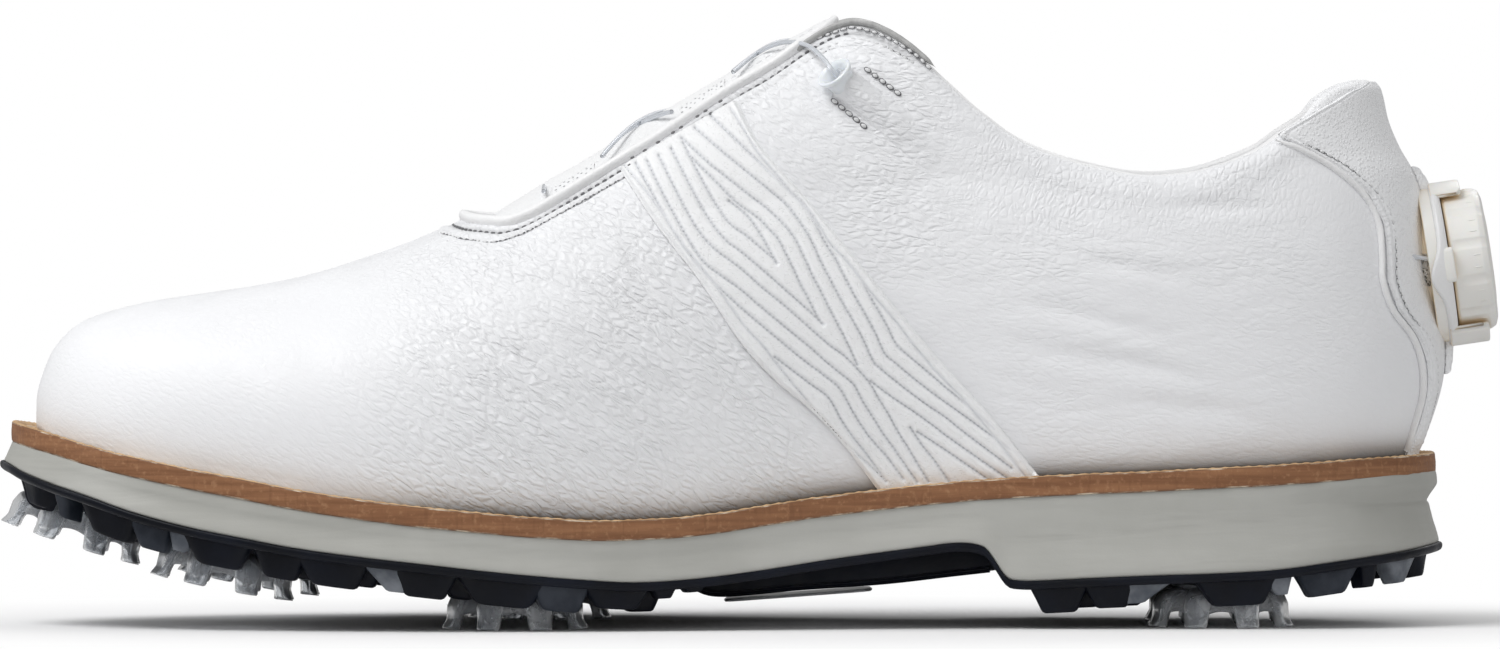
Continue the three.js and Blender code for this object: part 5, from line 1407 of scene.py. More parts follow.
# ------------------------------------------------------------------ cleats
HUB_PROFILE = [(0, -4.35), (3.2, -4.5), (4.9, -4.5), (5.7, -3.4), (7.6, -3.05), (9.3, -2.6),
               (9.6, -1.6), (9.6, -0.3), (4.5, -0.3), (4.5, 4.3), (0, 4.5)]  # radius, z
BOSS_PROFILE = [(10.4, 0.25), (12.3, 0.25), (12.3, 1.4), (10.4, 1.4), (10.4, 0.25)]
# Sections down a leg: outer radius and z, inner radius and z, half width
LEG_SECTIONS = [
    (6.6, -0.45, 6.6, -2.9, 3.4), (8.8, -0.62, 8.2, -3.15, 3.2), (11.2, -1.1, 9.9, -4.0, 3.0),
    (13.0, -2.1, 10.9, -5.2, 2.9), (13.9, -3.9, 11.5, -6.3, 2.75),
    (14.0, -5.4, 11.8, -7.1, 2.6), (14.1, -6.7, 12.0, -7.9, 2.45),
    (14.6, -7.6, 12.0, -8.5, 2.4), (15.15, -8.25, 12.0, -8.85, 2.25),
    (15.3, -8.62, 12.4, -8.9, 2.0)]
LEGS = 8


def cleat_leg(angle):
    n = 16
    ca, sa = math.cos(angle), math.sin(angle)
    verts = []
    for outer, outer_z, inner, inner_z, wide in LEG_SECTIONS:
        for q in range(n):
            u, v = squircle(2 * math.pi * q / n, 3.2)
            r = (outer + inner) / 2 + (outer - inner) / 2 * u
            z = (outer_z + inner_z) / 2 + (outer_z - inner_z) / 2 * u
            y = v * wide * (1.0 - 0.18 * (u < 0) * abs(u))
            verts.append((r * ca - y * sa, r * sa + y * ca, z))
    faces = grid_faces(len(LEG_SECTIONS), n, False, True, flip=True).tolist()
    return verts, faces + end_caps(len(LEG_SECTIONS), n, flip=True)


def cleat_web(angle):
    """The fillet from a leg to the next, scalloped between their feet."""
    steps = 15
    verts = []
    for k in range(steps):
        t = k / (steps - 1)
        a = angle + 2 * math.pi / LEGS * t
        arch = math.sin(math.pi * t)
        r = 13.7 - 1.2 * arch
        low = -7.5 + 1.9 * arch ** 0.8
        for radius, z in ((7.2, -0.7), (r * 0.84, -1.35), (r * 0.97, -2.9), (r + 0.1, low + 0.5),
                          (r - 0.25, low), (r - 0.75, low + 0.35), (r * 0.84, -3.5),
                          (7.2, -2.4)):
            verts.append((radius * math.cos(a), radius * math.sin(a), z))
    faces = grid_faces(steps, 8, False, True, True).tolist()
    return verts, faces + end_caps(steps, 8)


def cleat_legs():
    pieces = Pieces()
    for i in range(LEGS):
        angle = (i + 0.5) * 2 * math.pi / LEGS
        pieces.put(*cleat_leg(angle))
        pieces.put(*cleat_web(angle))
    # A ring of small ribs on the hub's face
    path = np.array([[5.6 + 3.4 * t, 0, -3.15 + 0.35 * t] for t in np.linspace(0, 1, 5)])
    rib, faces = sweep(path, oval(0.32, 8), -upward(5))
    for i in range(16):
        c, s = math.cos(i * math.pi / 8), math.sin(i * math.pi / 8)
        x, y, z = rib.T
        pieces.put(np.stack([x * c - y * s, x * s + y * c, z], 1), faces)
    return pieces


def build_cleats():
    hub = lathe(rounded_profile(HUB_PROFILE, 0.3, 3), 96)
    boss = lathe(rounded_profile(BOSS_PROFILE, 0.25, 2), 48, closed=True)
    legs = cleat_legs()
    for name, x, y, z in CLEATS:
        lean = 0.0
        if z is None:
            drop = float(midsole_bottom(x - 8) - midsole_bottom(x + 8))
            lean = math.atan(drop / 16)
            z = float(midsole_bottom(x)) - RIM_THICKNESS / math.cos(lean) - 0.5
        place = Matrix.Translation((x, y, z)) @ Matrix.Rotation(lean, 4, "Y")
        body = f"cleat_{name}_body"
        legs.add(f"cleat_{name}_legs", CLEAT, body=body, matrix=place,
                 replaces=[f"cleat_{name}"], slot="cleat_plastic")
        add(f"cleat_{name}_hub", *hub, HUB, body=body, matrix=place)
        add(f"cleat_{name}_boss", *boss, RUBBER, matrix=place)
        dress(f"receptacle_{name}", SEAT)


build_cleats()

# ------------------------------------------------------------------ upper: the skin's top edge
EDGE, EDGE_NORMALS = SKIN[:, -1], SKIN_NORMALS[:, -1]
EDGE_UP = unit(np.cross(EDGE_NORMALS, unit(np.roll(EDGE, -1, 0) - np.roll(EDGE, 1, 0))))
EDGE_UP[((EDGE - SKIN[:, -3]) * EDGE_UP).sum(1) < 0] *= -1
THROAT_START = 14 * ROW_STEPS  # grid column where the collar ends and the throat begins
THROAT = np.arange(THROAT_START, COLUMNS - THROAT_START + 1)
COLLAR = np.concatenate([np.arange(COLUMNS - THROAT_START, COLUMNS),
                         np.arange(0, THROAT_START + 1)])


def below(columns, depth):
    """Points and normals on the skin at an arc distance below the top edge."""
    points, normals = [], []
    for u in columns:
        column, around = SKIN[u % COLUMNS][::-1], SKIN_NORMALS[u % COLUMNS][::-1]
        along = arc_lengths(column)
        points.append([np.interp(depth, along, column[:, k]) for k in range(3)])
        normals.append(unit(np.array([np.interp(depth, along, around[:, k])
                                      for k in range(3)])))
    return np.array(points), np.array(normals)


def line_x(table, z):
    table = np.array(table, float)
    order = np.argsort(table[:, 1])
    return np.interp(z, table[order, 1], table[order, 0])


MID_STRAP = (np.array(STRAP_FRONT) + np.array(STRAP_BACK)) / 2
# The vamp meets the quarters under the middle of the strap
STRAP_LINE = np.vstack([MID_STRAP[:1] + [-10, 14], MID_STRAP, MID_STRAP[-1:] + [8, -10]])

# Longer folds in the side view: start x, z, end x, z, width, depth
FOLDS = [
    (-42, 62, -14, 45, 1.5, 0.55), (-34, 70, -16, 60, 1.3, 0.45), (-40, 50, -22, 38, 1.2, 0.4),
    (-26, 82, -21, 66, 1.1, 0.35), (-62, 60, -40, 52, 1.6, 0.30), (-50, 72, -34, 66, 1.3, 0.30),
    (52, 66, 84, 58, 1.8, 0.40), (56, 56, 92, 50, 2.0, 0.34), (62, 74, 92, 70, 1.7, 0.32),
    (84, 84, 106, 84, 1.3, 0.30), (72, 46, 104, 42, 2.0, 0.24), (36, 88, 50, 74, 1.5, 0.26)]


def creases(points, turn, long, wide, seed):
    """Sharp creases from noise stretched along a direction in the side view."""
    c, s = math.cos(math.radians(turn)), math.sin(math.radians(turn))
    x, y, z = points[..., 0], points[..., 1], points[..., 2]
    at = np.stack([(x * c + z * s) / long, y / (long * 0.8), (-x * s + z * c) / wide], -1)
    return np.clip(1 - np.abs(value_noise(at, 1.0, seed)) / 0.55, 0, 1) ** 2


def creased(points):
    """Soft swelling and creasing of the leather, as a height along its normal."""
    x, z = points[..., 0], points[..., 2]
    side = smooth((welt_top(x) + 14 - z) / -10.0)
    front = smooth((x + 80) / 36) * smooth((line_x(STRAP_FRONT, z) + 8 - x) / 22)
    quarter = smooth((x - line_x(STRAP_BACK, z) + 6) / 14) * smooth((118 - x) / 16)
    height = 0.22 * value_noise(points, 26.0, 31) + 0.06 * value_noise(points, 11.0, 32)
    height = height - front * (
        0.20 * creases(points, turn=-42, long=17, wide=4.2, seed=33)
        + 0.12 * creases(points, turn=-30, long=12, wide=2.6, seed=34)) * (0.5 + 0.5 * side)
    height = height - quarter * (
        0.15 * creases(points, turn=-14, long=22, wide=4.5, seed=35)
        + 0.08 * creases(points, turn=12, long=14, wide=3.0, seed=36))
    for x0, z0, x1, z1, wide, depth in FOLDS:
        way = np.array([x1 - x0, z1 - z0], float)
        at = np.stack([x, z], -1) - np.array([x0, z0], float)
        t = np.clip((at @ way) / (way @ way), 0, 1)
        distance = np.linalg.norm(at - t[..., None] * way, axis=-1)
        valley = bell(distance, wide) * np.sin(math.pi * np.clip(t * 0.94 + 0.03, 0, 1))
        banks = bell(distance - 2.1 * wide, 1.3 * wide)
        height = (height - depth * valley
                  + 0.35 * depth * banks * np.sin(math.pi * np.clip(t, 0.02, 0.98)))
    return height


def double_levels(grid):
    """Adds a level between each two levels of the grid."""
    levels = grid.shape[1]
    at = np.linspace(0, levels - 1, (levels - 1) * 2 + 1)
    i = np.minimum(at.astype(int), levels - 2)
    f = (at - i)[None, :, None]
    return grid[:, i] * (1 - f) + grid[:, i + 1] * f


FINE, FINE_NORMALS = double_levels(SKIN), unit(double_levels(SKIN_NORMALS))
FINE_LEVELS = FINE.shape[1]
_down = np.cumsum(np.linalg.norm(np.diff(FINE[:, ::-1], axis=1), axis=2), axis=1)
DOWN = np.concatenate([np.zeros((COLUMNS, 1)), _down], 1)[:, ::-1]  # depth below the top edge
_column = np.arange(COLUMNS)
in_throat = smooth((np.minimum(_column, COLUMNS - _column) - 12 * ROW_STEPS) / 8.0)[:, None]


def upper_surface():
    height = creased(FINE)
    # Two stitch grooves along the throat with a swell between them
    height = height - in_throat * (0.62 * bell(DOWN - 1.9, 0.75) + 0.30 * bell(DOWN - 5.4, 0.5))
    height = height + in_throat * 0.25 * bell(DOWN - 3.8, 1.1)
    # Round the ankle the leather turns over the padding
    roll = 1 - np.sqrt(np.clip(1 - np.clip(1 - DOWN / 3.0, 0, 1) ** 2, 0, 1))
    height = height - (1 - in_throat) * 2.5 * roll + (1 - in_throat) * 0.35 * bell(DOWN - 4.5, 2.5)
    fade = np.minimum(np.arange(FINE_LEVELS) / 4.0, 1.0)  # flat where it meets the welt
    grid = FINE + FINE_NORMALS * (height * fade)[..., None]
    grid[:, 0, 2] = welt_top(grid[:, 0, 0]) - 0.4
    return grid


def build_upper():
    points = upper_surface().reshape(-1, 3)
    normals = FINE_NORMALS.reshape(-1, 3)
    seam = (in_throat * bell(DOWN - 1.9, 0.62)).reshape(-1)
    all_faces = grid_faces(COLUMNS, FINE_LEVELS, True, False)
    centre = points[all_faces].mean(1)
    z = np.clip(centre[:, 2], STRAP_LINE[-1, 1], STRAP_LINE[0, 1])
    front = centre[:, 0] < line_x(STRAP_LINE, z)
    medial = centre[:, 1] <= 0
    for name, mask, cad in (("vamp_leather", front, "vamp"),
                            ("quarter_leather_medial", ~front & medial, "quarter_medial"),
                            ("quarter_leather_lateral", ~front & ~medial, "quarter_lateral")):
        faces = all_faces[mask]
        used = np.unique(faces)
        renumber = np.full(len(points), -1)
        renumber[used] = np.arange(len(used))
        verts, faces = points[used], renumber[faces]
        middle = faces[len(faces) // 2]
        a, b, c = verts[middle[:3]]
        if np.cross(b - a, c - a) @ normals[used][middle[0]] < 0:  # face outwards
            faces = faces[:, ::-1]
        obj = add(name, verts, faces, WHITE_LEATHER, replaces=[cad], slot="white_leather")
        # Painted shade along the foot of the upper, above the welt, and in the throat's stitch
        # groove
        above = np.maximum(verts[:, 2] - welt_top(verts[:, 0]), 0)
        foot = np.exp(-((above / 2.3) ** 1.15)) * (0.22 + 0.78 * smooth((verts[:, 0] + 92) / 45))
        paint(obj, "foot_and_seam_shade", np.maximum(foot, 0.42 * seam[used]))
        thicken(obj, 1.35, -1.0)


LINING_DEPTHS = (0, 0.6, 1.3, 2.2, 3.4, 5, 7, 9.5, 12.5, 16, 20, 25, 31, 38, 46, 55, 66, 80)


def build_lining():
    """Padded at the collar, thin at the throat, down to the footbed."""
    throat = in_throat[:, 0]
    columns = []
    for depth in LINING_DEPTHS:
        pad = ((2.9 + 4.5 * smooth(depth / 13.0) - 2.4 * smooth((depth - 22) / 25))
               * (1 - throat) + (1.6 + 2.1 * smooth(depth / 9.0)) * throat)
        points, normals = np.empty((COLUMNS, 3)), np.empty((COLUMNS, 3))
        for u in range(COLUMNS):
            deepest = DOWN[u, 0] * 0.985
            at = deepest if depth == LINING_DEPTHS[-1] else min(depth, deepest)
            for source, target in ((FINE, points), (FINE_NORMALS, normals)):
                target[u] = [np.interp(at, DOWN[u, ::-1], source[u, ::-1, k])
                             for k in range(3)]
        uneven = 0.10 * value_noise(points, 9.0, 41) * smooth(depth / 6)
        columns.append(points - unit(normals) * pad[:, None]
                       + uneven[:, None] * unit(normals))
    # Its hem turns in over the footbed's edge
    outward = normals.copy()
    outward[:, 2] = 0
    outward = unit(outward)
    for turn in (1.6, 3.6):
        columns.append(columns[-1] - outward * turn + np.array([0, 0, -0.9]))
    obj = add("collar_lining", np.stack(columns, 1), grid_faces(COLUMNS, len(columns), True),
              KNIT, replaces=["lining"], slot="lining_fabric")
    thicken(obj, 0.9, 1.0)
    modify(obj, "SUBSURF", levels=1, render_levels=1)


def build_collar_roll():
    path = EDGE[COLLAR] - EDGE_UP[COLLAR] * 1.05 - EDGE_NORMALS[COLLAR] * 3.1
    path = path + 0.10 * value_noise(path, 7.0, 51)[:, None] * EDGE_UP[COLLAR]
    path, normals = resample_both(path, EDGE_NORMALS[COLLAR], 520)
    scale = (0.55 + 0.45 * end_fade(520, 26.0)) * (1 + 0.05 * value_noise(path, 5.0, 52))
    add("collar_roll", *sweep(path, oval(1.5, 20, 1.35), normals, scale=scale), PIPING)


def build_throat_edging():
    power = lambda v, k: np.sign(v) * abs(v) ** k
    profile = [(1.05 * power(math.cos(a), 0.8), 1.62 * power(math.sin(a), 0.85))
               for a in np.linspace(0, 2 * math.pi, 22, endpoint=False)]
    path = EDGE[THROAT] + EDGE_UP[THROAT] * 0.95 - EDGE_NORMALS[THROAT] * 0.15
    path, normals = resample_both(path, EDGE_NORMALS[THROAT], 640)
    scale = (0.62 + 0.38 * end_fade(640, 20.0)) * (1 + 0.05 * value_noise(path, 4.0, 53))
    scale = scale * (1 - 0.80 * smooth((path[:, 0] - 9.5) / 5.0))
    add("throat_edging", *sweep(path, profile, normals, scale=scale), PIPING,
        replaces=["throat_piping"], slot="fine_leather")


# ------------------------------------------------------------------ throat stitching
FRONT_EDGE, BACK_EDGE = curve(STRAP_FRONT, 200), curve(STRAP_BACK, 200)


def on_strap(points):
    """0 beside the straps, 1 on them, for points near the skin."""
    front, back = line_x(FRONT_EDGE, points[:, 2]), line_x(BACK_EDGE, points[:, 2])
    return (smooth((points[:, 0] - front + 0.2) / 0.8)
            * smooth((back - points[:, 0] + 0.2) / 0.8))


def build_facing_stitches():
    """Two rows round the throat, broken where the straps cross them."""
    threads, holes = Pieces(), Pieces()
    for depth, pitch, height in ((1.9, 1.7, -0.40), (5.2, 1.9, -0.16)):
        path, normals = resample_both(*below(THROAT[6:-6], depth), 900)
        covered = on_strap(path)
        path = path + normals * height
        changes = np.where(np.diff((covered > 0.5).astype(int)) != 0)[0] + 1
        for run in np.split(np.arange(len(path)), changes):
            first, last = run[0], run[-1]
            if covered[(first + last) // 2] > 0.5 or last - first < 6:
                continue
            part = path[first:last + 1], normals[first:last + 1]
            if depth < 3:
                stitch_row(holes, *part, pitch, wide=0.66, high=0.42, fill=0.64)
            else:
                stitch_row(holes, *part, pitch, wide=0.56, high=0.22, fill=0.98)
                stitch_row(threads, *part, pitch, wide=0.54, high=0.50, fill=0.60)
    threads.add("facing_stitches", THREAD)
    holes.add("facing_stitch_holes", SHADOW)


def build_needle_holes():
    """Holes where both rows cross the strap's upper end."""
    pitch = 2.9
    dots = Pieces()
    for depth, phase in ((2.5, 0.0), (4.4, 0.35)):
        points, normals = below(THROAT[6:-6], depth)
        along = arc_lengths(points)
        for at in np.arange(pitch * phase, along[-1], pitch):
            i = min(int(np.searchsorted(along, at)), len(points) - 2)
            if on_strap(points[i:i + 1])[0] < 0.95:
                continue
            n = normals[i]
            x = unit(points[i + 1] - points[i])
            place_stitch(dots, points[i] + n * 1.50, (x, np.cross(n, x), n), (0.95, 0.72, 0.30))
    if dots.count:
        dots.add("facing_needle_holes", SHADOW)


# A double row over the top corner of the quarter, behind the strap: x, z
QUARTER_TOP = np.array([(11.6, 116.6), (18.8, 119.2), (21.4, 119.4), (26.4, 118.0),
                        (32.4, 114.6), (36.2, 111.2)])


def build_quarter_top_stitches():
    for side, name in SIDES:
        for k, dz in enumerate((-1.0, -3.3)):
            x, z = curve(QUARTER_TOP + [0.3 * k, dz + 1.1], 120).T
            line = side_point(x, np.minimum(z, ridge(x) - 2), side, 0.05)
            threads, holes = Pieces(), Pieces()
            stitch_row(threads, *line, 1.7, wide=0.6, high=0.5, fill=0.68)
            stitch_row(holes, *line, 1.7, wide=0.66, high=0.16, fill=0.98, sunk=0.05)
            threads.add(f"quarter_top_stitches_{'ab'[k]}_{name}", THREAD)
            holes.add(f"quarter_top_holes_{'ab'[k]}_{name}", SHADOW)


def build_cut_edges():
    """The grey cut edge over each quarter's top corner."""
    for side, name in SIDES:
        def chosen(u, ahead):
            x, y = EDGE[u][:2]
            return (y - ridge_y(x)) * side > 0 and (x > 8.0 if ahead else x < 37.0)
        columns = {int(u) for u in THROAT if chosen(u, True)}
        columns |= {int(u) for u in COLLAR if chosen(u, False)}
        columns = sorted(sorted(columns), key=lambda u: EDGE[u][0])
        edge, normals = EDGE[columns], EDGE_NORMALS[columns]
        path = (edge + EDGE_UP[columns] * 0.30
                + normals * (0.25 - 0.7 * smooth((edge[:, :1] - 24) / 12)))
        path, normals = resample_both(path, normals, 160)
        scale = end_fade(160, 12.0) * (1 + 0.12 * value_noise(path, 2.0, 58)) + 0.02
        add(f"quarter_cut_edge_{name}",
            *sweep(path, oval(0.55, 12, 0.80), normals, scale=scale), CUT_EDGE)


build_upper()
build_lining()
build_collar_roll()
build_throat_edging()
build_facing_stitches()
build_needle_holes()
build_quarter_top_stitches()
build_cut_edges()

# ------------------------------------------------------------------ saddle straps, quilted
# Quilting lines in the side view: x, z
QUILT = [
    [(-22.3725, 91.7582), (-18.8521, 85.3041), (-15.3317, 78.8500), (-11.2245, 72.6893),
     (-6.5306, 67.9368), (-2.0128, 63.8296), (1.8010, 60.6026), (6.7882, 56.4955),
     (11.1887, 52.9751), (14.4158, 50.6281), (17.0561, 48.5746), (18.2295, 47.1077),
     (19.9897, 43.8807), (22.3367, 40.0669), (24.3902, 37.4266), (27.3239, 34.1996),
     (30.7270, 29.5644)],
    [(-20.1429, 92.2276), (-16.5051, 84.7174), (-12.9847, 78.2633), (-9.4643, 72.8654),
     (-5.9439, 70.0490), (-2.0128, 67.3501), (1.8010, 64.1230), (6.7882, 60.0159),
     (11.1887, 56.4955), (15.5892, 52.6817), (19.6964, 49.4547), (20.5765, 48.5746),
     (22.3367, 45.3475), (24.3902, 42.1205), (26.4438, 38.8935), (28.7907, 35.6664),
     (33.0739, 29.5644)],
    [(-17.8546, 93.4010), (-14.4516, 86.3602), (-10.6378, 79.3194), (-7.1174, 75.2123),
     (-2.0128, 71.4572), (2.3877, 67.6434), (6.7882, 64.1230), (11.1887, 60.3092),
     (15.5892, 56.4955), (18.5229, 54.4419), (21.1632, 51.8016), (23.8035, 48.8679),
     (25.2703, 46.2276), (27.3239, 43.0006), (29.0841, 39.7736), (31.1377, 36.5465),
     (35.4208, 29.5644)],
    [(-15.3317, 94.6919), (-11.8112, 87.6510), (-8.1735, 81.0796), (-4.7704, 76.7965),
     (-2.0128, 74.8016), (2.3877, 71.1638), (6.7882, 67.3501), (11.1887, 63.5363),
     (14.4158, 60.4853)],
    [(-12.9847, 95.8653), (-9.4643, 88.8245), (-5.9439, 82.6638), (-3.5970, 79.7301),
     (-0.5460, 77.6179), (4.7346, 73.2174)],
    [(-11.3419, 92.9317), (-6.5306, 88.2378), (-2.4235, 84.1306), (1.6836, 81.1970),
     (4.0306, 78.7327), (5.6148, 77.0898), (7.9617, 72.6307), (9.7219, 68.8169),
     (11.4821, 65.5898), (13.2423, 62.0694), (14.1224, 60.6613)],
    [(-13.2781, 96.7454), (-7.7041, 91.7582), (-2.4235, 87.6510), (2.8571, 83.5439),
     (6.0841, 80.6102), (8.8418, 77.3245), (10.8954, 73.2174), (12.6556, 69.4036),
     (14.4158, 66.1766), (16.1760, 62.6562), (18.2295, 58.8424), (19.6964, 55.9087),
     (21.1632, 52.6817)],
    [(-10.6378, 98.7990), (-4.7704, 93.8118), (1.0969, 89.1179), (6.6709, 84.4240),
     (9.6045, 80.9036), (12.0688, 77.0312), (14.1224, 72.6307), (16.4693, 68.2302),
     (18.5229, 64.4164), (20.5765, 60.8960), (22.6300, 57.0822), (24.3902, 53.2684),
     (25.8571, 51.8016), (30.2576, 48.2812), (34.6581, 45.0542), (39.0586, 42.1205),
     (41.9923, 39.7736), (52.1428, 32.2047)],
    [(-7.4107, 101.1459), (-2.4235, 96.4521), (2.8571, 91.4648), (7.8443, 86.5949),
     (11.9515, 81.7837), (15.2959, 75.8577), (17.0561, 73.2174), (19.1096, 69.1103),
     (20.8698, 65.8832), (22.9234, 62.3628), (24.9770, 58.5490), (26.7372, 54.7353),
     (28.7907, 52.9751), (32.3111, 50.0414), (37.0050, 46.5210), (41.9923, 43.0006),
     (52.1428, 35.7251)],
    [(22.3367, 68.8169), (24.3902, 65.0031), (26.1504, 62.0694), (27.6173, 59.4291),
     (29.0841, 56.4955), (31.7244, 54.1485), (35.2448, 51.2149), (39.0586, 47.9878),
     (41.9923, 45.6409), (48.6223, 40.1256)],
    [(4.7346, 54.1485), (8.2551, 51.5082), (11.7755, 48.8679), (14.7091, 46.8144),
     (16.1760, 45.0542), (17.9362, 41.8271), (20.2831, 38.3067), (22.9234, 35.0797),
     (26.9132, 29.5644)],
    [(23.8035, 49.4547), (27.3239, 46.8144), (31.7244, 43.8807), (35.5382, 41.2404),
     (39.0586, 38.6001), (41.9923, 36.5465), (52.1428, 29.5644)],
    [(31.7244, 40.3603), (34.0713, 36.8399), (36.7116, 33.6128), (39.5280, 29.5644)],
    [(33.1912, 39.4802), (39.0586, 35.6664), (48.0356, 29.5644)],
    [(-4.1837, 84.7174), (-0.6633, 81.7837), (1.3903, 79.1434), (3.1505, 76.2097),
     (5.2040, 72.3960)],
]
# Stitched lines just inside the strap's front and back edges: x, z
BORDER = [
    [(-24.6020, 91.1714), (-21.1990, 87.3577), (-17.6786, 82.6638), (-15.3317, 78.8500),
     (-12.3980, 74.7429), (-9.4643, 71.2225), (-7.1174, 68.2888), (-5.3572, 65.9419),
     (-2.0128, 61.1893), (0.1581, 58.5490), (2.3877, 56.3781), (4.2653, 53.8552),
     (6.2015, 51.5082), (8.0790, 49.1613), (10.1326, 46.8144), (12.0688, 44.4674),
     (14.2397, 42.2965), (16.1760, 40.0669), (17.9362, 38.1894), (19.8137, 36.2532),
     (22.0433, 34.1996), (23.8035, 32.7327), (27.2066, 29.2710)],
    [(-3.4796, 102.6128), (-0.6633, 98.2123), (1.9770, 93.8118), (5.2040, 89.9980),
     (8.1377, 86.4776), (11.0714, 83.5439), (13.4183, 80.3169), (15.9999, 76.1511),
     (18.6402, 73.5108), (20.6938, 71.0465), (22.9234, 68.2302), (24.9770, 65.5898),
     (27.3239, 62.9495), (29.2015, 60.7786), (31.1377, 58.2557), (33.1912, 55.6154),
     (35.2448, 53.2684), (37.2984, 50.9215), (39.0586, 49.1613), (41.9923, 46.2276),
     (46.2754, 41.2991), (50.3826, 36.3118), (55.3698, 29.8578)],
]
QUILT_PITCH = 0.95
STRAP_THICKNESS = 1.35
STRAP_LONG, STRAP_WIDE = ((620, 180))  # grid points along and across


def strap_inside(points):
    """How far side-view points lie inside the strap's edges, or -1 outside."""
    nearest = np.minimum(distance_to(points, FRONT_EDGE[::4]),
                         distance_to(points, BACK_EDGE[::4]))
    within = ((points[:, 0] > line_x(FRONT_EDGE, points[:, 1]))
              & (points[:, 0] < line_x(BACK_EDGE, points[:, 1])))
    return np.where(within, nearest, -1)


def strap_relief(flat, quilt, border):
    """Height of the quilting, and its groove and needle-hole shading."""
    to_quilt, hole = np.full(len(flat), 1e9), np.zeros(len(flat))
    for line in quilt:
        distance, along = nearest_on(flat, line[::2] if len(line) > 60 else line)
        to_quilt = np.minimum(to_quilt, distance)
        beat = np.clip(np.cos(along / QUILT_PITCH * 2 * math.pi) * 1.4 - 0.2, 0, 1)
        hole = np.maximum(hole, bell(distance, 0.24) * beat)
    to_border = np.minimum(*[distance_to(flat, line[::3]) for line in border])
    to_edge = np.minimum(distance_to(flat, FRONT_EDGE[::4]), distance_to(flat, BACK_EDGE[::4]))
    height = np.minimum(0.86 * pillow(to_quilt, 1.15) - 0.42,
                        0.70 * pillow(to_border, 1.1) - 0.28)
    rim = smooth((2.5 - to_edge) / 0.5)
    height = height * (1 - rim) + (0.58 * pillow(to_border, 0.8) - 0.25) * rim
    # Tension wrinkles run off each line of stitches
    x, z = flat[:, 0], flat[:, 1]
    tension = value_noise(np.stack([(x + z) * 0.9, x * 0, (x - z) * 0.25], 1), 1.0, 64)
    upright = np.stack([x, z * 0, z], 1)
    height = (height + 0.045 * tension * smooth(to_quilt / 0.4)
              + 0.03 * value_noise(upright, 1.1, 61) + 0.10 * value_noise(upright, 8.0, 62))
    groove = (np.maximum(bell(to_quilt, 0.34), bell(to_border, 0.32))
              * np.where(to_edge < 0.9, 0, 1))
    hole = hole * smooth((to_edge - 2.2) / 0.4)
    return height - 1.05 * (1 - smooth(to_edge / 0.8)), groove, hole


def strap_line(line, side, height):
    """A side-view line laid on the strap at a height over the last."""
    x, z = line.T
    points, normals = side_point(x, np.minimum(z, ridge(x) - 1.2), side)
    return points + normals * (height + creased(points) * 0.6)[..., None], normals


def build_straps():
    quilt = [curve(q, max(24, int(length(np.array(q)) * 1.6))) for q in QUILT]
    border = [curve(q, 200) for q in BORDER]
    across = np.linspace(0, 1, STRAP_WIDE)[None, :, None]
    front, back = resample(FRONT_EDGE, STRAP_LONG), resample(BACK_EDGE, STRAP_LONG)
    grid = front[:, None] * (1 - across) + back[:, None] * across
    height, groove, hole = strap_relief(grid.reshape(-1, 2), quilt, border)
    height = height.reshape(STRAP_LONG, STRAP_WIDE)
    for side, name in SIDES:
        x, z = grid[..., 0], np.minimum(grid[..., 1], ridge(grid[..., 0]) - 1.2)
        points, normals = side_point(x, z, side)
        swell = creased(points) * 0.6
        top = points + normals * (STRAP_THICKNESS + height + swell)[..., None]
        bottom = points + normals * (0.1 + swell)[..., None]
        strap = add(f"saddle_strap_{name}_quilted", two_layers(top, bottom),
                    sheet_faces(STRAP_LONG, STRAP_WIDE, side > 0), QUILTED,
                    replaces=[f"saddle_strap_{name}"], slot="quilted_leather")
        # Groove and hole values carry the painted shade of the quilting
        paint(strap, "groove", np.concatenate([groove, groove * 0]))
        paint(strap, "hole", np.concatenate([hole, hole * 0]))
        threads = Pieces()
        for q in quilt:
            line = curve(q, max(30, int(length(q) * 2)))
            keep = strap_inside(line) > 2.2
            if keep.sum() < 6:
                continue
            row = strap_line(line[keep], side, STRAP_THICKNESS - 0.40)
            stitch_row(threads, *row, QUILT_PITCH, wide=0.34, high=0.26, fill=0.58)
        threads.add(f"strap_quilting_{name}", THREAD)
        threads, holes = Pieces(), Pieces()
        for q in border:
            line = resample(q, 260)
            line = line[strap_inside(line) > 0.9]
            row = strap_line(line, side, STRAP_THICKNESS - 0.22)
            stitch_row(threads, *row, 1.6, wide=0.46, high=0.40, fill=0.50)
            stitch_row(holes, *row, 1.6, wide=0.46, high=0.20, fill=0.98, sunk=0.03)
        threads.add(f"strap_border_stitches_{name}", THREAD)
        holes.add(f"strap_border_holes_{name}", SHADOW)


build_straps()


# ------------------------------------------------------------------ backstay and bead
def heel_cast(z, angle):
    origin = np.stack([np.full_like(z, HEEL_CENTRE_X), np.zeros_like(z), z], -1)
    way = np.stack([np.cos(angle), np.sin(angle), np.zeros_like(angle)], -1)
    return cast(origin, way, reach=70.0)


def backstay_angle(z):
    """Angle from +X round the heel to the backstay's edge, at each height."""
    edge = np.array(BACKSTAY_EDGE)
    y = np.array([float(width(x, at, 1)) for x, at in edge])
    angle = np.arctan2(y, edge[:, 0] - HEEL_CENTRE_X)
    rows = np.array(HEEL_ROWS, float)
    top = np.interp(-z, -rows[:, 1], np.radians(rows[:, 0]))
    return np.where(z > edge[0, 1], np.minimum(top, angle[0]),
                    np.interp(z, edge[::-1, 1], angle[::-1]))


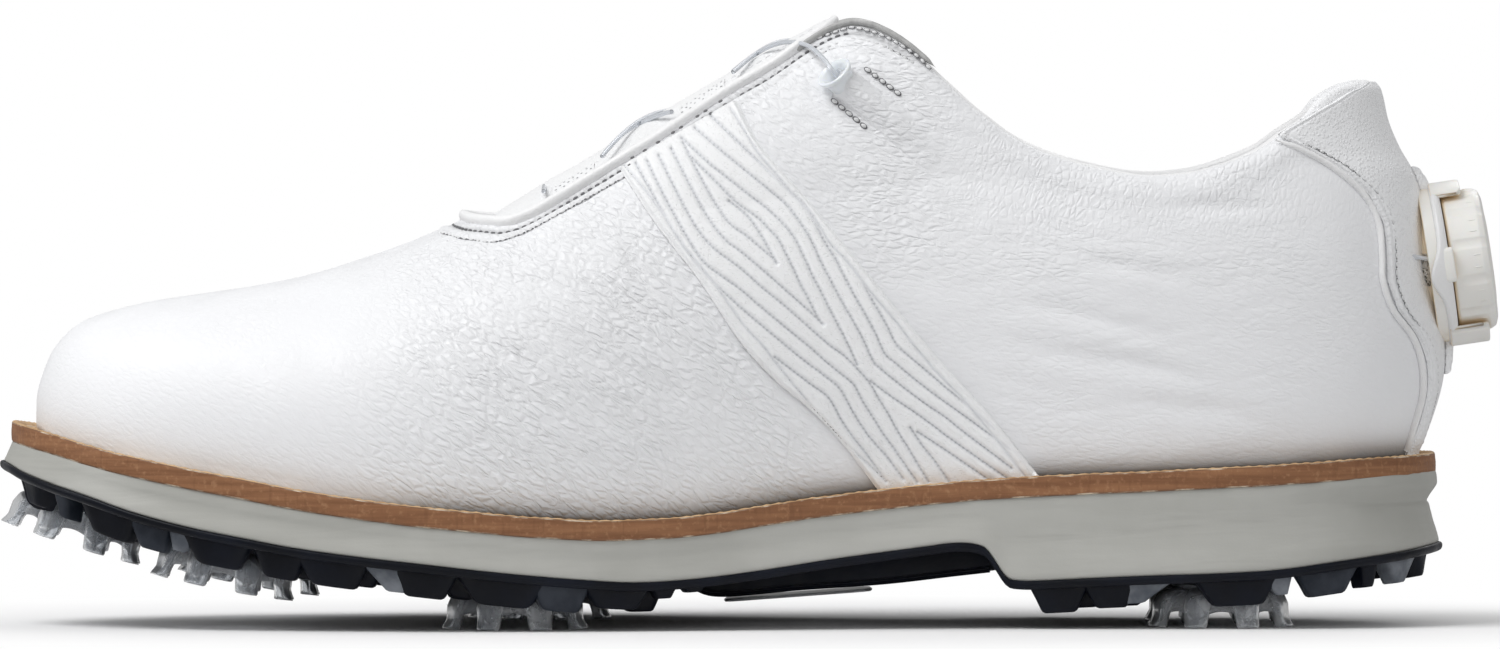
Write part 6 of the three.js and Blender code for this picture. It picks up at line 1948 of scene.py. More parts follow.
def build_backstay():
    columns, low, high = 181, 34.0, 107.95
    rise = np.concatenate([np.linspace(0, 0.9, 120),
                           0.9 + 0.1 * np.sin(np.linspace(0.02, math.pi / 2, 30))])
    z = low + (high - low) * rise
    across = np.linspace(-1, 1, columns)
    reach = backstay_angle(z)[:, None]
    points = heel_cast(np.repeat(z[:, None], columns, 1), reach * across[None])
    normals = skin_normals_near(points)
    radius = np.maximum(np.linalg.norm(points[..., :2] - [HEEL_CENTRE_X, 0], axis=-1), 5)
    inward = np.minimum((1 - np.abs(across))[None] * reach * radius, 30)
    height = (1.15 - 0.7 * (1 - smooth(inward / 0.8)) + 0.12 * value_noise(points, 14.0, 71)
              + 0.05 * value_noise(points, 5.0, 72) - 0.22 * bell(inward - 1.7, 0.5))
    add("backstay_leather",
        two_layers(points + normals * height[..., None], points + normals * 0.02),
        sheet_faces(len(z), columns, True), FINE_LEATHER, replaces=["backstay"],
        slot="fine_leather")


def build_heel_tab_roll():
    """The backstay's top edge turns over the collar in one soft roll."""
    columns = np.array([u for u in COLLAR if EDGE[u][0] > 110.0])
    normals = EDGE_NORMALS[columns]
    path = EDGE[columns] - normals * 1.0 - EDGE_UP[columns] * 0.35
    path, normals = resample_both(path, normals, 240)
    scale = (0.35 + 0.65 * end_fade(240, 26.0)) * (1 + 0.04 * value_noise(path, 5.0, 76))
    add("heel_tab_roll", *sweep(path, oval(2.05, 20, 1.45), normals, scale=scale),
        FINE_LEATHER)


def build_heel_beads():
    """A bead along each backstay edge, with stitches just behind it."""
    threads, holes = Pieces(), Pieces()
    line = np.array(BACKSTAY_EDGE[:-1] + [[131.9, 35.2]])
    line[0] = line[0] + [0.9, -1.1]
    line = curve(line, 220)
    for side, name in SIDES:
        path, normals = side_point(line[:, 0] - 1.0, line[:, 1], side, 0.42)
        scale = 1 + 0.06 * value_noise(path, 3.0, 73)
        scale = scale * (0.3 + 0.7 * smooth(np.arange(220) / 12.0))
        add(f"heel_bead_{name}_roll", *sweep(path, oval(0.60, 14, 0.72), normals, scale=scale),
            PIPING, replaces=[f"heel_bead_{name}"], slot="fine_leather")
        row = side_point(line[8:-4, 0] + 1.5, line[8:-4, 1], side, 1.10)
        stitch_row(threads, *row, 1.75, wide=0.52, high=0.44, fill=0.66)
        stitch_row(holes, *row, 1.75, wide=0.56, high=0.16, fill=0.98, sunk=0.05)
    threads.add("backstay_stitches", THREAD)
    holes.add("backstay_stitch_holes", SHADOW)


# ------------------------------------------------------------------ patch behind the dial
# Where the patch's edge shows in the side view: z, x
PATCH_EDGE = [(50.2, 139.6), (52, 139.0), (55.5, 138.6), (59.6, 138.0), (63, 136.9),
              (66.6, 135.2), (69.5, 133.7), (72.6, 133.2), (76, 134.0), (80.6, 134.7),
              (85, 133.8), (88, 133.1), (90, 132.9), (91, 133.4)]
PATCH_LOW, PATCH_HIGH = PATCH_EDGE[0][0], PATCH_EDGE[-1][0]


def raise_to_dial(points, inward):
    """Draws the leather up from the patch's border to the dial housing's rim."""
    place = np.array(DIAL_PLACE)
    back = np.linalg.inv(place)
    local = points @ back[:3, :3].T + back[:3, 3]
    to_border = np.clip(inward, 0, None)
    to_housing = np.clip(np.hypot(local[..., 0], local[..., 1]) - 15.4, 0, None)
    share = smooth(to_border / (to_border + to_housing + 1e-6)) ** 0.85
    local[..., 2] += np.maximum(0, (-0.9 - local[..., 2])) * share
    return local @ place[:3, :3].T + place[:3, 3]


def build_dial_patch():
    """A raised pad, narrowing to a tongue below the dial."""
    half = [float(width(x, z, 1)) for z, x in PATCH_EDGE]
    half[-1] = max(half[-1], 2.6)
    half_width = Spline([[z, max(w, 2.2)] for (z, _), w in zip(PATCH_EDGE, half)])
    z = PATCH_LOW + (PATCH_HIGH - PATCH_LOW) * (
        0.5 - 0.5 * np.cos(np.linspace(0.0, math.pi, 120)))
    half = (np.maximum(half_width(z), 0.2)
            * smooth(np.minimum((z - 49.6) / 1.2, (91.6 - z) / 1.2)) ** 0.5)
    angle = np.linspace(-1.35, 1.35, 181)
    heel = heel_cast(np.repeat(z[:, None], 181, 1), np.repeat(angle[None], len(z), 0))
    columns = 91
    base = np.empty((len(z), columns, 3))
    for i in range(len(z)):
        y = np.linspace(-half[i], half[i], columns)
        x = np.interp(y, heel[i, :, 1], heel[i, :, 0])
        base[i] = np.stack([x, y, np.full(columns, z[i])], 1)
    normals = skin_normals_near(base)
    inward = np.minimum(half[:, None] - np.abs(base[..., 1]),
                        np.minimum(z - PATCH_LOW, PATCH_HIGH - z)[:, None])
    height = (1.15 + 1.15 * pillow(inward, 1.0) + 0.14 * value_noise(base, 6.0, 74)
              - 0.25 * bell(inward - 1.7, 0.5))
    top = raise_to_dial(base + normals * height[..., None], inward)
    add("dial_patch_leather", two_layers(top, base + normals * 0.9),
        sheet_faces(len(z), columns, True), FINE_LEATHER, replaces=["dial_patch"],
        slot="fine_leather")
    top_normals = grid_normals(top, wrap=False)
    if top_normals[60, 45, 0] < 0:
        top_normals = -top_normals
    threads, holes = Pieces(), Pieces()
    for side, _ in SIDES:
        path, along = [], []
        for i in np.where((z > 52.5) & (z < 90.2) & (half > 3.2))[0]:
            at = np.interp(side * (half[i] - 1.7), base[i, :, 1], np.arange(columns))
            k = int(min(at, columns - 2))
            f = at - k
            path.append(top[i, k] * (1 - f) + top[i, k + 1] * f)
            along.append(unit(top_normals[i, k]))
        along = np.array(along)
        row = resample_both(np.array(path) + along * 0.08, along, 200)
        stitch_row(threads, *row, 1.7, wide=0.72, high=0.6, fill=0.70, slant=0.3 * side)
        stitch_row(holes, *row, 1.7, wide=0.66, high=0.18, fill=0.98, sunk=0.08)
    threads.add("dial_patch_stitches", THREAD)
    holes.add("dial_patch_stitch_holes", SHADOW)


build_backstay()
build_heel_tab_roll()
build_heel_beads()
build_dial_patch()

# ------------------------------------------------------------------ throat opening
_edge = SKIN[THROAT_START:TIP_COLUMN + 1, -1][::-1]
_half = np.abs(_edge[:, 1] - ridge_y(_edge[:, 0]))
_keep = np.concatenate([[True], np.diff(_edge[:, 0]) > 1e-3])
THROAT_X, THROAT_HALF, THROAT_Z = _edge[_keep, 0], _half[_keep], _edge[_keep, 2]


def throat_half(x):
    return np.interp(x, THROAT_X, THROAT_HALF)


def throat_z(x):
    return np.interp(x, THROAT_X, THROAT_Z)


def crown(x, y, depth):
    """Height of a surface arched across the throat, lowered by depth."""
    s = np.abs(y - ridge_y(x)) / np.maximum(throat_half(x), 3)
    top = ridge(x) - 1.5
    return top - (top - throat_z(x)) * s * s - depth


# ------------------------------------------------------------------ tongue
TONGUE_START, TONGUE_END = -51.5, 16.6
TONGUE_X = np.array([TONGUE_START, -48, -42, -34, -24, -12, 0, 9, 14.5, TONGUE_END])
TONGUE_HALF = (np.maximum(2.5, throat_half(TONGUE_X) - 6.6)
               * np.array([1, 1, 1, 1, 1, 1, 1, 1, 0.92, 0.72]))


def tongue_half(x):
    return np.interp(x, TONGUE_X, TONGUE_HALF)


def swell(obj, voxel, pressure, limit, frames=20):
    """Remeshes, runs a short cloth under pressure without gravity, and keeps the result."""
    scene = bpy.context.scene
    modify(obj, "REMESH", mode="VOXEL", voxel_size=voxel)
    graph = bpy.context.evaluated_depsgraph_get()
    mesh = bpy.data.meshes.new_from_object(obj.evaluated_get(graph))
    obj.modifiers.clear()
    old = list(obj.data.materials)
    obj.data = mesh
    mesh.materials.clear()
    for material in old:
        mesh.materials.append(material)
    rest = np.array([v.co for v in mesh.vertices])
    cloth = obj.modifiers.new("cloth", "CLOTH")
    settings = cloth.settings
    settings.quality = 6
    settings.mass = 0.2
    settings.use_pressure = True
    settings.uniform_pressure_force = pressure
    settings.tension_stiffness = 12
    settings.compression_stiffness = 12
    settings.shear_stiffness = 8
    settings.bending_stiffness = 0.6
    settings.effector_weights.gravity = 0
    cloth.collision_settings.use_collision = False
    cloth.point_cache.frame_start, cloth.point_cache.frame_end = 1, frames
    for step in range(1, frames + 1):
        scene.frame_set(step)
    graph = bpy.context.evaluated_depsgraph_get()
    moved = np.array([v.co for v in obj.evaluated_get(graph).data.vertices])
    obj.modifiers.clear()
    scene.frame_set(1)
    # Guards against a cloth run that failed; the unswollen pad then stays
    if moved.shape == rest.shape and np.isfinite(moved).all():
        step = moved - rest
        far = np.linalg.norm(step, axis=1, keepdims=True)
        step = step * np.minimum(1, limit / np.maximum(far, 1e-12))
        mesh.vertices.foreach_set("co", (rest + step).astype(np.float32).ravel())
    mesh.update()
    mesh.polygons.foreach_set("use_smooth", [True] * len(mesh.polygons))


def build_tongue_pad():
    nx, ny = 84, 40
    x = TONGUE_START + (TONGUE_END - TONGUE_START) * (
        0.5 - 0.5 * np.cos(np.linspace(0, math.pi, nx)))
    across = np.sin(np.linspace(-math.pi / 2, math.pi / 2, ny))
    X = np.repeat(x[:, None], ny, 1)
    Y = ridge_y(X) + across[None] * tongue_half(X)
    inward = np.minimum((1 - np.abs(across))[None] * tongue_half(X),
                        np.minimum(X - TONGUE_START, TONGUE_END - X) + 0.15)
    half_thick = 0.12 + 1.25 * pillow(inward, 1.7)
    z = crown(X, Y, 2.4)
    verts = two_layers(np.stack([X, Y, z + half_thick], -1), np.stack([X, Y, z - half_thick], -1))
    tongue = add("tongue_pad", verts, sheet_faces(nx, ny), MICROFIBRE, body=None)
    swell(tongue, voxel=0.0011, pressure=4.0, limit=0.0011)
    modify(tongue, "SUBSURF", levels=1, render_levels=1)
    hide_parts("tongue")
    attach(tongue, "tongue_body")


def build_tongue_trim():
    """Binding round the tongue's edge, and two lines of stitches down it."""
    line = [(x, float(ridge_y(x)) - float(tongue_half(x)) + 0.25)
            for x in np.linspace(-44, 15.6, 90)]
    for k in np.linspace(-0.66, 0.66, 30):
        line.append((15.9 + 1.0 * math.cos(k / 0.66 * math.pi / 2),
                     float(ridge_y(16)) + k * TONGUE_HALF[7] * 0.98))
    line += [(x, float(ridge_y(x)) + float(tongue_half(x)) - 0.25)
             for x in np.linspace(15.6, -44, 90)]
    x, y = np.array(line).T
    path = resample(np.stack([x, y, crown(x, y, 2.3)], 1), 320)
    # The normals lean slightly, so that none lines up with the path
    add("tongue_binding", *sweep(path, oval(0.95, 14, 1.25), upward(320) + 1e-3), PIPING,
        body="tongue_body")
    threads = Pieces()
    for k in (-0.62, 0.62):
        x = np.linspace(-42, 13, 160)
        y = ridge_y(x) + k * tongue_half(x)
        stitch_row(threads, np.stack([x, y, crown(x, y, 0.98)], 1), upward(160), 2.0,
                   wide=0.6, high=0.5, fill=0.72)
    threads.add("tongue_stitches", THREAD, body="tongue_body")


def blend_by_y(obj, start_y):
    """Bakes the object's transform into its mesh; start_y is not used."""
    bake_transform(obj)


def build_gussets():
    nx, ny = 60, 12
    for side, name in SIDES:
        X = np.repeat(np.linspace(-50, 9, nx)[:, None], ny, 1)
        k = np.linspace(0, 1, ny)[None]
        inner, outer = tongue_half(X) - 2.5, throat_half(X) - 1.0
        Y = ridge_y(X) + side * (inner + (outer - inner) * k)
        Z = (crown(X, Y, 4.6 - k * 0.7) - 0.35
             - 0.9 * np.sin(math.pi * k) * smooth((X + 50) / 8))
        verts = two_layers(np.stack([X, Y, Z + 0.3], -1), np.stack([X, Y, Z - 0.3], -1))
        fold = add(f"tongue_gusset_{name}_fold", verts, sheet_faces(nx, ny, side < 0), KNIT,
                   body=None, replaces=[f"tongue_gusset_{name}"], slot="lining_fabric")
        blend_by_y(fold, side * 17.0)


def build_lace_loops():
    """Flattened webbing loops that carry the lace, round at their inner ends."""
    nx, n = 22, 40
    for level, x0, x1 in (("upper", -14, -5), ("lower", -39.5, -31)):
        for side, name in SIDES:
            grid = []
            for x in np.linspace(x0, x1, nx):
                inner, outer = float(throat_half(x)) - 6.4, float(throat_half(x)) - 0.8
                taper = 1.0 - 0.10 * (abs(2 * (x - x0) / (x1 - x0) - 1) ** 6)
                for t in np.linspace(0, 2 * math.pi, n, endpoint=False):
                    c, s = math.cos(t), math.sin(t)
                    out = (inner + outer) / 2 + (outer - inner) / 2 * (-c) * taper
                    y = float(ridge_y(x)) + side * out
                    thick = 1.15 * (0.55 + 0.45 * (0.5 + 0.5 * c))
                    square = abs(s) ** -0.25 if abs(s) > 1e-3 else 1
                    grid.append((x, y, float(crown(x, y, 0.0)) + 0.15 + s * thick * square))
            faces = grid_faces(nx, n, False, True, side > 0).tolist()
            add(f"lace_loop_{level}_{name}", grid, faces + end_caps(nx, n, side > 0), WEBBING,
                replaces=[f"lace_guide_{level}_{name}"], slot="webbing")


def build_tongue_root():
    """The flat end that stays sewn under the front of the throat."""
    nx, ny = 40, 31
    X = np.repeat(np.linspace(-61.5, -37.0, nx)[:, None], ny, 1)
    open_x = np.maximum(X, -46.0)
    half = (throat_half(open_x) + 1.4) * np.sqrt(
        np.clip(1 - (np.maximum(-50.0 - X, 0) / 14.0) ** 2, 0.05, 1))
    Y = ridge_y(X) + np.linspace(-1, 1, ny)[None] * half
    share = np.abs(Y - ridge_y(X)) / throat_half(open_x)
    fall = ridge(open_x) - 1.5 - throat_z(open_x)
    uneven = value_noise(np.stack([X, Y, X * 0 + 70], -1), 4.0, 311)
    top = np.stack([X, Y, ridge(X) - 1.5 - 4.7 - fall * share ** 2 + 0.06 * uneven], -1)
    add("tongue_root", two_layers(top, top - np.array([0, 0, 0.9])), sheet_faces(nx, ny),
        MICROFIBRE)


build_tongue_pad()
build_tongue_trim()
build_gussets()
build_lace_loops()
build_tongue_root()

# ------------------------------------------------------------------ dial
# Profiles are (radius, z) in the dial's own frame, its axis along z.
HOUSING = [(9.7, -1.9), (9.7, 5.0), (11.0, 5.0), (11.0, 0.35), (13.2, 0.35), (14.3, 0.0),
           (15.6, 0.0), (15.6, -4.0), (12.5, -4.0), (12.5, -5.2), (2.4, -5.2), (2.4, -1.9)]
KNOB = [(3.4, 5.0), (9.3, 5.0), (9.3, 5.8), (11.5, 5.8), (11.5, 0.5), (13.8, 0.5), (14.2, 1.0),
        (14.2, 7.0), (13.6, 8.1), (12.2, 8.6), (10.9, 8.6), (10.9, 7.9), (3.4, 7.9)]
KNOB_RADIUS, FLUTES, FLUTE_HALF_WIDTH, FLUTE_DEPTH = 14.2, 12, 1.15, 0.26
CAP = [(0, 8.72), (4, 8.75), (9.4, 8.72), (10.2, 8.62), (10.5, 8.35), (10.5, 8.05), (0, 8.05)]
SPOOL = [(2.2, -1.6), (9.2, -1.6), (9.2, -0.9), (6.6, -0.9), (6.6, 1.7), (9.2, 1.7),
         (9.2, 3.6), (2.2, 3.6)]
CLUTCH = [(1.65, -1.4), (2.05, -1.4), (2.05, 4.0), (9.0, 4.0), (9.0, 4.8), (1.65, 4.8)]
SCREW = [(0, 7.55), (0.9, 7.55), (1.0, 7.9), (2.6, 7.9), (2.9, 7.6), (2.9, 6.6), (1.45, 6.6),
         (1.45, -1.8), (0, -1.8)]


def build_flange():
    """Smooth flange round the housing's rim, dipping in an ear at each side."""
    around, steps = 180, 14
    verts = []
    for i in range(around):
        a = 2 * math.pi * i / around
        x, y = 16.4 * math.cos(a), 16.4 * math.sin(a)
        ear = math.exp(-((x - 2.2) / 4.2) ** 2) * (abs(y) > 6)
        low = -1.0 - 2.7 * ear
        radius = 16.3 + 0.9 * ear
        section = [(14.9 + (radius - 14.9) * t ** 1.3 + 0.25 * math.sin(math.pi * t),
                    0.25 + (low - 0.25) * (1 - math.cos(t * math.pi / 2)))
                   for t in np.linspace(0, 1, steps)]
        section += [(14.3 + (radius - 15.0) * t, -0.9 + (low - 0.1) * t * 0.8)
                    for t in np.linspace(1, 0, steps)]
        verts += [(r * math.cos(a), r * math.sin(a), z) for r, z in section]
    add("dial_flange", verts, grid_faces(around, 2 * steps, True, True), PIPING,
        matrix=DIAL_PLACE)


def arc_block(middle, half_angle, r0, r1, z0, z1, steps=40, radius=0.45):
    """A rounded block bent round the axis, its ends drawn in."""
    section = rounded_loop([(r0, z0), (r1, z0), (r1, z1), (r0, z1)], radius)
    start, sweep_angle = middle - half_angle, 2 * half_angle
    verts = []
    for k in range(steps):
        t = k / (steps - 1)
        to_end = min(t, 1 - t) * sweep_angle * (r0 + r1) / 2
        size = 1 - 0.55 * (1 - math.sqrt(max(0, 1 - (1 - min(to_end / 0.9, 1)) ** 2)))
        a = start + sweep_angle * t
        for r, z in section:
            r = (r0 + r1) / 2 + (r - (r0 + r1) / 2) * size
            verts.append((r * math.cos(a), r * math.sin(a),
                          z0 + (z - z0) * (0.75 + 0.25 * size)))
    faces = grid_faces(steps, len(section), False, True, True).tolist()
    return verts, faces + end_caps(steps, len(section))


def build_bumpers():
    pieces = Pieces()
    pieces.put(*arc_block(0, 0.62, 14.9, 16.6, -1.5, 6.4))
    pieces.put(*arc_block(math.pi, 0.5, 14.9, 16.4, -1.5, 4.6))
    # Two low shoulders, one at each side
    for a in (math.pi / 2, -math.pi / 2):
        pieces.put(*arc_block(a, 0.24, 11.6, 16.1, -1.5, 1.15, steps=24, radius=0.5))
    pieces.add("dial_bumpers", DIAL, matrix=DIAL_PLACE)


def build_knob():
    """A shallow cap with thumb flutes round its skirt, and ticks between them."""
    corners = rounded_loop(KNOB, 0.22)
    profile = []
    for a, b in zip(corners, np.roll(corners, -1, 0)):
        n = max(1, int(np.linalg.norm(b - a) / 0.5))
        profile += [a + (b - a) * k / n for k in range(n)]
    segments = 480
    angle = np.arange(segments) / segments * 2 * math.pi
    phase = (angle / (2 * math.pi) * FLUTES) % 1.0
    flute_share = FLUTE_HALF_WIDTH / (2 * math.pi * KNOB_RADIUS / FLUTES)
    flute = np.clip(1 - (np.abs(phase - 0.5) / flute_share) ** 2, 0, 1)
    verts = np.empty((segments, len(profile), 3))
    for j, (r, z) in enumerate(profile):
        r = r - smooth((r - 12.6) / 0.7) * smooth((z - 1.0) / 0.7) * (FLUTE_DEPTH * flute)
        verts[:, j] = np.stack([r * np.cos(angle), r * np.sin(angle),
                                np.full(segments, z)], 1)
    knob = dict(body="dial_knob_body", matrix=DIAL_PLACE)
    add("dial_knob_grip", verts, grid_faces(segments, len(profile), True, True), DIAL,
        replaces=["dial_knob"], slot="dial_plastic", **knob)
    ticks = Pieces()
    for i in range(3 * FLUTES):
        if i % 3 == 1:
            continue
        a = (i + 0.5) * math.pi / 18
        c, s = math.cos(a), math.sin(a)
        path = [[14.16 * c, 14.16 * s, 5.0 + 1.6 * t] for t in np.linspace(0, 1, 5)]
        ticks.put(*sweep(path, oval(0.16, 8), np.tile([c, s, 0], (5, 1)),
                         scale=[0.4, 1, 1, 1, 0.4]))
    ticks.add("dial_knob_ticks", DIAL, **knob)
    add("dial_cap_disc", *lathe(rounded_profile(CAP, 0.15, 3), 128), DIAL,
        replaces=["dial_cap"], slot="dial_plastic", **knob)
    rings = Pieces()
    for r, half_wide in ((8.6, 0.22), (3.2, 0.18)):
        a = np.linspace(0, 2 * math.pi, 97)[:-1]
        path = np.stack([r * np.cos(a), r * np.sin(a), np.full(96, 8.74)], 1)
        rings.put(*sweep(path, oval(half_wide, 10, 0.12), upward(96), closed=True))
    rings.add("dial_cap_rings", DIAL, **knob)


def build_spool():
    """Spool, wound cord, clutch and screw."""
    add("dial_spool_drum", *lathe(rounded_loop(SPOOL, 0.15, 2), 96, closed=True), DIAL,
        body="dial_spool_body", matrix=DIAL_PLACE, replaces=["dial_spool"],
        slot="dial_plastic")
    a = np.linspace(0, 2 * math.pi * 2.6, 260)
    path = np.stack([7.15 * np.cos(a), 7.15 * np.sin(a), -0.4 + 1.6 * a / a[-1]], 1)
    add("dial_wound_cord",
        *sweep(path, oval(0.42, 10), np.stack([np.cos(a), np.sin(a), 0 * a], 1)), LACE,
        body="dial_spool_body", matrix=DIAL_PLACE)
    add("dial_clutch_disc", *lathe(rounded_loop(CLUTCH, 0.12, 2), 96, closed=True), STEEL,
        body="dial_clutch_body", matrix=DIAL_PLACE, replaces=["dial_clutch"], slot="steel")
    add("dial_centre_screw", *lathe(rounded_profile(SCREW, 0.1, 2), 64), STEEL,
        matrix=DIAL_PLACE, replaces=["dial_screw"], slot="steel")


add("dial_housing", *lathe(rounded_loop(HOUSING, 0.35), 128, closed=True), DIAL,
    matrix=DIAL_PLACE, replaces=["dial_base"], slot="dial_plastic")
build_flange()
build_bumpers()
build_knob()
build_spool()

# ------------------------------------------------------------------ lace mouths
FERRULE_PROFILE = [(1.25, -2.8), (2.6, -2.8), (2.95, -1.3), (3.3, -0.3), (3.75, 0.4),
                   (3.95, 0.95), (3.55, 1.3), (2.75, 0.8), (1.95, -0.4), (1.3, -1.7)]
TUNNEL_START, TUNNEL_END = np.array([18.5, 108.7]), np.array([41.3, 91.3])  # x, z
# Stitch lines beside the tunnel: start and end in the side view
TUNNEL_STITCHES = (((16.2, 105.4), (23.4, 99.4)), ((22.8, 111.6), (30.2, 106.0)))


def ferrule_place(side):
    """At the lace mouth, its axis between the cord's run and the surface normal."""
    mouth, _ = side_point(17.6, 108.9, side, 2.7)
    behind, _ = side_point(24.3, 103.2, side, 1.6)
    _, normal = side_point(17.8, 110.2, side)
    axis = unit(unit(mouth - behind) + 0.95 * normal)
    turn = Vector((0, 0, 1)).rotation_difference(Vector(axis))
    return Matrix.Translation(Vector(mouth)) @ turn.to_matrix().to_4x4()


def build_tunnel(side, name):
    """Leather drawn over the cord, fading into the quarter behind."""
    ns, nt = 70, 49
    way = (TUNNEL_END - TUNNEL_START) / np.linalg.norm(TUNNEL_END - TUNNEL_START)
    normal = np.array([-way[1], way[0]])
    along = np.linspace(0, 1, ns)[:, None]
    across = np.linspace(-1, 1, nt)
    away = np.abs(across)[None]
    half = 3.75 + 0.9 * along
    flat = (TUNNEL_START + (TUNNEL_END - TUNNEL_START) * along[..., None]
            + normal * (half * across[None])[..., None])
    x, z = flat[..., 0], flat[..., 1]
    points, normals = side_point(x, np.minimum(z, ridge(x) - 1), side)
    hoop = 0.55 * (1 - smooth(along / 0.30))
    arch = (np.sqrt(np.clip(1 - (away / 0.86) ** 2, 0, 1)) * hoop
            + (1 - hoop) * (np.cos(np.clip(away * 1.04, 0, 1) * math.pi) * 0.5 + 0.5))
    up = 4.4 * (1 - along) ** 1.7 * arch + creased(points) + 0.10 * value_noise(points, 3.0, 81)
    sink = 0.55 * smooth((along - 0.72) / 0.28)
    inward = np.minimum(np.minimum(along * 22, (1 - along) * 22), (1 - away) * half)
    edge = 0.5 * (1 - smooth(inward / 1.0)) * (along > 0.05)
    lip = bell(along * 22, 0.9) * (np.cos(away * math.pi) * 0.5 + 0.5)
    top = points + normals * (up + 0.12 - sink - edge)[..., None]
    top = top + normals * (0.25 * lip)[..., None]
    bottom = points + normals * (up - 0.95)[..., None]
    add(f"lace_tunnel_{name}", two_layers(top, bottom), sheet_faces(ns, nt, side > 0),
        WHITE_LEATHER)
    threads, holes = Pieces(), Pieces()
    for (x0, z0), (x1, z1) in TUNNEL_STITCHES:
        t = np.linspace(0, 1, 60)
        x, z = x0 + (x1 - x0) * t, z0 + (z1 - z0) * t
        row = side_point(x, np.minimum(z, ridge(x) - 1), side, 0.34)
        stitch_row(threads, *row, 1.9, wide=0.78, high=0.60, fill=0.66, slant=0.10)
        stitch_row(holes, *row, 1.9, wide=1.0, high=0.3, fill=0.90, sunk=0.06)
    threads.add(f"lace_tunnel_stitches_{name}", THREAD)
    holes.add(f"lace_tunnel_holes_{name}", SHADOW)


FERRULES = {}
for _side, _name in SIDES:
    FERRULES[_side] = ferrule_place(_side)
    add(f"lace_ferrule_{_name}_ring", *lathe(rounded_loop(FERRULE_PROFILE, 0.25), 72, True),
        FERRULE, matrix=FERRULES[_side], replaces=[f"lace_ferrule_{_name}"],
        slot="dial_plastic")
    build_tunnel(_side, _name)


# ------------------------------------------------------------------ lace over the tongue
def loop_point(x, side, outward=0.0):
    """Where the lace enters a loop at the throat's edge."""
    y = float(ridge_y(x)) + side * (float(throat_half(x)) - 6.2 + outward)
    return np.array([x, y, float(crown(x, y, 0)) + 1.0])


def cord(name, points, split_y):
    """A lace cord swept along the points."""
    path = curve(points, 90)
    obj = add(name, *sweep(path, oval(0.46, 12)), LACE, body=None)
    if abs(path[0, 1] - split_y) < abs(path[-1, 1] - split_y):
        path = path[::-1]
    # Which points lie on the tongue, out to the tongue's edge
    y = path[:, 1]
    on_tongue = np.abs(y - ridge_y(path[:, 0])) < tongue_half(path[:, 0]) - 0.6
    blend_by_y(obj, y[0])
    return obj


def cord_halves(name, points):
    """One lace run in two halves, split near its middle."""
    path = curve(points, 161)
    k = int(np.argmin(np.abs(path[:, 1] - (path[0, 1] + path[-1, 1]) / 2)))
    out = []
    for part, half in (("a", path[:k + 2]), ("b", path[k:][::-1])):
        thin = half[::max(1, len(half) // 40)]
        if not (thin[-1] == half[-1]).all():
            thin = np.vstack([thin, half[-1:]])
        out.append(cord(f"{name}_{part}", thin, path[k, 1]))
    return out


def arched_run(start, end, stations, height, power=1.0):
    middle = [start + (end - start) * t
              + np.array([0, 0, height * math.sin(math.pi * t) ** power]) for t in stations]
    return [start, *middle, end]


def build_laces():
    top, middle = [], []
    for side, name in SIDES:
        place = FERRULES[side]
        inner, mouth = (np.array(place @ Vector((0, 0, z))) for z in (-1.6, 1.6))
        end = loop_point(-3.4, -side)
        run = [mouth + (end - mouth) * t + np.array([0, 0, rise]) for t, rise in
               ((0.10, 2.6), (0.24, 4.9), (0.42, 5.7), (0.60, 5.1), (0.8, 3.0))]
        top += cord_halves(f"lace_top_{name}", [inner, mouth, *run, end])
    for side, name in SIDES:
        middle += cord_halves(f"lace_middle_{name}", arched_run(
            loop_point(-15.6, side), loop_point(-29.6, -side), (0.12, 0.3, 0.5, 0.7, 0.88),
            height=1.5 + 0.7 * (side > 0), power=0.85))
    front = cord_halves("lace_front", arched_run(
        loop_point(-41.2, -1, -0.5), loop_point(-41.2, 1, -0.5),
        (0.15, 0.35, 0.5, 0.65, 0.85), height=0.9))
    for run, name in ((top, "top"), (middle, "middle"), (front, "front")):
        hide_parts(f"lace_cross_{name}")


build_laces()

# ------------------------------------------------------------------ CAD pieces that stay
for _mat, _names in (
        (STEEL, ("shank", "dial_clutch", "dial_screw")), (CORK, ("bottom_filler",)),
        (BOARD, ("insole_board", "toe_puff", "heel_counter")),
        (FERRULE, ("lace_tube_medial", "lace_tube_lateral")),
        (LACE, ("lace_run_medial", "lace_run_lateral")), (DIAL, ("dial_spool",)),
        (KNIT, ("lining",)), (FOOTBED, ("footbed",))):
    for _name in _names:
        dress(_name, _mat)
for _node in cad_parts.values():
    if not _node.hide_render and _node.name != "shank" and hasattr(_node.data, "shade_smooth"):
        _node.data.shade_smooth()


# ------------------------------------------------------------------ floor, light, camera
def floor_material():
    """Pale round the shoe; away from it the floor is lit evenly to white."""
    m = Mat("floor_pale", (0.92, 0.92, 0.925), 0.9, Specular_IOR_Level=0.1)
    m.set(Base_Color=m.mix(m.noise(4, detail=2), low=(0.915, 0.915, 0.92),
                           high=(0.925, 0.925, 0.93)))
    x, y = m.axis(0), m.axis(1)
    # Distance from the middle, drawn out along the shoe
    radius = m.math("SQRT", m.plus(m.times(m.times(x, x), 0.35), m.times(y, y)))
    far = m.ramp(radius, span=(0.07, 0.16))
    ray = m.node("ShaderNodeLightPath").outputs
    seen = m.math("MAXIMUM", ray["Is Camera Ray"], ray["Is Transmission Ray"])
    glow = m.node("ShaderNodeEmission", {
        "Color": (1, 1, 1, 1),
        "Strength": m.ramp(seen, span=(0.0, 1.0), to=(0.42, 1.0), kind="LINEAR")})
    mixed = m.node("ShaderNodeMixShader", {0: far, 1: m.shader.outputs[0], 2: glow.outputs[0]})
    m.tree.links.new(mixed.outputs[0], m.out.inputs[0])
    return m


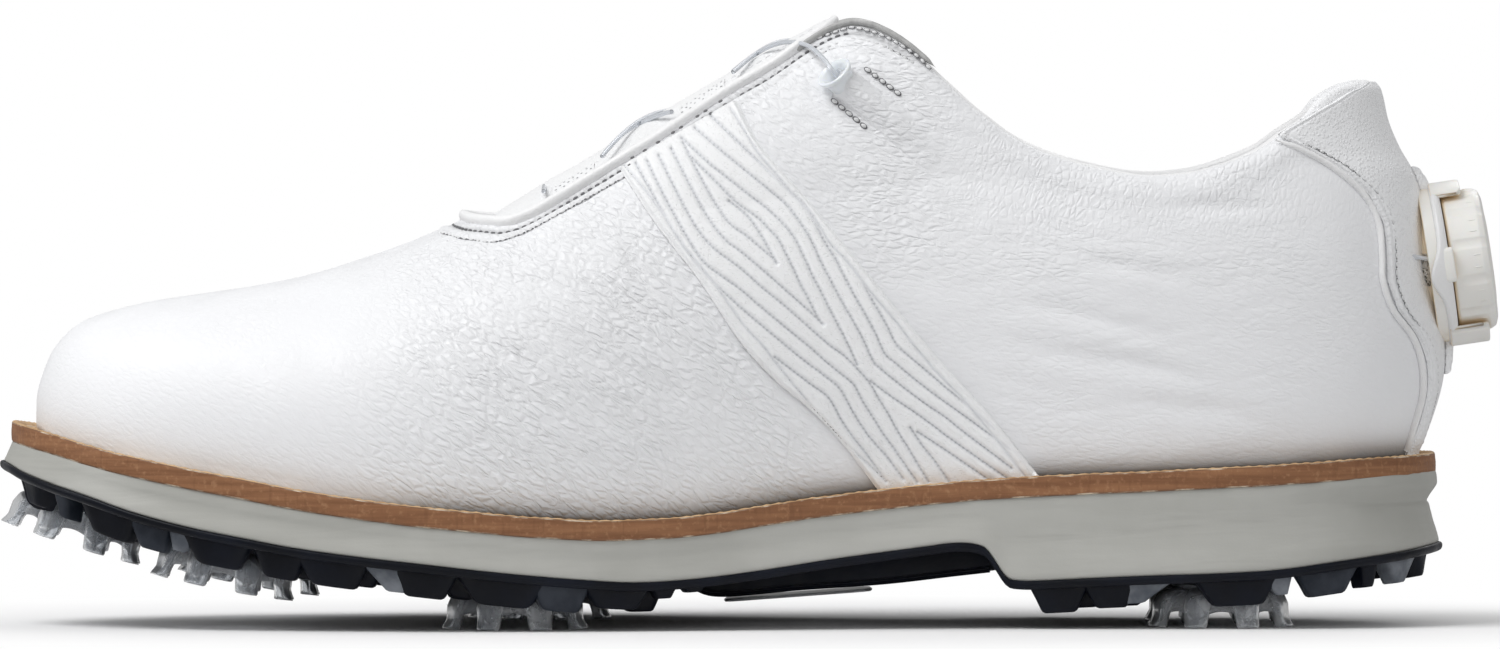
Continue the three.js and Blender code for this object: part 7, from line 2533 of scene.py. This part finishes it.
def build_floor():
    half = 14.0
    mesh = bpy.data.meshes.new("floor")
    mesh.from_pydata([(-half, -half, 0), (half, -half, 0), (half, half, 0), (-half, half, 0)],
                     [], [(0, 1, 2, 3)])
    floor = bpy.data.objects.new("floor", mesh)
    bpy.context.scene.collection.objects.link(floor)
    mesh.materials.append(floor_material().material)


def build_world():
    """The camera sees plain white; the light the world gives is softer."""
    world = bpy.data.worlds.new("studio")
    bpy.context.scene.world = world
    world.use_nodes = True
    tree = world.node_tree
    background = tree.nodes["Background"]
    background.inputs[0].default_value = (1, 1, 1, 1)
    path = tree.nodes.new("ShaderNodeLightPath")
    strength = tree.nodes.new("ShaderNodeMix")
    strength.inputs[2].default_value = 0.40
    strength.inputs[3].default_value = 1.0
    tree.links.new(path.outputs["Is Camera Ray"], strength.inputs[0])
    tree.links.new(strength.outputs[0], background.inputs[1])


def aim_at(obj, target):
    way = Vector(target) - Vector(obj.location)
    obj.rotation_euler = way.to_track_quat("-Z", "Y").to_euler()


# Area lights in metres and watts: name, place, size, power
LIGHTS = [
    ("key_top", (-0.62, -0.45, 1.15), (0.8, 0.6), 10.5),
    ("fill_front", (0.2, -1.5, 0.55), (1.2, 0.6), 1.5),
    ("rim_back", (0.5, 1.1, 0.9), (0.8, 0.4), 3),
    ("toe_side", (-1.2, -0.3, 0.45), (0.5, 0.5), 2.35),
    ("heel_side", (1.1, -0.75, 0.45), (0.6, 0.6), 1.7)]
LIGHT_TARGET = (0, 0, 0.05)
CAMERA_TARGET = Vector((-0.00025, -0.012, 0.0602))
CAMERA_RISE, CAMERA_DISTANCE = math.radians(1.3), 4.0
SENSOR, VIEW_WIDTH = 36.0, 0.300


def build_lights():
    for name, place, size, power in LIGHTS:
        data = bpy.data.lights.new(name, "AREA")
        data.shape = "RECTANGLE"
        data.size, data.size_y = size
        data.energy = power
        data.color = (1, 1, 1)
        light = bpy.data.objects.new(name, data)
        light.location = place
        light.rotation_euler = (Vector(LIGHT_TARGET) - Vector(place)).to_track_quat(
            "-Z", "Y").to_euler()
        bpy.context.scene.collection.objects.link(light)


def build_camera():
    data = bpy.data.cameras.new("camera")
    data.sensor_width = SENSOR
    camera = bpy.data.objects.new("camera", data)
    bpy.context.scene.collection.objects.link(camera)
    away = Vector((0, -math.cos(CAMERA_RISE), math.sin(CAMERA_RISE)))
    camera.location = CAMERA_TARGET + away * CAMERA_DISTANCE
    aim_at(camera, CAMERA_TARGET)
    data.lens = SENSOR * CAMERA_DISTANCE / VIEW_WIDTH
    data.clip_end = 50
    bpy.context.scene.camera = camera
    bpy.context.scene.view_settings.view_transform = "Standard"


build_floor()
build_world()
build_lights()
build_camera()

bpy.context.view_layer.update()
